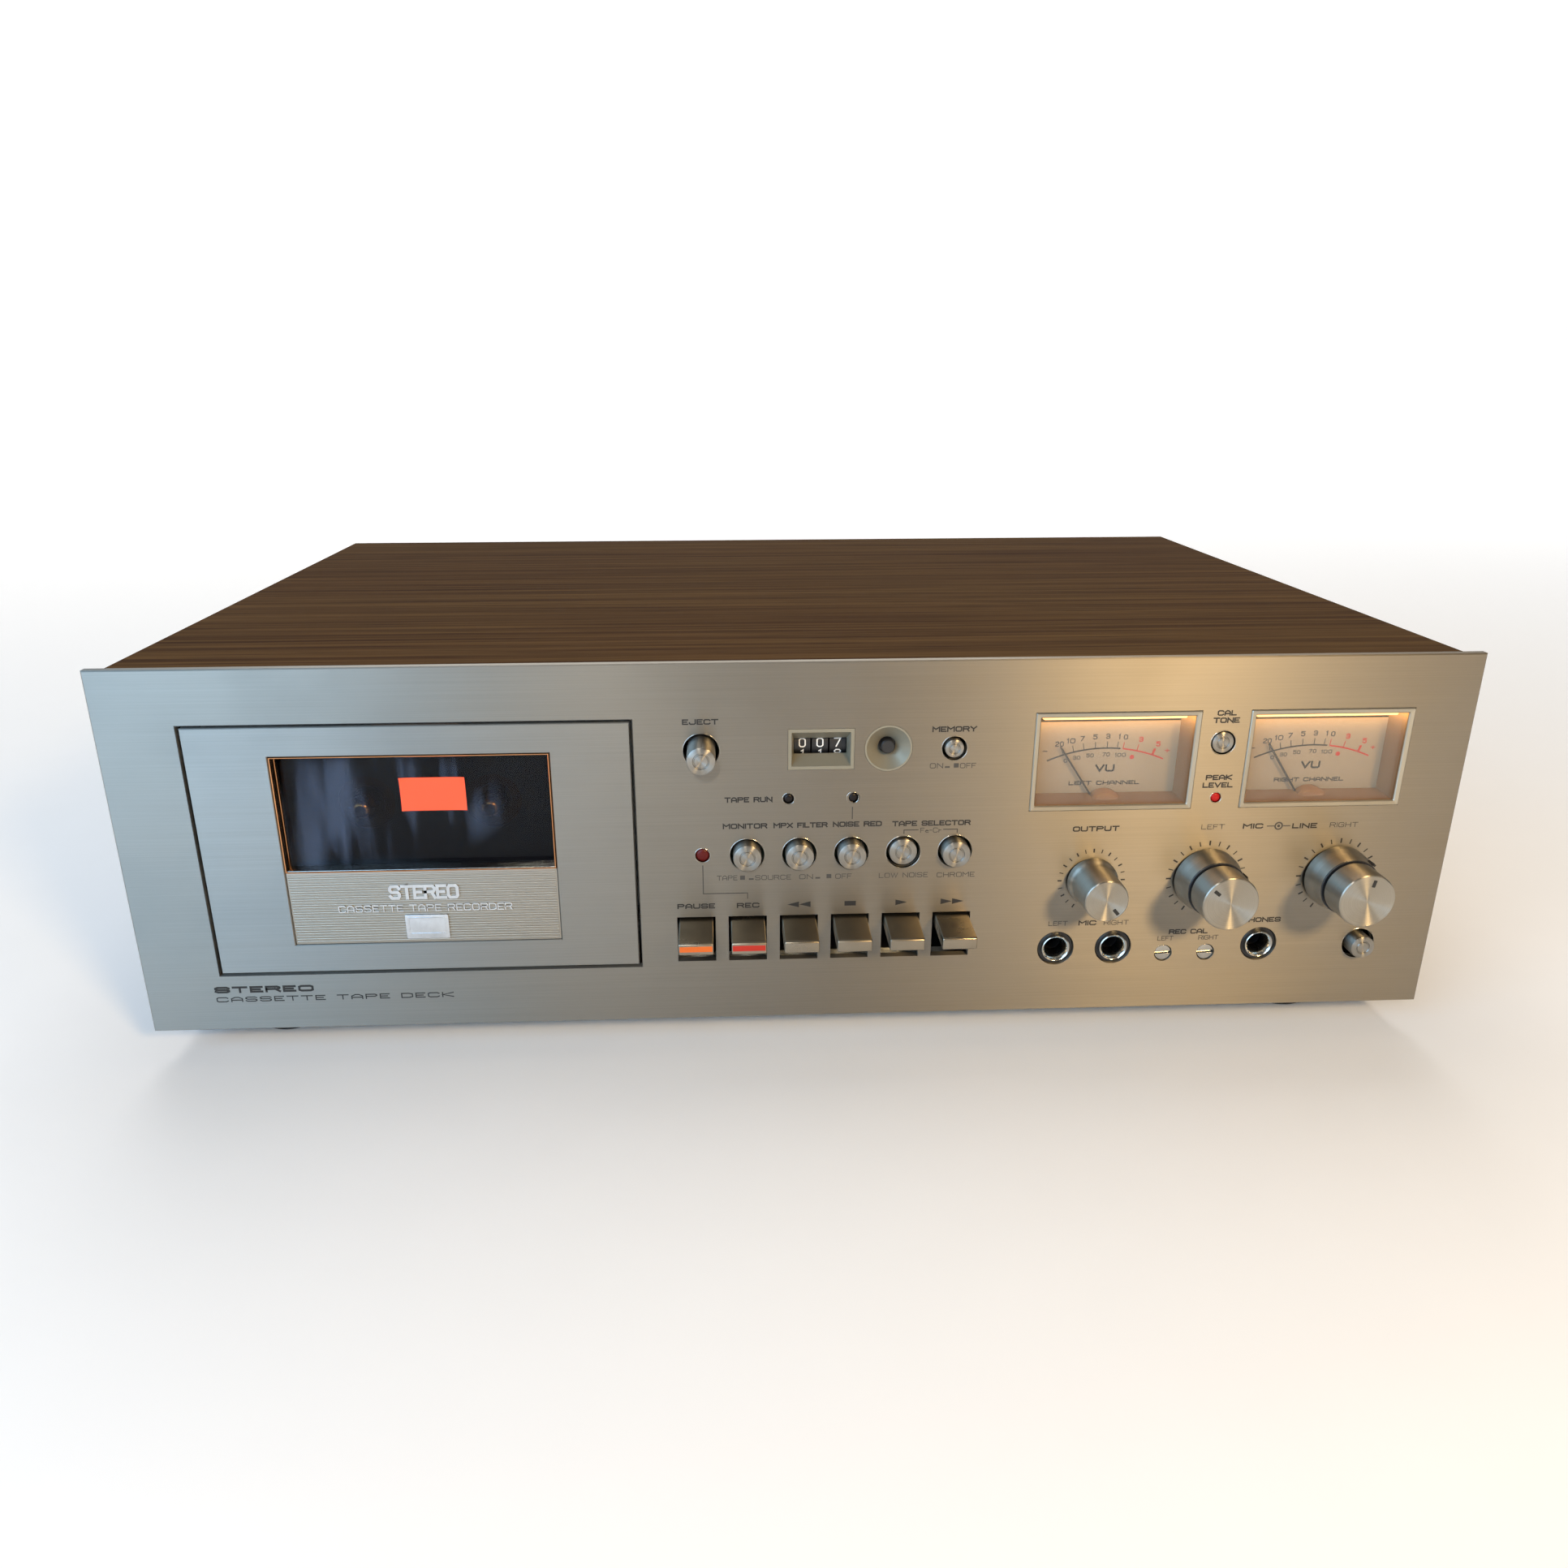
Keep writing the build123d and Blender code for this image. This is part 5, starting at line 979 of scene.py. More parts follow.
class Pattern:
    """A geometry-node tree that repeats a form, with named inputs."""

    def __init__(self, name: str, **sizes: str) -> None:
        """Makes the tree and its inputs.

        Args:
            name: The tree's name.
            sizes: Kind of socket (Int, Float or Vector) by input name.
        """
        self.tree = bpy.data.node_groups.new(name, "GeometryNodeTree")
        self.graph = NodeGraph(self.tree)
        self.tree.interface.new_socket("Geometry", in_out="INPUT", socket_type="NodeSocketGeometry")
        for size, kind in sizes.items():
            self.tree.interface.new_socket(size, in_out="INPUT", socket_type="NodeSocket" + kind)
        self.tree.interface.new_socket("Material", in_out="INPUT", socket_type="NodeSocketMaterial")
        self.tree.interface.new_socket("Geometry", in_out="OUTPUT", socket_type="NodeSocketGeometry")
        self.given = self.tree.nodes.new("NodeGroupInput")
        self.result = self.tree.nodes.new("NodeGroupOutput")

    def size(self, name: str) -> Socket:
        """The socket of a named input."""
        return self.given.outputs[name]

    def row(self) -> Socket:
        """Count points one above the other, Pitch apart and centred.

        Returns:
            The points' geometry.
        """
        points = self.graph.first("GeometryNodePoints", Count=self.size("Count"))
        index = self.graph.first("GeometryNodeInputIndex")
        gaps = self.graph.math("SUBTRACT", self.size("Count"), 1.0)
        half = self.graph.math("MULTIPLY", gaps, 0.5)
        rise = self.graph.math("MULTIPLY", self.graph.math("SUBTRACT", index, half), self.size("Pitch"))
        spot = self.graph.first("ShaderNodeCombineXYZ", Y=rise)
        return self.graph.first("GeometryNodeSetPosition", Geometry=points, Position=spot)

    def end(self, geometry: Socket) -> None:
        """Realizes the instances, sets the material and closes the tree.

        Args:
            geometry: What the tree has made.
        """
        real = self.graph.first("GeometryNodeRealizeInstances", Geometry=geometry)
        finished = self.graph.first("GeometryNodeSetMaterial", Geometry=real, Material=self.size("Material"))
        self.tree.links.new(finished, self.result.inputs[0])

    def make(self, name: str, finish: Finish, place: Matrix, values: dict[str, object], body: str = "cabinet",
             stands_for: tuple[str, ...] = (), base: Form | None = None) -> bpy.types.Object:
        """Runs the tree on a base form and keeps the result as a plain piece.

        Args:
            name: The piece's name.
            finish: Its surface.
            place: From the pattern's millimetres to the frame.
            values: Input values by name.
            body: The body that carries it.
            stands_for: Nodes that it replaces.
            base: The form that the tree starts from, if it uses one.

        Returns:
            The piece.
        """
        start = bpy.data.meshes.new(name + "_base")
        if base:
            start.from_pydata([tuple(point) for point in base.points], [], base.faces)
        holder = bpy.data.objects.new(name + "_base", start)
        link(holder)
        modifier = holder.modifiers.new("pattern", "NODES")
        modifier.node_group = self.tree
        for item in self.tree.interface.items_tree:
            if item.in_out == "INPUT" and item.name in values:
                modifier[item.identifier] = values[item.name]
            if item.in_out == "INPUT" and item.name == "Material":
                modifier[item.identifier] = finish.material()
        ready = holder.evaluated_get(bpy.context.evaluated_depsgraph_get())
        mesh = bpy.data.meshes.new_from_object(ready)
        holder.modifiers.remove(modifier)
        bpy.data.objects.remove(holder)
        mesh.name = name
        mesh.transform(place)
        return dress_mesh(name, mesh, finish, body, stands_for, 32.0)


def dial_ticks() -> Pattern:
    """Ticks round a knob, every other one heavier, centred on the top.

    Returns:
        The pattern, with Count, Radius, Length, Wide, Fine and Sweep.
    """
    pattern = Pattern("dial_ticks", Count="Int", Radius="Float", Length="Float", Wide="Float", Fine="Float",
                      Sweep="Float")
    graph = pattern.graph
    points = graph.first("GeometryNodePoints", Count=pattern.size("Count"))
    index = graph.first("GeometryNodeInputIndex")
    gaps = graph.math("SUBTRACT", pattern.size("Count"), 1.0)
    share = graph.math("SUBTRACT", graph.math("DIVIDE", index, gaps), 0.5)
    angle = graph.math("MULTIPLY", share, pattern.size("Sweep"))
    across = graph.math("MULTIPLY", graph.math("SINE", angle), pattern.size("Radius"))
    above = graph.math("MULTIPLY", graph.math("COSINE", angle), pattern.size("Radius"))
    spot = graph.first("ShaderNodeCombineXYZ", X=across, Y=above)
    spread = graph.first("GeometryNodeSetPosition", Geometry=points, Position=spot)
    odd = graph.math("MODULO", index, 2.0)
    gain = graph.math("MULTIPLY", odd, graph.math("SUBTRACT", pattern.size("Fine"), pattern.size("Wide")))
    wide = graph.math("ADD", pattern.size("Wide"), gain)
    scale = graph.first("ShaderNodeCombineXYZ", X=wide, Y=pattern.size("Length"), Z=0.05)
    turn = graph.first("ShaderNodeCombineXYZ", Z=graph.math("MULTIPLY", angle, -1.0))
    bar = graph.first("GeometryNodeMeshCube", Size=(1, 1, 1))
    ticks = graph.add("GeometryNodeInstanceOnPoints", Points=spread, Instance=bar, Rotation=turn, Scale=scale)
    pattern.end(ticks.outputs[0])
    return pattern


def rib_row() -> Pattern:
    """Half-round ribs one above the other on a backing form.

    Returns:
        The pattern, with Count, Pitch, Length, Width and Height.
    """
    pattern = Pattern("rib_row", Count="Int", Pitch="Float", Length="Float", Width="Float", Height="Float")
    graph = pattern.graph
    rod = graph.add("GeometryNodeMeshCylinder", Vertices=14, Radius=0.5, Depth=1.0)
    scale = graph.add("ShaderNodeCombineXYZ", X=pattern.size("Height"), Y=pattern.size("Width"),
                      Z=pattern.size("Length"))
    turn = (0.0, pi / 2, 0.0)
    bars = graph.first("GeometryNodeInstanceOnPoints", Points=pattern.row(), Instance=rod.outputs[0], Rotation=turn,
                       Scale=scale.outputs[0])
    both = graph.add("GeometryNodeJoinGeometry")
    pattern.tree.links.new(pattern.size("Geometry"), both.inputs[0])
    pattern.tree.links.new(bars, both.inputs[0])
    pattern.end(both.outputs[0])
    return pattern


def plate_stack() -> Pattern:
    """Equal plates in a row, such as laminations.

    Returns:
        The pattern, with Count, Pitch and Plate, the size of one.
    """
    pattern = Pattern("plate_stack", Count="Int", Pitch="Float", Plate="Vector")
    graph = pattern.graph
    plate = graph.first("GeometryNodeMeshCube", Size=pattern.size("Plate"))
    pattern.end(graph.first("GeometryNodeInstanceOnPoints", Points=pattern.row(), Instance=plate))
    return pattern


def screw_heads() -> Pattern:
    """Domed cross-slot screw heads on the points of a base form, each turned its own way.

    Returns:
        The pattern, with Radius, Height, Slot and Seed.
    """
    pattern = Pattern("screw_heads", Radius="Float", Height="Float", Slot="Float", Seed="Int")
    graph = pattern.graph
    ball = graph.first("GeometryNodeMeshUVSphere", Segments=32, Rings=16, Radius=pattern.size("Radius"))
    flat = graph.math("DIVIDE", pattern.size("Height"), pattern.size("Radius"))
    squash = graph.first("ShaderNodeCombineXYZ", X=1.0, Y=1.0, Z=flat)
    dome = graph.first("GeometryNodeTransform", Geometry=ball, Scale=squash)
    reach = graph.math("MULTIPLY", pattern.size("Radius"), 1.15)
    long_bar = graph.first("ShaderNodeCombineXYZ", X=reach, Y=pattern.size("Slot"), Z=pattern.size("Height"))
    tall_bar = graph.first("ShaderNodeCombineXYZ", X=pattern.size("Slot"), Y=reach, Z=pattern.size("Height"))
    lift = graph.first("ShaderNodeCombineXYZ", Z=pattern.size("Height"))
    cuts = []
    for size in (long_bar, tall_bar):
        block = graph.first("GeometryNodeMeshCube", Size=size)
        cuts.append(graph.first("GeometryNodeTransform", Geometry=block, Translation=lift))
    head = graph.add("GeometryNodeMeshBoolean", operation="DIFFERENCE", i0=dome)
    for cut in cuts:
        pattern.tree.links.new(cut, head.inputs[1])
    spin = graph.add("FunctionNodeRandomValue", data_type="FLOAT_VECTOR", Seed=pattern.size("Seed"))
    spin.inputs[0].default_value, spin.inputs[1].default_value = (0, 0, 0), (0, 0, 2 * pi)
    heads = graph.add("GeometryNodeInstanceOnPoints", Points=pattern.size("Geometry"), Instance=head.outputs[0],
                      Rotation=spin.outputs[0])
    pattern.end(heads.outputs[0])
    return pattern


# ================================================================ sub-assemblies


@dataclass
class Cabinet:
    """Vinyl-clad boards, base, rear panel, its sockets, feet and screws."""

    foot_radius: float = 13.0
    foot_taper: float = 1.5
    screw_head: float = 2.9
    screw_rise: float = 1.6
    screw_slot: float = 0.75
    screw_inset: float = 3.0
    low_screw: float = 12.0
    high_screw_drop: float = 9.0
    sleeve: float = 4.15
    sleeve_out: float = 8.0
    insulator: float = 3.2
    pin_bore: float = 1.6
    din: float = 7.4
    lamination: float = 0.5
    core_stack: float = 34.0
    coil: tuple[float, float, float] = (40.0, 32.0, 5.0)
    coil_half: float = 27.0
    din_offset: float = 104.0
    name_rise: float = 14.5

    def build(self) -> None:
        """Dresses the boards and makes what is fixed to them."""
        dress(WALNUT_TOP, "cabinet_top")
        dress(WALNUT_SIDE, "cabinet_sides")
        dress(ZINC, "base_plate")
        dress(BLACK_STEEL, "rear_panel")
        dress(CIRCUIT, "circuit_boards")
        self.feet()
        self.screws()
        self.sockets()
        self.transformer()

    def foot_places(self) -> list[tuple[float, float]]:
        """The x and out of each foot's middle.

        Returns:
            Four places.
        """
        low, high = span("feet")
        reach = self.foot_radius
        return [(x, out) for x in (low.x + reach, high.x - reach) for out in (low.z + reach, high.z - reach)]

    def feet(self) -> None:
        """Ribbed rubber feet with a recess for the screw."""
        low, high = span("feet")
        tall, wide, narrow = high.y - low.y, self.foot_radius, self.foot_radius - self.foot_taper
        profile = [(1.6, tall), (wide - 0.4, tall), (wide, tall - 0.4), (wide, tall - 2.6),
                   (wide - 0.5, tall - 3.0), (wide - 0.5, tall - 3.8), (wide - 0.25, tall - 4.2),
                   (narrow + 0.1, 1.0), (narrow - 0.8, 0.0), (4.0, 0.0), (4.0, tall / 2), (1.6, tall / 2)]
        foot = lathe(profile, 64, hollow=True)
        forms = [foot.placed(x, low.y, out, facing=Facing.TOP) for x, out in self.foot_places()]
        make_piece("rubber_feet", joined(forms), FOOT_RUBBER, "cabinet", ("feet",))

    def screws(self) -> None:
        """Cross-slot screws in the rear panel and the feet."""
        heads = screw_heads()
        edge = span("case_screws")[1].x - self.screw_inset
        rear_low, rear_high = span("rear_panel")
        values = {"Radius": self.screw_head, "Height": self.screw_rise, "Slot": self.screw_slot, "Seed": 4}
        corners = [Vector((x, y, 0)) for x in (-edge, edge)
                   for y in (self.low_screw, rear_high.y - self.high_screw_drop)]
        heads.make("rear_panel_screws", PLAIN_NICKEL, deck_place(0, 0, rear_low.z, Facing.REAR), values, "cabinet",
                   ("case_screws",), Form(corners))
        under = deck_place(0, middle("feet")[1], 0, Facing.BOTTOM)
        spots = Form([Vector((x, out, 0)) for x, out in self.foot_places()])
        heads.make("foot_screws", PLAIN_NICKEL, under, values, base=spots)

    def sockets(self) -> None:
        """Phono sockets, a DIN socket, the cord gland and their lettering."""
        back = span("rear_panel")[0].z
        phono = [mount for mount in frame["record"]["mounts"] if mount["name"].startswith("line_")]
        sleeves, cores, words = Form(), {"left": Form(), "right": Form()}, Form()
        for mount in phono:
            x, height, _ = DATUM.local(Vector(mount["pos_m"]))
            r, out = self.sleeve, self.sleeve_out
            shell = [(self.insulator, out - 0.8), (self.insulator, -6.0), (6.0, -6.0), (6.0, -1.2), (4.8, -1.2),
                     (4.8, 0), (r, 0), (r, out - 0.4), (r - 0.4, out), (self.insulator + 0.2, out)]
            sleeves.add(lathe(shell, 56, hollow=True).placed(x, height, back, facing=Facing.REAR))
            core = [(self.pin_bore, 1.0), (self.insulator, 1.0), (self.insulator, out - 1.2), (2.2, out - 0.7),
                    (self.pin_bore, out - 0.7)]
            side = "right" if mount["name"].endswith("right") else "left"
            cores[side].add(lathe(core, 40, hollow=True).placed(x, height, back, facing=Facing.REAR))
            words.add(lettering(side[0].upper(), -x, height + 9.0, 1.9, 2.0))
        make_piece("phono_sleeves", sleeves, NICKEL, "cabinet", ("rear_sockets",))
        make_piece("white_insulators", cores["left"], WHITE_INK)
        make_piece("red_insulators", cores["right"], RED_INLAY)
        xs = sorted(DATUM.local(Vector(mount["pos_m"]))[0] for mount in phono)
        top = DATUM.local(Vector(phono[0]["pos_m"]))[1]
        words.add(lettering("LINE OUT", -(xs[0] + xs[1]) / 2, top + self.name_rise, 17, 2.4, Weight.BOLD))
        words.add(lettering("LINE IN", -(xs[2] + xs[3]) / 2, top + self.name_rise, 14, 2.4, Weight.BOLD))
        self.din_socket(xs[0] + self.din_offset, top, back, words)
        self.gland(back)
        make_piece("rear_lettering", words.placed(0, 0, back, facing=Facing.REAR), WHITE_INK)

    def din_socket(self, x: float, height: float, back: float, words: Form) -> None:
        """The five-pin socket.

        Args:
            x: Its middle.
            height: Its middle.
            back: Out distance of the rear panel's outer face.
            words: Lettering to add its name to.
        """
        r = self.din
        shell = [(r - 1.6, 0.9), (r - 1.6, -9.0), (9.0, -9.0), (9.0, -1.2), (r, -1.2), (r, 1.0), (r - 0.4, 1.4),
                 (r - 1.4, 1.4)]
        make_piece("din_shell", lathe(shell, 64, hollow=True).placed(x, height, back, facing=Facing.REAR), NICKEL)
        face = lathe([(0, -2), (r - 1.6, -2), (r - 1.6, 0.5), (0, 0.5)], 48)
        make_piece("din_insert", face.placed(x, height, back, facing=Facing.REAR), BLACK)
        pins = Form()
        for place in range(5):
            angle = pi * place / 4
            hole = lathe([(0.45, 0.3), (0.9, 0.3), (0.9, 0.75), (0.45, 0.75)], 20, hollow=True)
            pins.add(hole.placed(x - 3.6 * cos(angle), height + 3.6 * sin(angle), back, facing=Facing.REAR))
        make_piece("din_contacts", pins, NICKEL)
        words.add(lettering("REC / PLAY", -x, height + self.name_rise, 19, 2.4, Weight.BOLD))

    def gland(self, back: float) -> None:
        """The moulded gland of the mains cord, open through its bore.

        Args:
            back: Out distance of the rear panel's outer face.
        """
        mount = next(m for m in frame["record"]["mounts"] if m["name"] == "cord_gland")
        x, height, _ = DATUM.local(Vector(mount["pos_m"]))
        bore = mount["dims"]["r_mm"]
        profile = [(bore, -7.2), (7.5, -7.2), (7.5, -1.2), (5.5, -1.2), (5.5, 0), (7.5, 0), (7.4, 1.4), (6.9, 1.9),
                   (6.9, 2.6), (7.0, 3.1), (6.6, 3.6), (6.6, 4.4), (6.6, 5.0), (6.0, 6.0), (bore + 0.6, 6.0),
                   (bore, 5.4)]
        make_piece("cord_gland", lathe(profile, 56, hollow=True).placed(x, height, back, facing=Facing.REAR),
                   FOOT_RUBBER)

    def transformer(self) -> None:
        """A laminated core with its winding as one rounded block."""
        low, high = span("transformer")
        size, centre, pitch = high - low, (low + high) / 2, 2 * self.lamination
        place = Matrix.Translation(DATUM.at(*centre)) @ Matrix.Scale(MM, 4)
        values = {"Count": int(self.core_stack / pitch), "Pitch": pitch, "Plate": (size.x, pitch * 0.8, size.y)}
        plate_stack().make("transformer_core", CORE_STEEL, place, values, "cabinet", ("transformer",))
        coil = slab(rectangle(*self.coil), -self.coil_half, self.coil_half, 3.0, both=True)
        make_piece("transformer_coil", coil.placed(*centre), COPPER)


@dataclass
class FrontPanel:
    """The brushed panel with its printed lettering and the rims of its holes."""

    rim: float = 0.18
    line: float = 0.32
    ink: float = 0.05
    door_gap: float = 0.9
    arrow: float = 3.9
    arrow_half: float = 1.05
    symbol_height: float = 42.7
    leader_turn: float = 47.3
    mark_x: float = 160.4
    mark_height: float = 67.9
    heavy_cap: float = 1.85
    fine_cap: float = 1.75

    def build(self) -> None:
        """Dresses the panel and prints it."""
        dress(PANEL_METAL, "front_panel")
        self.heavy_lettering()
        self.fine_lettering()
        self.hole_rims()
        self.bay_edge()

    def heavy_lettering(self) -> None:
        """Bold names of the controls, and the transport symbols."""
        cap = self.heavy_cap
        words = [("EJECT", -31.9, 107.0, 11.5), ("MEMORY", 49.4, 103.4, 14.4), ("TAPE RUN", -16.8, 80.5, 15.6),
                 ("MONITOR", -18.0, 71.3, 14.6), ("MPX FILTER", 0.2, 71.3, 17.8), ("NOISE RED", 18.9, 71.35, 16.2),
                 ("TAPE SELECTOR", 43.4, 71.2, 26.0), ("PAUSE", -34.6, 42.8, 12.6), ("REC", -17.2, 42.75, 7.6),
                 ("CAL", 137.6, 107.45, 6.3), ("TONE", 137.7, 105.0, 8.7), ("PEAK", 137.8, 85.45, 8.8),
                 ("LEVEL", 137.7, 82.8, 10.1), ("OUTPUT", 98.6, 68.1, 15.6), ("MIC", 151.7, 68.0, 6.9),
                 ("LINE", 169.3, 67.8, 8.5), ("MIC", 98.9, 33.4, 6.2), ("REC CAL", 134.5, 29.3, 13.6),
                 ("PHONES", 159.6, 33.2, 13.6)]
        ink = joined([lettering(text, x, height, width, cap, Weight.BOLD) for text, x, height, width in words])
        ink.add(lettering("STEREO", -181.0, 15.3, 33.0, 2.5, Weight.HEAVY))
        ink.add(lettering("CASSETTE TAPE DECK", -157.6, 11.6, 79.5, 1.95, Weight.PLAIN))
        ink.add(self.symbols())
        make_piece("bold_lettering", ink.placed(0, 0, -0.02), INK)

    def symbols(self) -> Form:
        """Rewind, stop, play and fast forward.

        Returns:
            The four signs above their keys.
        """
        rewind, halt, play, forward = (middle(key + "_key")[0]
                                       for key in ("rewind", "stop", "play", "fast_forward"))
        signs = Form()
        for shift in (-self.arrow / 2, self.arrow / 2):
            signs.add(self.arrow_head(rewind + shift, -1))
            signs.add(self.arrow_head(forward + shift, 1))
        signs.add(self.arrow_head(play, 1))
        square = [(halt + x, self.symbol_height + y) for x, y in rectangle(3.85, 1.7)]
        return signs.add(slab(square, 0.0, self.ink))

    def arrow_head(self, x: float, way: int) -> Form:
        """One arrow head of the transport symbols.

        Args:
            x: Its middle.
            way: Where its tip points, -1 for left and 1 for right.

        Returns:
            The flat form.
        """
        height, back = self.symbol_height, x - way * self.arrow / 2
        outline = [(x + way * self.arrow / 2, height), (back, height + self.arrow_half),
                   (back, height - self.arrow_half)]
        return slab(outline if way > 0 else outline[::-1], 0.0, self.ink)

    def fine_lettering(self) -> None:
        """Light names, switch marks, brackets and leader lines."""
        cap = self.fine_cap
        words = [("ON", 44.1, 91.1, 4.3), ("OFF", 54.4, 91.0, 5.2), ("TAPE", -24.1, 52.9, 6.8),
                 ("SOURCE", -8.8, 52.8, 12.0), ("ON", 2.2, 52.8, 4.6), ("OFF", 14.7, 52.75, 5.5),
                 ("LOW NOISE", 34.8, 52.7, 16.5), ("CHROME", 52.4, 52.5, 12.8), ("Fe-Cr", 43.3, 68.7, 7.0),
                 ("LEFT", 138.1, 68.0, 7.9), ("RIGHT", 182.7, 67.9, 9.6), ("LEFT", 88.7, 33.4, 6.6),
                 ("RIGHT", 108.9, 33.3, 8.6), ("LEFT", 126.75, 26.85, 5.5), ("RIGHT", 141.8, 26.85, 7.0)]
        ink = joined([lettering(text, x, height, width, cap, Weight.LIGHT) for text, x, height, width in words])
        for x, height, tall in ((47.65, 90.6, 0.55), (50.55, 91.1, 1.5), (-19.0, 52.9, 1.5), (-16.1, 52.35, 0.55),
                                (6.1, 52.3, 0.55), (9.8, 52.85, 1.5)):
            ink.add(slab([(x + u, height + v) for u, v in rectangle(1.6, tall)], 0.0, self.ink))
        lamp_x, keys_x = middle("noise_reduction_button")[0], middle("record_key")[0]
        rec_x, turn_height, mark = -32.1, self.leader_turn, (self.mark_x, self.mark_height)
        paths = [[(lamp_x, 77.4), (lamp_x, 73.1)],
                 [(rec_x, 57.6), (rec_x, turn_height), (keys_x, turn_height), (keys_x, 45.2)],
                 [(34.4, 67.6), (34.4, 68.9), (39.2, 68.9)], [(47.4, 68.9), (52.1, 68.9), (52.1, 67.6)],
                 [(156.4, mark[1]), (158.9, mark[1])], [(161.9, mark[1]), (164.4, mark[1])]]
        for path in paths:
            ink.add(ribbon(path, self.line, 0.0, self.ink))
        outer, inner = ([(mark[0] + x, mark[1] + y) for x, y in circle(radius, 32)] for radius in (1.45, 0.95))
        ink.add(frame_ring(outer, inner, 0.0, self.ink))
        dot = lathe([(0, 0), (0.5, 0), (0.5, self.ink), (0, self.ink)], 24)
        ink.add(dot.moved(Matrix.Translation((*mark, 0))))
        make_piece("fine_lettering", ink.placed(0, 0, -0.02), FINE_INK)

    def bay_edge(self) -> None:
        """A fine black line round the door's opening: painted shadow that deepens the gap round the door."""
        low, high = span("door_panel")
        wide, tall = high.x - low.x + 2 * self.door_gap, high.y - low.y + 2 * self.door_gap
        outer, inner = (rectangle(wide + more, tall + more) for more in (2 * self.rim, 0.04))
        # Painted shadow laid on the panel's face round the door's gap.
        make_piece("door_gap_shadow_line", frame_ring(outer, inner, -0.02, 0.03).placed(*middle("door_panel")), INK)

    def hole_rims(self) -> None:
        """Bright eased edges of the round holes."""
        rims = Form()
        holes = {"eject_button": 5.8, "memory_button": 4.05, "cal_tone_button": 4.05, "power_button": 5.6}
        for name in ("monitor", "filter", "noise_reduction", "tape_normal", "tape_chrome"):
            holes[name + "_button"] = 5.7
        places = [(*middle(name), radius) for name, radius in holes.items()]
        places += [(*lamp, radius + 0.1) for lamp, radius in Indicators().places()]
        for x, height, radius in places:
            edge = [(radius - 0.02, -1.2), (radius - 0.02, -self.rim), (radius + 0.06, -0.06),
                    (radius + self.rim, 0.03), (radius + self.rim + 0.05, 0.0), (radius + self.rim, -0.3),
                    (radius + 0.1, -1.2)]
            rims.add(lathe(edge, 56, hollow=True).placed(x, height))
        make_piece("hole_rims", rims, NICKEL)


@dataclass
class Indicators:
    """Lamp lenses in the panel."""

    status: float = 1.7
    record: float = 2.3
    peak: float = 1.65

    def places(self) -> list[tuple[tuple[float, float], float]]:
        """The x and height, and radius, of each lens: running, noise reduction, recording, peak.

        Returns:
            The four places with their radii.
        """
        left = span("indicator_lamps")[0].x
        noise_x = middle("noise_reduction_button")[0]
        cal_x = middle("cal_tone_button")[0]
        return [((left + self.record + 28.3, 80.6), self.status), ((noise_x, 80.6), self.status),
                ((left + self.record, 61.15), self.record), ((cal_x, 78.4), self.peak)]

    def build(self) -> None:
        """Domed lenses, dark where the lamp is out."""
        finishes = (LAMP_DARK, LAMP_DARK, LAMP_RED, LAMP_PEAK)
        names = ("tape_run_lens", "noise_reduction_lens", "record_lens", "peak_lens")
        for name, finish, ((x, height), radius) in zip(names, finishes, self.places()):
            lens = lathe([(0, -9), (radius, -9), (radius, -0.9), (radius * 0.9, -0.45), (radius * 0.6, -0.15),
                          (0, 0.0)], 40)
            stands_for = ("indicator_lamps",) if name == "tape_run_lens" else ()
            make_piece(name, lens.placed(x, height), finish, "cabinet", stands_for, 60.0)


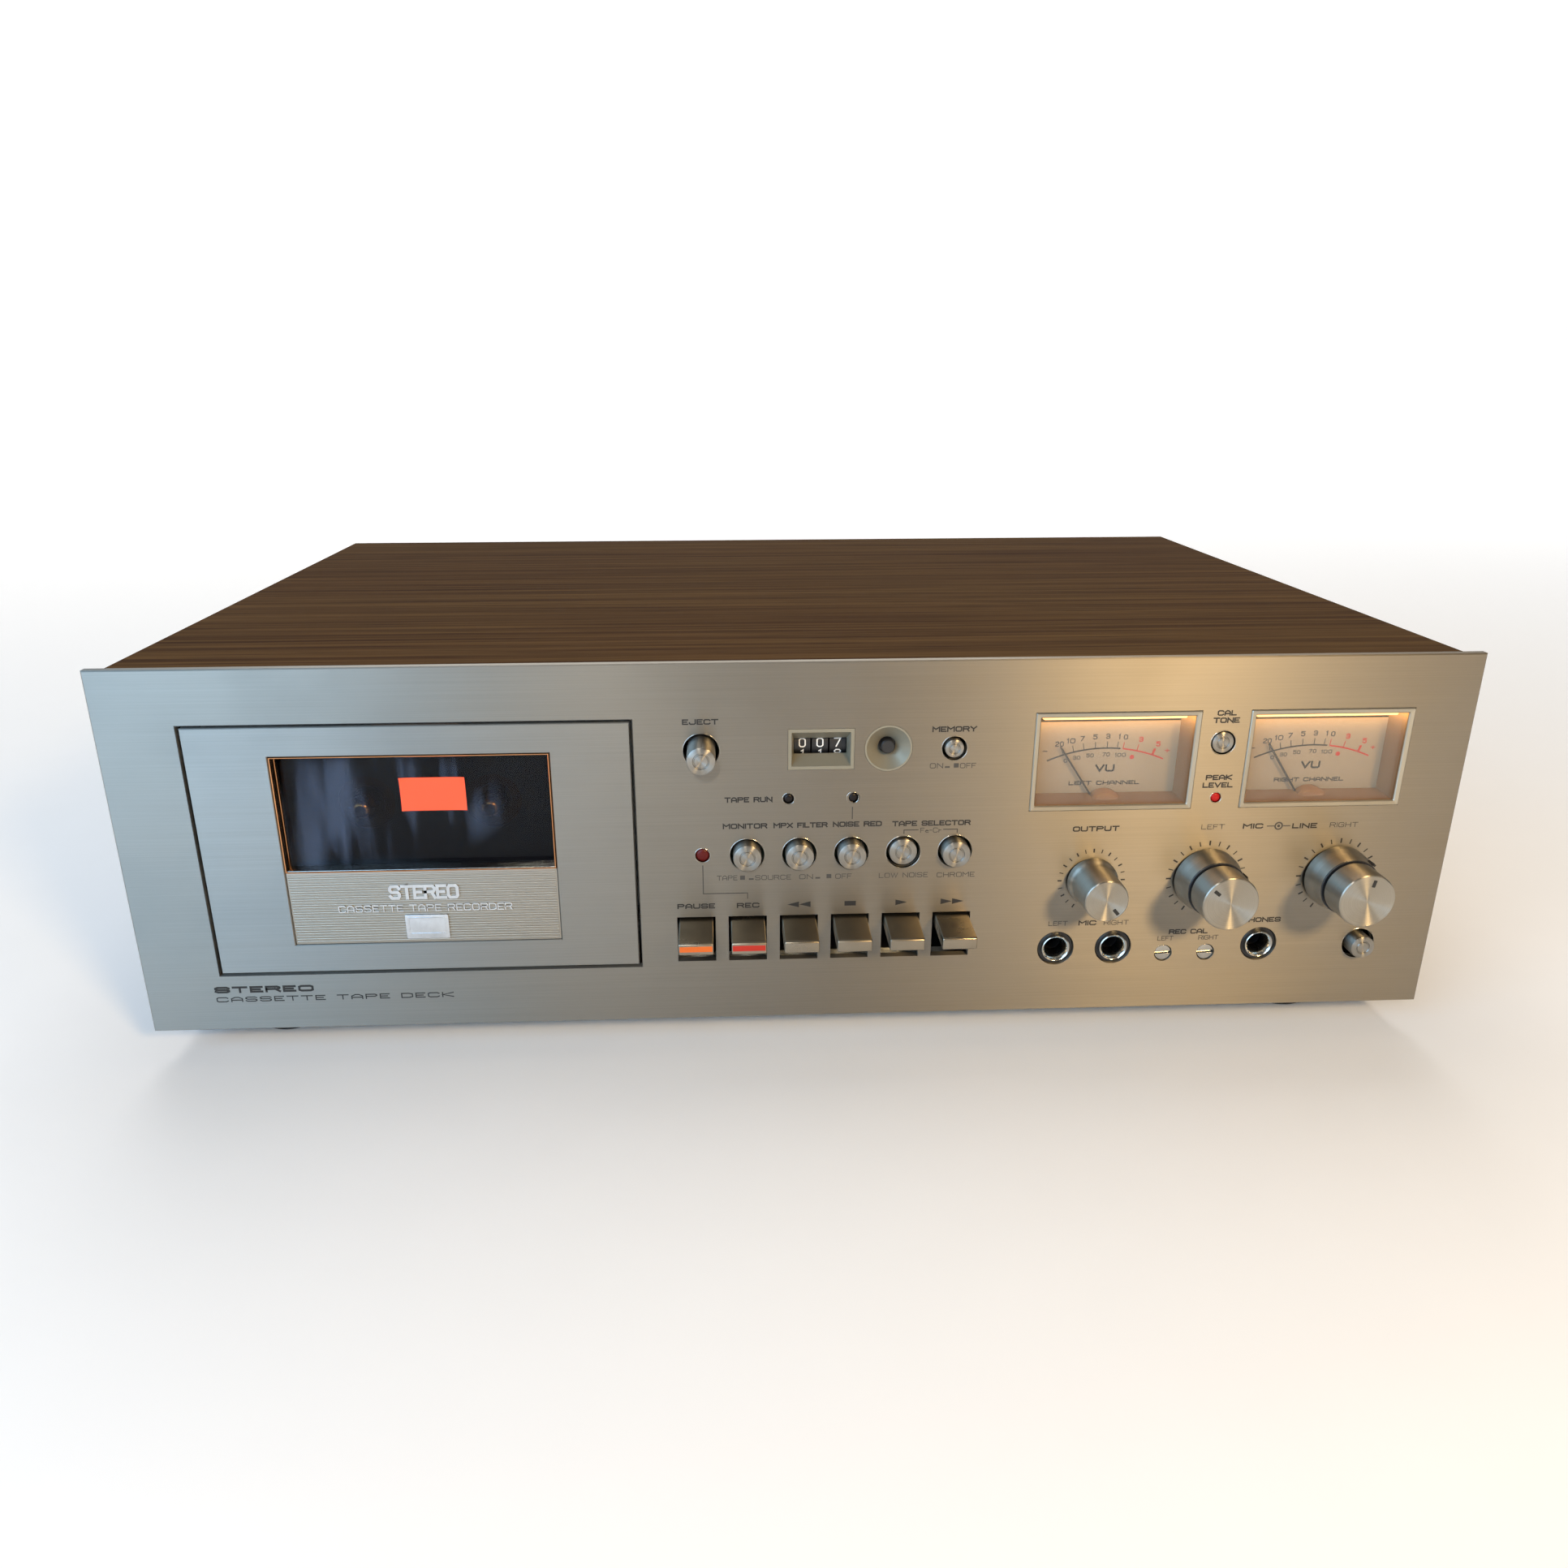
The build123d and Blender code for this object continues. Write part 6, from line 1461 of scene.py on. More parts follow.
@dataclass
class TapeDoor:
    """The door plate, its window and the ribbed plate with its raised words."""

    rib_pitch: float = 0.95
    rib_width: float = 0.62
    rib_height: float = 0.56
    rib_stand: float = 0.3
    trim: float = 0.55
    plaque: tuple[float, float] = (14.3, 8.7)
    sticker: tuple[float, float] = (21.0, 11.4)

    def build(self) -> None:
        """Dresses the door and adds what is fixed to it."""
        dress(DOOR_METAL, "door_panel")
        dress(BLACK, "window_frame", "cassette_holder")
        dress(SMOKED, "window_pane")
        self.ribs()
        self.words()
        self.window_trim()
        self.paper_sticker()

    def ribs(self) -> None:
        """The ribbed plate, its ribs half-round."""
        low, high = span("ribbed_plate")
        width, tall, thick = high.x - low.x, high.y - low.y, high.z - low.z - self.rib_stand
        base = slab(rectangle(width, tall, 0.3), 0.0, thick, 0.12).moved(Matrix.Translation((0, 0, -thick)))
        place = deck_place(*middle("ribbed_plate"), low.z) @ Matrix.Translation((0, 0, thick))
        values = {"Count": int(tall / self.rib_pitch) - 1, "Pitch": self.rib_pitch, "Length": width - 1.2,
                  "Width": self.rib_width, "Height": self.rib_height}
        rib_row().make("ribbed_plate_ribs", RIBBED, place, values, "door", ("ribbed_plate",), base)

    def words(self) -> None:
        """Raised silver words and a blank plaque."""
        x, _ = middle("ribbed_plate")
        low = span("ribbed_plate")[0].y
        face = span("ribbed_plate")[1].z - 0.1
        big = lettering("STEREO", x, low + 18.6, 23.0, 5.2, Weight.PLAIN, 0.5)
        small = lettering("CASSETTE TAPE RECORDER", x, low + 12.8, 57.0, 2.6, Weight.LIGHT, 0.3)
        make_piece("raised_words", big.add(small).placed(0, 0, face), RAISED_SILVER, "door")
        width, tall = self.plaque
        plaque = slab(rectangle(width, tall, 0.5), -0.1, 0.5, 0.12)
        plaque.add(frame_ring(rectangle(width - 2.0, tall - 2.6, 0.3), rectangle(width - 2.7, tall - 3.3, 0.2),
                              0.45, 0.62, 0.04).moved(Matrix.Translation((0, 0.4, 0))))
        make_piece("blank_plaque", plaque.placed(x, low + 5.9, face), RAISED_SILVER, "door")

    def window_trim(self) -> None:
        """Thin bronze edging round the pane, and the lip under it."""
        low, high = span("window_pane")
        width, tall = high.x - low.x, high.y - low.y
        ring = frame_ring(rectangle(width - 0.02, tall - 0.02),
                          rectangle(width - 2 * self.trim, tall - 2 * self.trim), high.z, high.z + 1.1, 0.15)
        x, height = middle("window_pane")
        make_piece("window_edging", ring.placed(x, height), COPPER_TRIM, "door")
        brow = frame_ring(rectangle(width - 0.3, tall - 0.3), rectangle(width - 1.1, tall - 1.1), -2.2, -0.05, 0.1)
        make_piece("window_brow", brow.placed(x, height), COPPER_TRIM, "door")
        lip = slab(rectangle(width, 0.8, 0.3), -4.9, -0.5, 0.25)
        make_piece("window_lip", lip.placed(x, low.y + 0.35), PLAIN_NICKEL, "door")

    def paper_sticker(self) -> None:
        """A blank bright paper label stuck to the pane, its corners lifting a little."""
        low, high = span("window_pane")
        x = (low.x + high.x) / 2 + 5.2
        width, tall = self.sticker
        columns, rows = 16, 8
        outline_count = (columns + 1) * (rows + 1)
        form = Form()
        for side in (0.0, 0.14):
            for row in range(rows + 1):
                for column in range(columns + 1):
                    u, v = column / columns - 0.5, row / rows - 0.5
                    lift = 0.35 * (abs(2 * u) * abs(2 * v)) ** 6
                    form.points.append(Vector((u * width, v * tall, side + 0.05 + lift)))
        for row in range(rows):
            for column in range(columns):
                a = row * (columns + 1) + column
                quad = (a, a + 1, a + columns + 2, a + columns + 1)
                form.faces.append(quad[::-1])
                form.faces.append(tuple(index + outline_count for index in quad))
        rim = list(range(columns)) + [columns + r * (columns + 1) for r in range(rows)]
        rim += [rows * (columns + 1) + c for c in range(columns, 0, -1)]
        rim += [r * (columns + 1) for r in range(rows, 0, -1)]
        for place, here in enumerate(rim):
            there = rim[(place + 1) % len(rim)]
            form.faces.append((here, there, there + outline_count, here + outline_count))
        make_piece("paper_sticker", form.placed(x, low.y + 25.2, high.z), STICKER, "door")


@dataclass
class Transport:
    """Reels, capstans, belt, motor, heads and the lamp over the cassette."""

    belt_width: float = 5.0
    belt_thickness: float = 0.8
    lamp_radius: float = 1.6
    flywheel_run: float = 21.5
    pulley_run: float = 5.3

    def build(self) -> None:
        """Dresses the moving works and adds the belt, the lamp and the head faces."""
        dress(ZINC, "transport_plate", "key_bracket", "drive_motor", "head_base")
        dress(REEL_BRONZE, "supply_reel", "takeup_reel")
        dress(ROLLER_RUBBER, "supply_pinch_roller", "takeup_pinch_roller")
        self.spindle_caps()
        self.flywheels()
        self.belt()
        self.lamp()
        self.heads()

    def spindle_caps(self) -> None:
        """Brass-coloured caps on the drive spindles."""
        for reel in ("supply_reel", "takeup_reel"):
            x, height, _ = pivot(reel + "_spin")
            tip = span(reel)[1].z
            profile = [(0, tip - 6.0), (4.5, tip - 6.0), (4.5, tip - 3.4), (3.5, tip - 2.4), (3.25, tip - 1.5),
                       (2.6, tip - 0.5), (1.2, tip - 0.05), (0, tip)]
            make_piece(reel + "_cap", lathe(profile, 40).placed(x, height), SPINDLE_GOLD, reel, (), 50.0)

    def flywheels(self) -> None:
        """Flywheels with a rim and a web, each one piece with its capstan."""
        for name in ("supply_flywheel", "takeup_flywheel"):
            x, height, face = pivot(name + "_spin")
            low, high = span(name)
            r, shaft, back, web = (high.x - low.x) / 2, 1.25, face - 8.0, 1.6
            profile = [(0, low.z), (shaft, low.z), (shaft, back), (5.0, back), (5.0, back + web),
                       (r - 4.0, back + web + 0.4), (r - 3.4, back), (r - 0.5, back), (r, back + 0.5),
                       (r, face - 0.5), (r - 0.5, face), (r - 3.4, face), (r - 4.0, face - web), (5.0, face - web),
                       (4.4, face), (shaft, face), (shaft, high.z - 0.4), (shaft - 0.3, high.z), (0, high.z)]
            make_piece(name + "_turned", lathe(profile, 96).placed(x, height), CAPSTAN_STEEL, name, (name,), 40.0)
        x, height, face = pivot("motor_pulley_spin")
        low, high = span("motor_pulley")
        profile = [(0, low.z), (1.5, low.z), (1.5, face - 8), (6, face - 8), (6, face - 7.3), (5.1, face - 6.6),
                   (5.3, face - 4), (5.1, face - 1.4), (6, face - 0.7), (6, face), (2.4, face), (2.0, face - 0.5),
                   (0, face - 0.5)]
        make_piece("motor_pulley_crowned", lathe(profile, 64).placed(x, height), NICKEL, "motor_pulley",
                   ("motor_pulley",), 40.0)

    def belt(self) -> None:
        """The flat belt round both flywheels and the motor pulley."""
        rounds = []
        runs = {"supply_flywheel_spin": self.flywheel_run, "takeup_flywheel_spin": self.flywheel_run,
                "motor_pulley_spin": self.pulley_run}
        for joint, radius in runs.items():
            x, height, _ = pivot(joint)
            rounds += [(x + u, height + v) for u, v in circle(radius + 0.05, 180)]
        hull = [rounds[index] for index in convex_hull_2d(rounds)]
        face = pivot("takeup_flywheel_spin")[2] - 1.5
        outer = inset(hull, -self.belt_thickness)
        area = sum(a[0] * b[1] - b[0] * a[1] for a, b in zip(hull, hull[1:] + hull[:1]))
        if area < 0:
            hull, outer = hull[::-1], inset(hull[::-1], -self.belt_thickness)
        belt = frame_ring(outer, hull, face - self.belt_width, face)
        make_piece("drive_belt", belt.placed(0, 0), BELT_RUBBER)

    def lamp(self) -> None:
        """The small warm lamp above the cassette."""
        x, _, _ = pivot("motor_pulley_spin")
        top = span("door_panel")[1].y
        profile = [(0, -14), (self.lamp_radius, -13.4), (self.lamp_radius, 13.4), (0, 14)]
        lamp = lathe(profile, 32).placed(x, top + 2.6 + self.lamp_radius, -12.0, facing=Facing.SIDE)
        glow = Glowing("cassette_lamp", (1.0, 0.6, 0.3), glow=(1.0, 0.45, 0.15), strength=0.12, low=-1.0, high=-0.5)
        make_piece("cassette_lamp_tube", lamp, glow)

    def heads(self) -> None:
        """Polished faces of the record and play head and the erase head."""
        high = span("head_base")[1]
        x = pivot("motor_pulley_spin")[0]
        polished = Form()
        for shift, width in ((0.0, 9.0), (-14.0, 3.6)):
            shell = slab(rectangle(width, 6.6, 0.6), 0.0, 0.25, 0.1)
            polished.add(shell.placed(x + shift, high.y - 5.0, high.z))
        make_piece("head_shields", polished, PLAIN_NICKEL, "head_base")


@dataclass
class PianoKeys:
    """Six levers with rounded noses, two of them with a coloured inlay."""

    out: float = 16.0
    thickness: float = 4.3
    nose_round: float = 1.0
    ease: float = 0.4
    boss: float = 3.4
    inlay: float = 2.0
    inlay_height: float = 34.9
    nose_top: float = 37.0
    face_top: float = 38.0

    def outline(self, joint: tuple[float, float, float]) -> Outline:
        """The side view, as depth and height, turning left.

        Args:
            joint: Its pivot's x, height and out.

        Returns:
            The closed outline.
        """
        depth, height = -joint[2], joint[1]
        nose_top, face_top, r = self.nose_top, self.face_top, self.nose_round
        points = [(-self.out + 0.35, nose_top - self.thickness), (0.0, face_top - self.thickness)]
        points += [(depth + self.boss * cos(radians(a)), height + self.boss * sin(radians(a)))
                   for a in range(-90, 91, 15)]
        points += [(0.0, face_top)]
        points += [(-self.out + r + r * cos(radians(a)), nose_top - r + r * sin(radians(a)))
                   for a in range(86, 181, 12)]
        points += [(-self.out, nose_top - self.thickness + 0.35)]
        return points

    def build(self) -> None:
        """Makes each key and its inlay."""
        for name in ("pause", "record", "rewind", "stop", "play", "fast_forward"):
            node = name + "_key"
            low, high = span(node)
            joint = pivot(node + "_press")
            half = (high.x - low.x) / 2
            lever = slab(self.outline(joint), -half, half, self.ease, both=True)
            make_piece(node + "_lever", lever.placed(joint[0], 0, facing=Facing.SIDE), BRONZE, node, (node,), 28.0)
            if name in ("pause", "record"):
                bar = slab(rectangle(2 * half - 0.7, self.inlay, 0.15), -0.3, 0.05, 0.05)
                finish = ORANGE_INLAY if name == "pause" else RED_INLAY
                make_piece(node + "_inlay", bar.placed(joint[0], self.inlay_height, self.out - 0.02), finish, node)


@dataclass
class PushButtons:
    """Turned caps of the push buttons, with a ring cut in each face."""

    ease: float = 0.4
    cap_length: float = 8.0
    stem: float = 1.8
    ring_share: float = 0.52

    def build(self) -> None:
        """Makes each cap with its stem."""
        for name in ("eject", "monitor", "filter", "noise_reduction", "tape_normal", "tape_chrome", "memory",
                     "cal_tone", "power"):
            node = name + "_button"
            low, high = span(node)
            x, height = middle(node)
            r, face, e, ring = (high.x - low.x) / 2, high.z, self.ease, (high.x - low.x) / 2 * self.ring_share
            back = -self.cap_length
            profile = [(0, low.z), (self.stem, low.z), (self.stem, back), (r, back), (r, face - e),
                       (r - e * 0.3, face - e * 0.3), (r - e, face), (ring + 0.3, face), (ring + 0.12, face - 0.25),
                       (ring - 0.12, face - 0.25), (ring - 0.3, face), (0, face)]
            make_piece(node + "_cap", lathe(profile, 72).placed(x, height), BUTTON_METAL, node, (node,))
        dress(BLACK, "reset_button")


@dataclass
class Knobs:
    """Output knob, and the level knobs in their outer rings, with the scales round them."""

    edge: float = 0.45
    mark: tuple[float, float] = (1.15, 2.5)

    def build(self) -> None:
        """Turns the knobs and prints the scales."""
        self.output()
        for channel, knob_mark, ring_mark in (("left", -51.0, 70.0), ("right", 12.0, 45.0)):
            self.level(channel, knob_mark, ring_mark)
        ticks = dial_ticks()
        x, height, _ = pivot("output_knob_turn")
        values = {"Count": 21, "Radius": 10.8, "Length": 1.4, "Wide": 0.5, "Fine": 0.33, "Sweep": radians(300)}
        ticks.make("output_scale", INK, deck_place(x, height), values)
        for channel in ("left", "right"):
            x, height, _ = pivot(channel + "_mic_knob_turn")
            values = {"Count": 21, "Radius": 12.75, "Length": 1.7, "Wide": 0.55, "Fine": 0.36,
                      "Sweep": radians(300)}
            ticks.make(channel + "_level_scale", INK, deck_place(x, height), values)

    def pointer(self, name: str, node: str, x: float, height: float, out: float, reach: float,
                angle: float) -> None:
        """A black line let into a knob's face.

        Args:
            name: The piece's name.
            node: The knob's body.
            x: The knob's middle.
            height: The knob's middle.
            out: Out distance of its face.
            reach: Radius of the line's middle.
            angle: Degrees clockwise from the top.
        """
        line = slab([(u, v + reach) for u, v in rectangle(*self.mark, 0.2)], -0.2, -0.02)
        turned = line.moved(Matrix.Rotation(-radians(angle), 4, "Z"))
        make_piece(name, turned.placed(x, height, out), INK, node)

    def output(self) -> None:
        """The output knob with its wider skirt."""
        x, height, _ = pivot("output_knob_turn")
        low, high = span("output_knob")
        r, skirt, face, e = 7.3, (high.x - low.x) / 2, high.z, self.edge
        profile = [(0, low.z), (3.5, low.z), (3.5, 0.8), (skirt, 0.8), (skirt, 2.6), (skirt - 0.25, 3.1),
                   (r + 0.5, 3.5), (r + 0.05, 4.2), (r, 5.0), (r, face - 2 * e), (r - e * 0.3, face - e * 0.6),
                   (r - e, face), (r - e - 0.25, face - 0.06), (0, face - 0.06)]
        make_piece("output_knob_turned", lathe(profile, 96).placed(x, height), TURNED, "output_knob",
                   ("output_knob",))
        self.pointer("output_pointer", "output_knob", x, height, face, 5.1, 139.0)

    def level(self, channel: str, knob_mark: float, ring_mark: float) -> None:
        """A level knob and its ring.

        Args:
            channel: Left or right.
            knob_mark: Where the knob points, in degrees clockwise.
            ring_mark: Where the ring's mark stands.
        """
        knob, ring = channel + "_mic_knob", channel + "_line_ring"
        x, height, _ = pivot(knob + "_turn")
        low, high = span(ring)
        r, neck, face = (high.x - low.x) / 2, 9.9, high.z
        profile = [(2.1, low.z), (3.5, low.z), (3.5, 0.8), (r, 0.8), (r, 3.6), (r - 0.2, 4.3), (neck + 0.45, 5.5),
                   (neck + 0.3, 6.0), (neck + 0.05, face - 1.0), (neck - 0.1, face - 0.3), (neck - 0.5, face),
                   (2.1, face)]
        make_piece(ring + "_turned", lathe(profile, 96, hollow=True).placed(x, height), TURNED, ring, (ring,))
        notch = slab([(u, v + neck + 0.6) for u, v in rectangle(0.9, 0.8)], 5.6, face - 0.7, 0.1)
        notch = notch.moved(Matrix.Rotation(-radians(ring_mark), 4, "Z"))
        make_piece(ring + "_mark", notch.placed(x, height), INK, ring)
        low, high = span(knob)
        r, front, e = (high.x - low.x) / 2, high.z, self.edge
        back = face + 0.8
        profile = [(0, low.z), (2.0, low.z), (2.0, back), (r - 0.6, back), (r, back + 0.5), (r, front - 2 * e),
                   (r - e * 0.3, front - e * 0.6), (r - e, front), (r - e - 0.25, front - 0.06), (0, front - 0.06)]
        make_piece(knob + "_turned", lathe(profile, 96).placed(x, height), TURNED, knob, (knob,))
        # A black ring between the knob and its ring: painted shade that shows the gap between them as a dark line.
        gap_painted_shade = lathe([(2.2, face - 0.3), (neck - 0.12, face - 0.3), (neck - 0.12, face + 0.1),
                        (neck - 0.3, face + 0.22), (2.2, face + 0.22)], 80, hollow=True)
        make_piece(ring + "_gap_painted_shade", gap_painted_shade.placed(x, height), BLACK, ring)
        self.pointer(channel + "_pointer", knob, x, height, front, 6.3, knob_mark)


@dataclass
class Meters:
    """Two level meters with printed cards, needles, hoods and bright rims; the cards, wells and hoods glow with
    painted lamplight.
    """

    arc_radius: float = 48.4
    arc_top: float = 93.2
    card_out: float = -9.2
    width: float = 54.0
    lens_lap: float = 3.6
    case_height: float = 87.75
    tick: float = 2.3
    red_from: float = 5.9
    rim: float = 1.7

    def build(self) -> None:
        """Makes both meters."""
        dress(LENS, "meter_lenses")
        dress(NEEDLE_BLACK, "left_needle", "right_needle")
        low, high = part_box("meter_dials")
        # The card glows from its top down: painted light from the meter lamp, the card being no lamp.
        card = Glowing("painted_lamplight_card", (0.25, 0.185, 0.115), 0.6, slot="dial_white", glow=(1.0, 0.46, 0.13),
                       strength=0.5, low=low.z, high=high.z + 0.002)
        dress(card, "meter_dials")
        prints = {"black": Form(), "red": Form(), "grey": Form()}
        for channel in ("left", "right"):
            x, height, _ = pivot(channel + "_needle_swing")
            self.card(channel, x, prints)
            self.surround(channel, x, height, low.z, high.z)
        make_piece("meter_card_print", prints["black"].placed(0, 0, self.card_out), INK)
        make_piece("meter_card_red_print", prints["red"].placed(0, 0, self.card_out), RED_INLAY)
        make_piece("meter_card_figures", prints["grey"].placed(0, 0, self.card_out), CARD_INK)

    def on_arc(self, x: float, angle: float, beyond: float = 0.0) -> tuple[float, float]:
        """A point of the scale's arc, an angle in degrees right of its top.

        Args:
            x: The card's middle.
            angle: The angle.
            beyond: How far outside the arc the point lies.

        Returns:
            Its x and height.
        """
        radius = self.arc_radius + beyond
        centre = self.arc_top - self.arc_radius
        return x + radius * sin(radians(angle)), centre + radius * cos(radians(angle))

    def card(self, channel: str, x: float, prints: dict[str, Form]) -> None:
        """Prints one card.

        Args:
            channel: Left or right.
            x: The card's middle.
            prints: Forms to add to, by colour.
        """
        sweep = [-24.0 + 29.6 * step / 24 for step in range(25)]
        prints["black"].add(ribbon([self.on_arc(x, angle) for angle in sweep], 0.5, 0.0, 0.04))
        sweep = [6.6 + 17.2 * step / 16 for step in range(17)]
        prints["red"].add(ribbon([self.on_arc(x, angle) for angle in sweep], 0.5, 0.0, 0.04))
        marks = [(-17.3, "20"), (-13.1, "10"), (-9.0, "7"), (-4.4, "5"), (0.2, "3"), (4.3, "1"), (6.6, "0"),
                 (12.3, "3"), (18.9, "5")]
        for angle, figure in marks:
            ink = prints["red"] if angle > self.red_from else prints["black"]
            heavy = 0.75 if figure == "5" and angle > 0 else 0.24
            ink.add(ribbon([self.on_arc(x, angle), self.on_arc(x, angle, self.tick)], heavy, 0.0, 0.04))
            spot = self.on_arc(x, angle * 1.02, self.tick + 1.8)
            target = prints["red"] if angle > 10 else prints["grey"]
            wide = 0.6 if figure == "1" else 1.45 * len(figure)
            target.add(lettering(figure, spot[0], spot[1], wide, 1.8, Weight.PLAIN, 0.04))
        for angle, figure in ((-16.9, "0"), (-12.2, "30"), (-6.6, "50"), (0.1, "70"), (6.1, "100")):
            spot = self.on_arc(x, angle, -2.2)
            prints["grey"].add(lettering(figure, spot[0], spot[1], 1.25 * len(figure), 1.4, Weight.PLAIN, 0.04))
        dot = self.on_arc(x, 11.1, -2.4)
        disc = lathe([(0, 0), (0.75, 0), (0.75, 0.04), (0, 0.04)], 24)
        prints["red"].add(disc.moved(Matrix.Translation((*dot, 0))))
        prints["grey"].add(lettering("-", x - 20.6, self.arc_top - 0.8, 1.6, 1.8, Weight.PLAIN, 0.04))
        prints["red"].add(lettering("+", x + 20.6, self.arc_top - 1.2, 1.8, 1.9, Weight.LIGHT, 0.04))
        prints["black"].add(lettering("VU", x + 0.1, 86.2, 6.6, 2.6, Weight.BOLD, 0.04))
        prints["black"].add(lettering(f"{channel.upper()} CHANNEL", x + 0.3, 81.0, 24.0, 1.45, Weight.BOLD, 0.04))

    def surround(self, channel: str, x: float, pivot_height: float, card_low: float, card_high: float) -> None:
        """The bright rim, the amber well and the hood over the needle's pivot, which glow with painted lamplight,
        and the lamp bar.

        Args:
            channel: Left or right.
            x: The meter's middle.
            pivot_height: Height of the needle's axis.
            card_low: Lowest z of the cards, in metres.
            card_high: Highest z of the cards, in metres.
        """
        low, high = span("meter_lenses")
        width, tall = self.width, high.y - low.y + self.lens_lap
        height = (low.y + high.y) / 2
        sight = (width - 2 * self.rim, tall - 2 * self.rim)
        rim = frame_ring(rectangle(width, tall, 0.5), rectangle(*sight, 0.3), -3.0, 0.45, 0.3, 0.25)
        stands_for = ("meter_housings",) if channel == "left" else ()
        make_piece(channel + "_meter_rim", rim.placed(x, height), METER_RIM, "cabinet", stands_for)
        well = loft([(rectangle(sight[0] + 1.2, sight[1] + 1.2, 0.3), -9.1),
                     (rectangle(sight[0] + 1.2, sight[1] + 1.2, 0.3), -0.6),
                     (rectangle(sight[0] - 0.1, sight[1] - 0.1, 0.3), -0.6),
                     (rectangle(sight[0] - 2.6, sight[1] - 2.4, 0.3), -9.1)], ring=True)
        # The well's walls glow amber, strongest at the top: painted lamplight, the well being no lamp.
        amber = Glowing("amber_well_painted_glow", (0.17, 0.085, 0.035), 0.12, slot="champagne_plastic", glow=(1.0, 0.42, 0.10),
                        strength=0.42, low=card_low, high=card_high + 0.003)
        make_piece(channel + "_meter_well", well.placed(x, height), amber)
        lamp = slab(rectangle(sight[0] - 3.2, 1.3, 0.6), -8.6, -3.2, 0.4, both=True)
        light = Glowing("meter_lamp", (1.0, 0.55, 0.20), glow=(1.0, 0.58, 0.20), strength=0.62, low=-1.0, high=-0.5)
        make_piece(channel + "_meter_lamp", lamp.placed(x, height + sight[1] / 2 - 1.1), light)
        hood = loft([([(5.0 * s * cos(radians(a)), max(0.0, 3.6 * s * sin(radians(a)))) for a in range(0, 181, 12)],
                      out) for s, out in ((1.0, -8.4), (1.0, -5.6), (0.82, -4.4), (0.5, -4.0))])
        # The hood glows amber: painted lamplight, the hood being no lamp.
        shell = Glowing("amber_hood_painted_glow", (0.22, 0.10, 0.035), 0.08, slot="champagne_plastic", glow=(1.0, 0.45, 0.15),
                        strength=0.22, low=card_low - 0.01, high=card_high)
        make_piece(channel + "_needle_hood", hood.placed(x, pivot_height + 5.2), shell)
        box = frame_ring(rectangle(56.0, 43.4, 0.8), rectangle(53.0, 40.4, 0.5), -17.9, -3.1)
        lid = slab(rectangle(56.0, 43.4, 0.8), -17.95, -16.6, 0.2)
        make_piece(channel + "_meter_case", box.add(lid).placed(x, self.case_height), CHAMPAGNE)


@dataclass
class Counter:
    """Figures on the counter's wheels, and its moulding."""

    radius: float = 6.2
    figure: tuple[float, float] = (2.3, 3.1)
    lift: float = 7.0
    shown: tuple[tuple[str, int], ...] = (("hundreds_wheel", 0), ("tens_wheel", 0), ("units_wheel", 7))

    def build(self) -> None:
        """Dresses the moulding and numbers the wheels."""
        dress(CHAMPAGNE, "counter_housing")
        dress(WHEEL_BLACK, *(name for name, _ in self.shown))
        for name, figure in self.shown:
            self.number(name, figure)

    def number(self, wheel: str, shown: int) -> None:
        """Ten figures round a wheel.

        Args:
            wheel: The wheel's node.
            shown: The figure that faces the user.
        """
        x, height, out = pivot(wheel + "_spin")
        figures = Form()
        for digit in range(10):
            wide = self.figure[0] if digit != 1 else 1.0
            flat = lettering(str(digit), 0, 0, wide, self.figure[1], Weight.LIGHT, 0.06, 0.35)
            turn = radians((shown - digit) * 36.0 + self.lift)
            bent = []
            for point in flat.points:
                angle, reach = turn + point.y / self.radius, self.radius + point.z - 0.02
                bent.append(Vector((point.x, reach * sin(angle), reach * cos(angle))))
            figures.add(Form(bent, flat.faces, flat.turning))
        make_piece(wheel + "_figures", figures.placed(x, height, out), WHITE_INK, wheel)


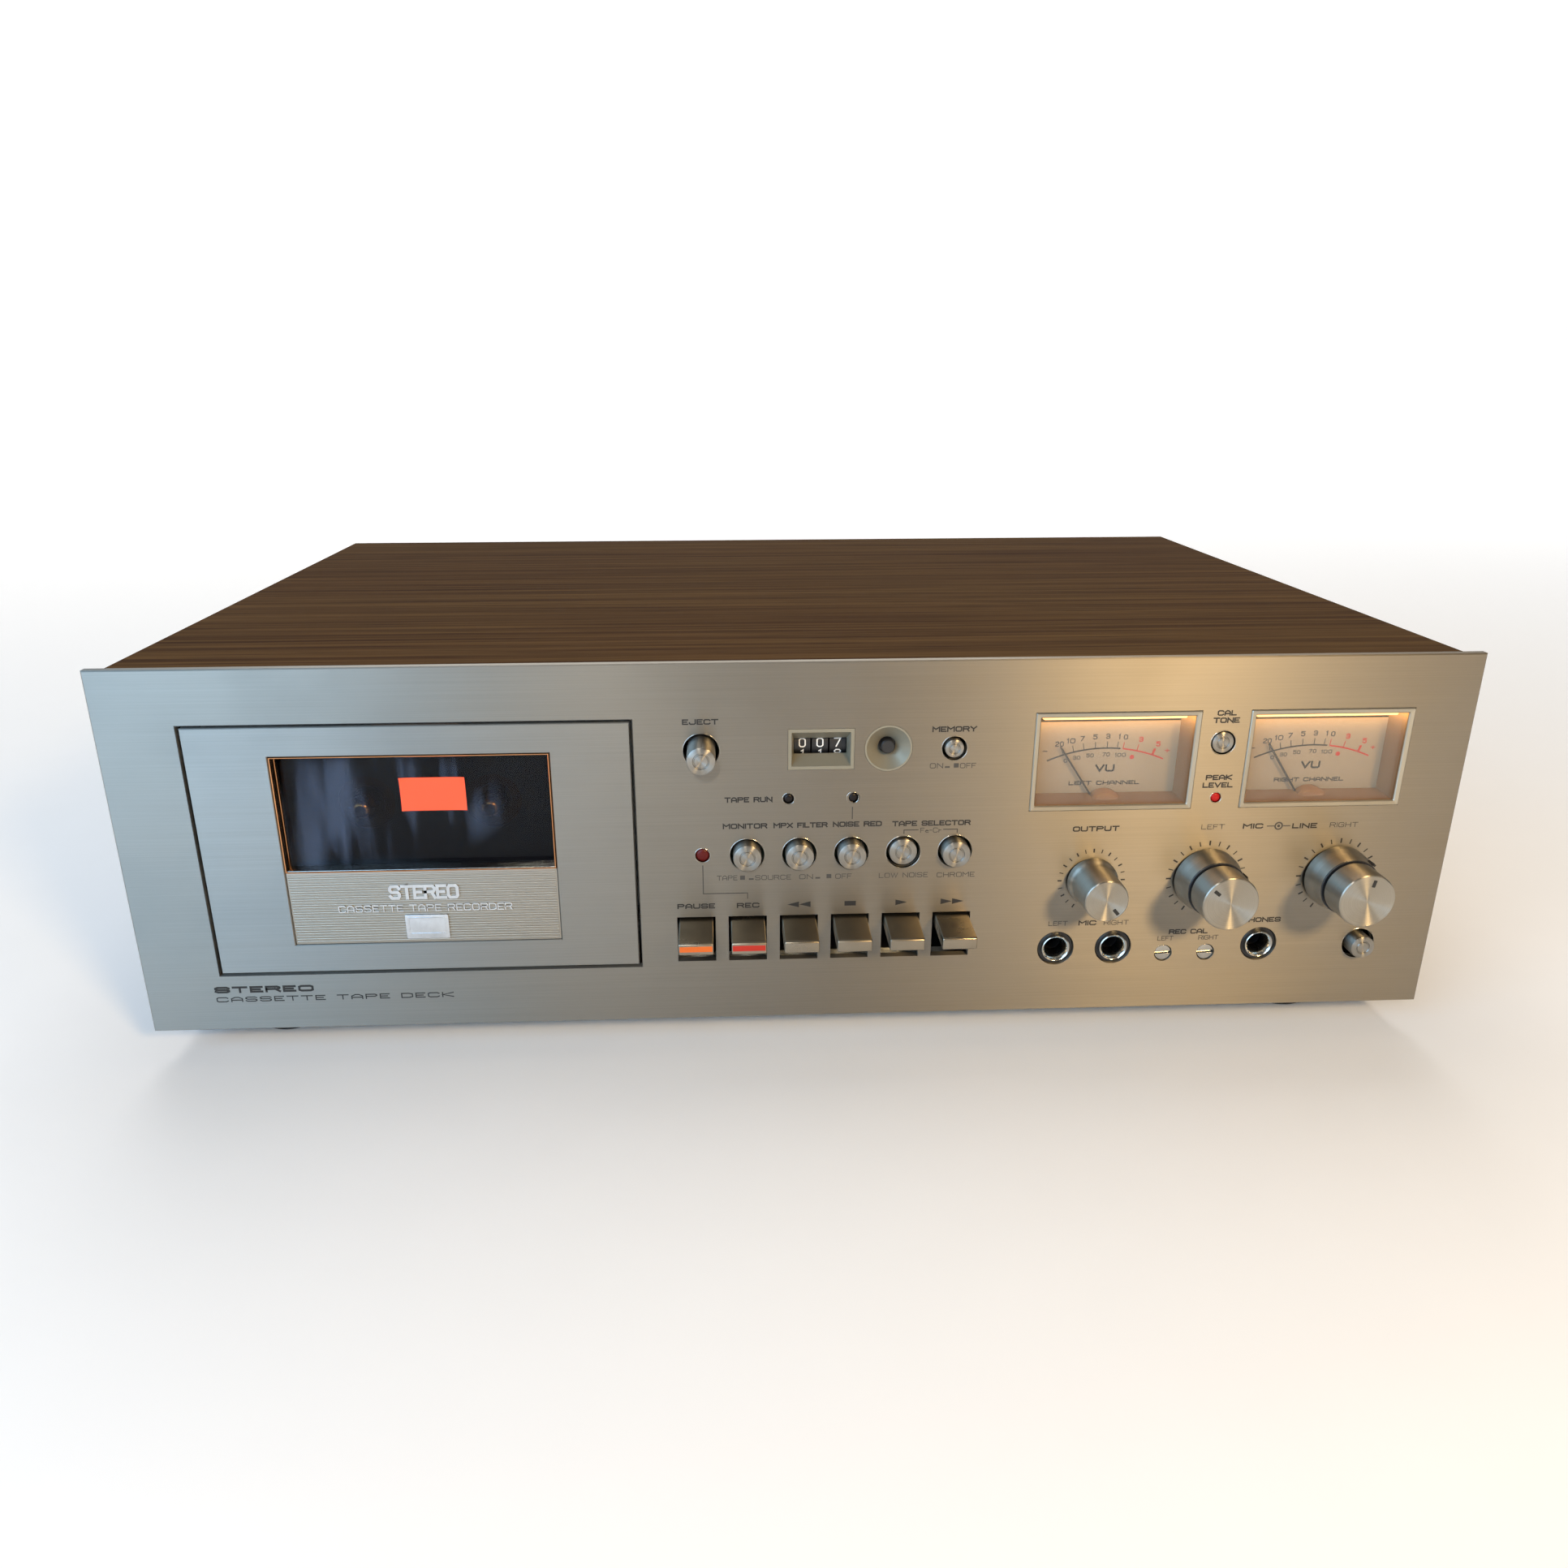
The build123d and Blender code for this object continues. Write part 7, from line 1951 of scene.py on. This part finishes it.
@dataclass
class JacksAndTrimmers:
    """Front jack sockets and screwdriver trimmers."""

    ferrule: float = 4.9
    rim: float = 6.2
    bore_depth: float = 21.0

    def build(self) -> None:
        """Makes the three jacks and the two trimmers."""
        ferrules, surrounds, springs = Form(), Form(), Form()
        for mount in frame["record"]["mounts"]:
            if not mount["name"].endswith("_jack"):
                continue
            x, height, _ = DATUM.local(Vector(mount["pos_m"]))
            bore, r, deep = mount["dims"]["r_mm"], self.ferrule, -self.bore_depth
            profile = [(bore, -6.0), (bore, -2.6), (bore + 0.2, -1.2), (bore + 0.65, -0.1), (bore + 1.1, 0.45),
                       (r - 0.35, 0.6), (r - 0.1, 0.4), (r, -0.1), (r, -6.0)]
            ferrules.add(lathe(profile, 72, hollow=True).placed(x, height))
            shell = [(bore, deep), (bore, -6.0), (r, -6.0), (r, -1.0), (self.rim - 0.3, -0.85), (self.rim, -1.1),
                     (self.rim, -3.0), (5.6, -3.0), (5.6, -24.0), (0, -24.0), (0, deep)]
            surrounds.add(lathe(shell, 72).placed(x, height))
            leaf = slab(rectangle(1.4, 0.4, 0.1), -18.0, -7.0, 0.1, both=True)
            springs.add(leaf.placed(x, height + bore - 0.25))
        make_piece("jack_ferrules", ferrules, NICKEL, "cabinet", ("front_jacks",))
        make_piece("jack_bodies", surrounds, BLACK)
        make_piece("jack_contacts", springs, PLAIN_NICKEL)
        for channel in ("left", "right"):
            self.trimmer(channel + "_calibration_trimmer")

    def trimmer(self, node: str) -> None:
        """A slotted trimmer head.

        Args:
            node: The trimmer's node.
        """
        x, height, _ = pivot(node + "_turn")
        low, high = span(node)
        r, gap = (high.x - low.x) / 2, 0.4
        start = atan2(gap, r)
        half = [(r * cos(start + (pi - 2 * start) * step / 24), r * sin(start + (pi - 2 * start) * step / 24))
                for step in range(25)]
        head = slab(half, high.z - 1.3, high.z, 0.15)
        lower = head.moved(Matrix.Rotation(pi, 4, "Z"))
        stem = lathe([(0, low.z), (1.4, low.z), (1.4, -9.5), (r, -9.5), (r, high.z - 1.2), (0, high.z - 1.2)], 48)
        whole = joined([head, lower, stem]).moved(Matrix.Rotation(radians(3), 4, "Z"))
        make_piece(node + "_head", whole.placed(x, height), PLAIN_NICKEL, node, (node,))


# ================================================================ studio


@dataclass
class Studio:
    """Camera, floor, sweep and lights."""

    eye: tuple[float, float, float] = (-26.3, 212.6, 356.5)
    lens: float = 26.91
    shift: tuple[float, float] = (0.0107, 0.0078)
    right: tuple[float, float, float] = (0.9990, -0.0444, -0.0021)
    up: tuple[float, float, float] = (0.0173, 0.3442, 0.9387)
    forward: tuple[float, float, float] = (0.0410, 0.9378, -0.3446)
    target: tuple[float, float, float] = (0.0, -0.05, 0.07)

    def build(self) -> None:
        """Sets up everything round the deck."""
        bpy.context.scene.view_settings.view_transform = "Standard"
        self.camera()
        self.sweep()
        self.lights()

    def camera(self) -> None:
        """A wide camera close in front, looking down at the deck."""
        data = bpy.data.cameras.new("camera")
        data.lens, data.sensor_width = self.lens, 36.0
        data.shift_x, data.shift_y = self.shift
        data.clip_start, data.clip_end = 0.01, 50.0
        camera = bpy.data.objects.new("camera", data)
        back = -Vector(self.forward)
        turn = Matrix((self.right, self.up, tuple(back))).transposed()
        camera.matrix_world = Matrix.Translation(DATUM.at(*self.eye)) @ turn.to_4x4()
        link(camera)
        bpy.context.scene.camera = camera

    def sweep(self) -> None:
        """A pale floor that curves up behind the deck."""
        reach, rise, bend, steps = 3.2, 3.0, 0.9, 16
        section = [(-reach, 0.0), (reach - bend, 0.0)]
        section += [(reach - bend + bend * sin(pi / 2 * s / steps), bend - bend * cos(pi / 2 * s / steps))
                    for s in range(1, steps + 1)]
        section.append((reach, rise))
        mesh = bpy.data.meshes.new("sweep")
        points = [(x, y, z) for x in (-4.0, 4.0) for y, z in section]
        count = len(section)
        mesh.from_pydata(points, [], [(i, count + i, count + i + 1, i + 1) for i in range(count - 1)])
        mesh.materials.append(FLOOR.material())
        for face in mesh.polygons:
            face.use_smooth = True
        floor = bpy.data.objects.new("sweep", mesh)
        link(floor)

    def lights(self) -> None:
        """A cool soft window on the left, a warm lamp on the right and an even surround."""
        world = bpy.data.worlds.new("surround")
        bpy.context.scene.world = world
        world.use_nodes = True
        sky = world.node_tree.nodes["Background"]
        sky.inputs[0].default_value = (1.0, 0.99, 0.97, 1)
        sky.inputs[1].default_value = 0.13
        graph = NodeGraph(world.node_tree)
        beyond = graph.add("ShaderNodeBackground", Color=(1.0, 1.0, 1.0, 1.0), Strength=0.97)
        direct = graph.add("ShaderNodeLightPath").outputs["Is Camera Ray"]
        both = graph.add("ShaderNodeMixShader", i0=direct, i1=sky.outputs[0], i2=beyond.outputs[0])
        graph.tree.links.new(both.outputs[0], world.node_tree.nodes["World Output"].inputs[0])
        self.area("window", (-0.80, -1.0, 0.5), 0.95, 15.5, (0.42, 0.69, 1.0))
        self.area("lamp", (0.50, -1.0, 0.60), 0.16, 8.0, (1.0, 0.68, 0.32))
        self.area("pale_lamp", (-0.16, -1.0, 0.60), 0.1, 1.5, (1.0, 0.95, 0.86))
        self.area("warm_fill", (1.15, -0.85, 0.5), 0.5, 1.2, (1.0, 0.78, 0.55))
        self.area("overhead", (-0.1, 0.7, 1.6), 1.4, 16.0, (1.0, 0.97, 0.93))

    def area(self, name: str, place: tuple[float, float, float], size: float, power: float,
             colour: Colour) -> None:
        """A square light that faces the deck's front.

        Args:
            name: The light's name.
            place: Its middle, in metres.
            size: Its side, in metres.
            power: In watts.
            colour: Its colour.
        """
        data = bpy.data.lights.new(name, "AREA")
        data.size, data.energy, data.color = size, power, colour
        light = bpy.data.objects.new(name, data)
        light.location = place
        aim = Vector(self.target) - Vector(place)
        light.rotation_euler = aim.to_track_quat("-Z", "Y").to_euler()
        link(light)


def main() -> None:
    """Builds the studio and every sub-assembly, and logs each one as it is built."""
    logging.basicConfig(level=logging.INFO, format="%(name)s: %(message)s")
    parts = (Studio(), Cabinet(), FrontPanel(), Indicators(), TapeDoor(), Transport(), PianoKeys(), PushButtons(),
             Knobs(), Meters(), Counter(), JacksAndTrimmers())
    for part in parts:
        part.build()
        LOG.info("%s is built", type(part).__name__)


if __name__ == "__main__":
    main()
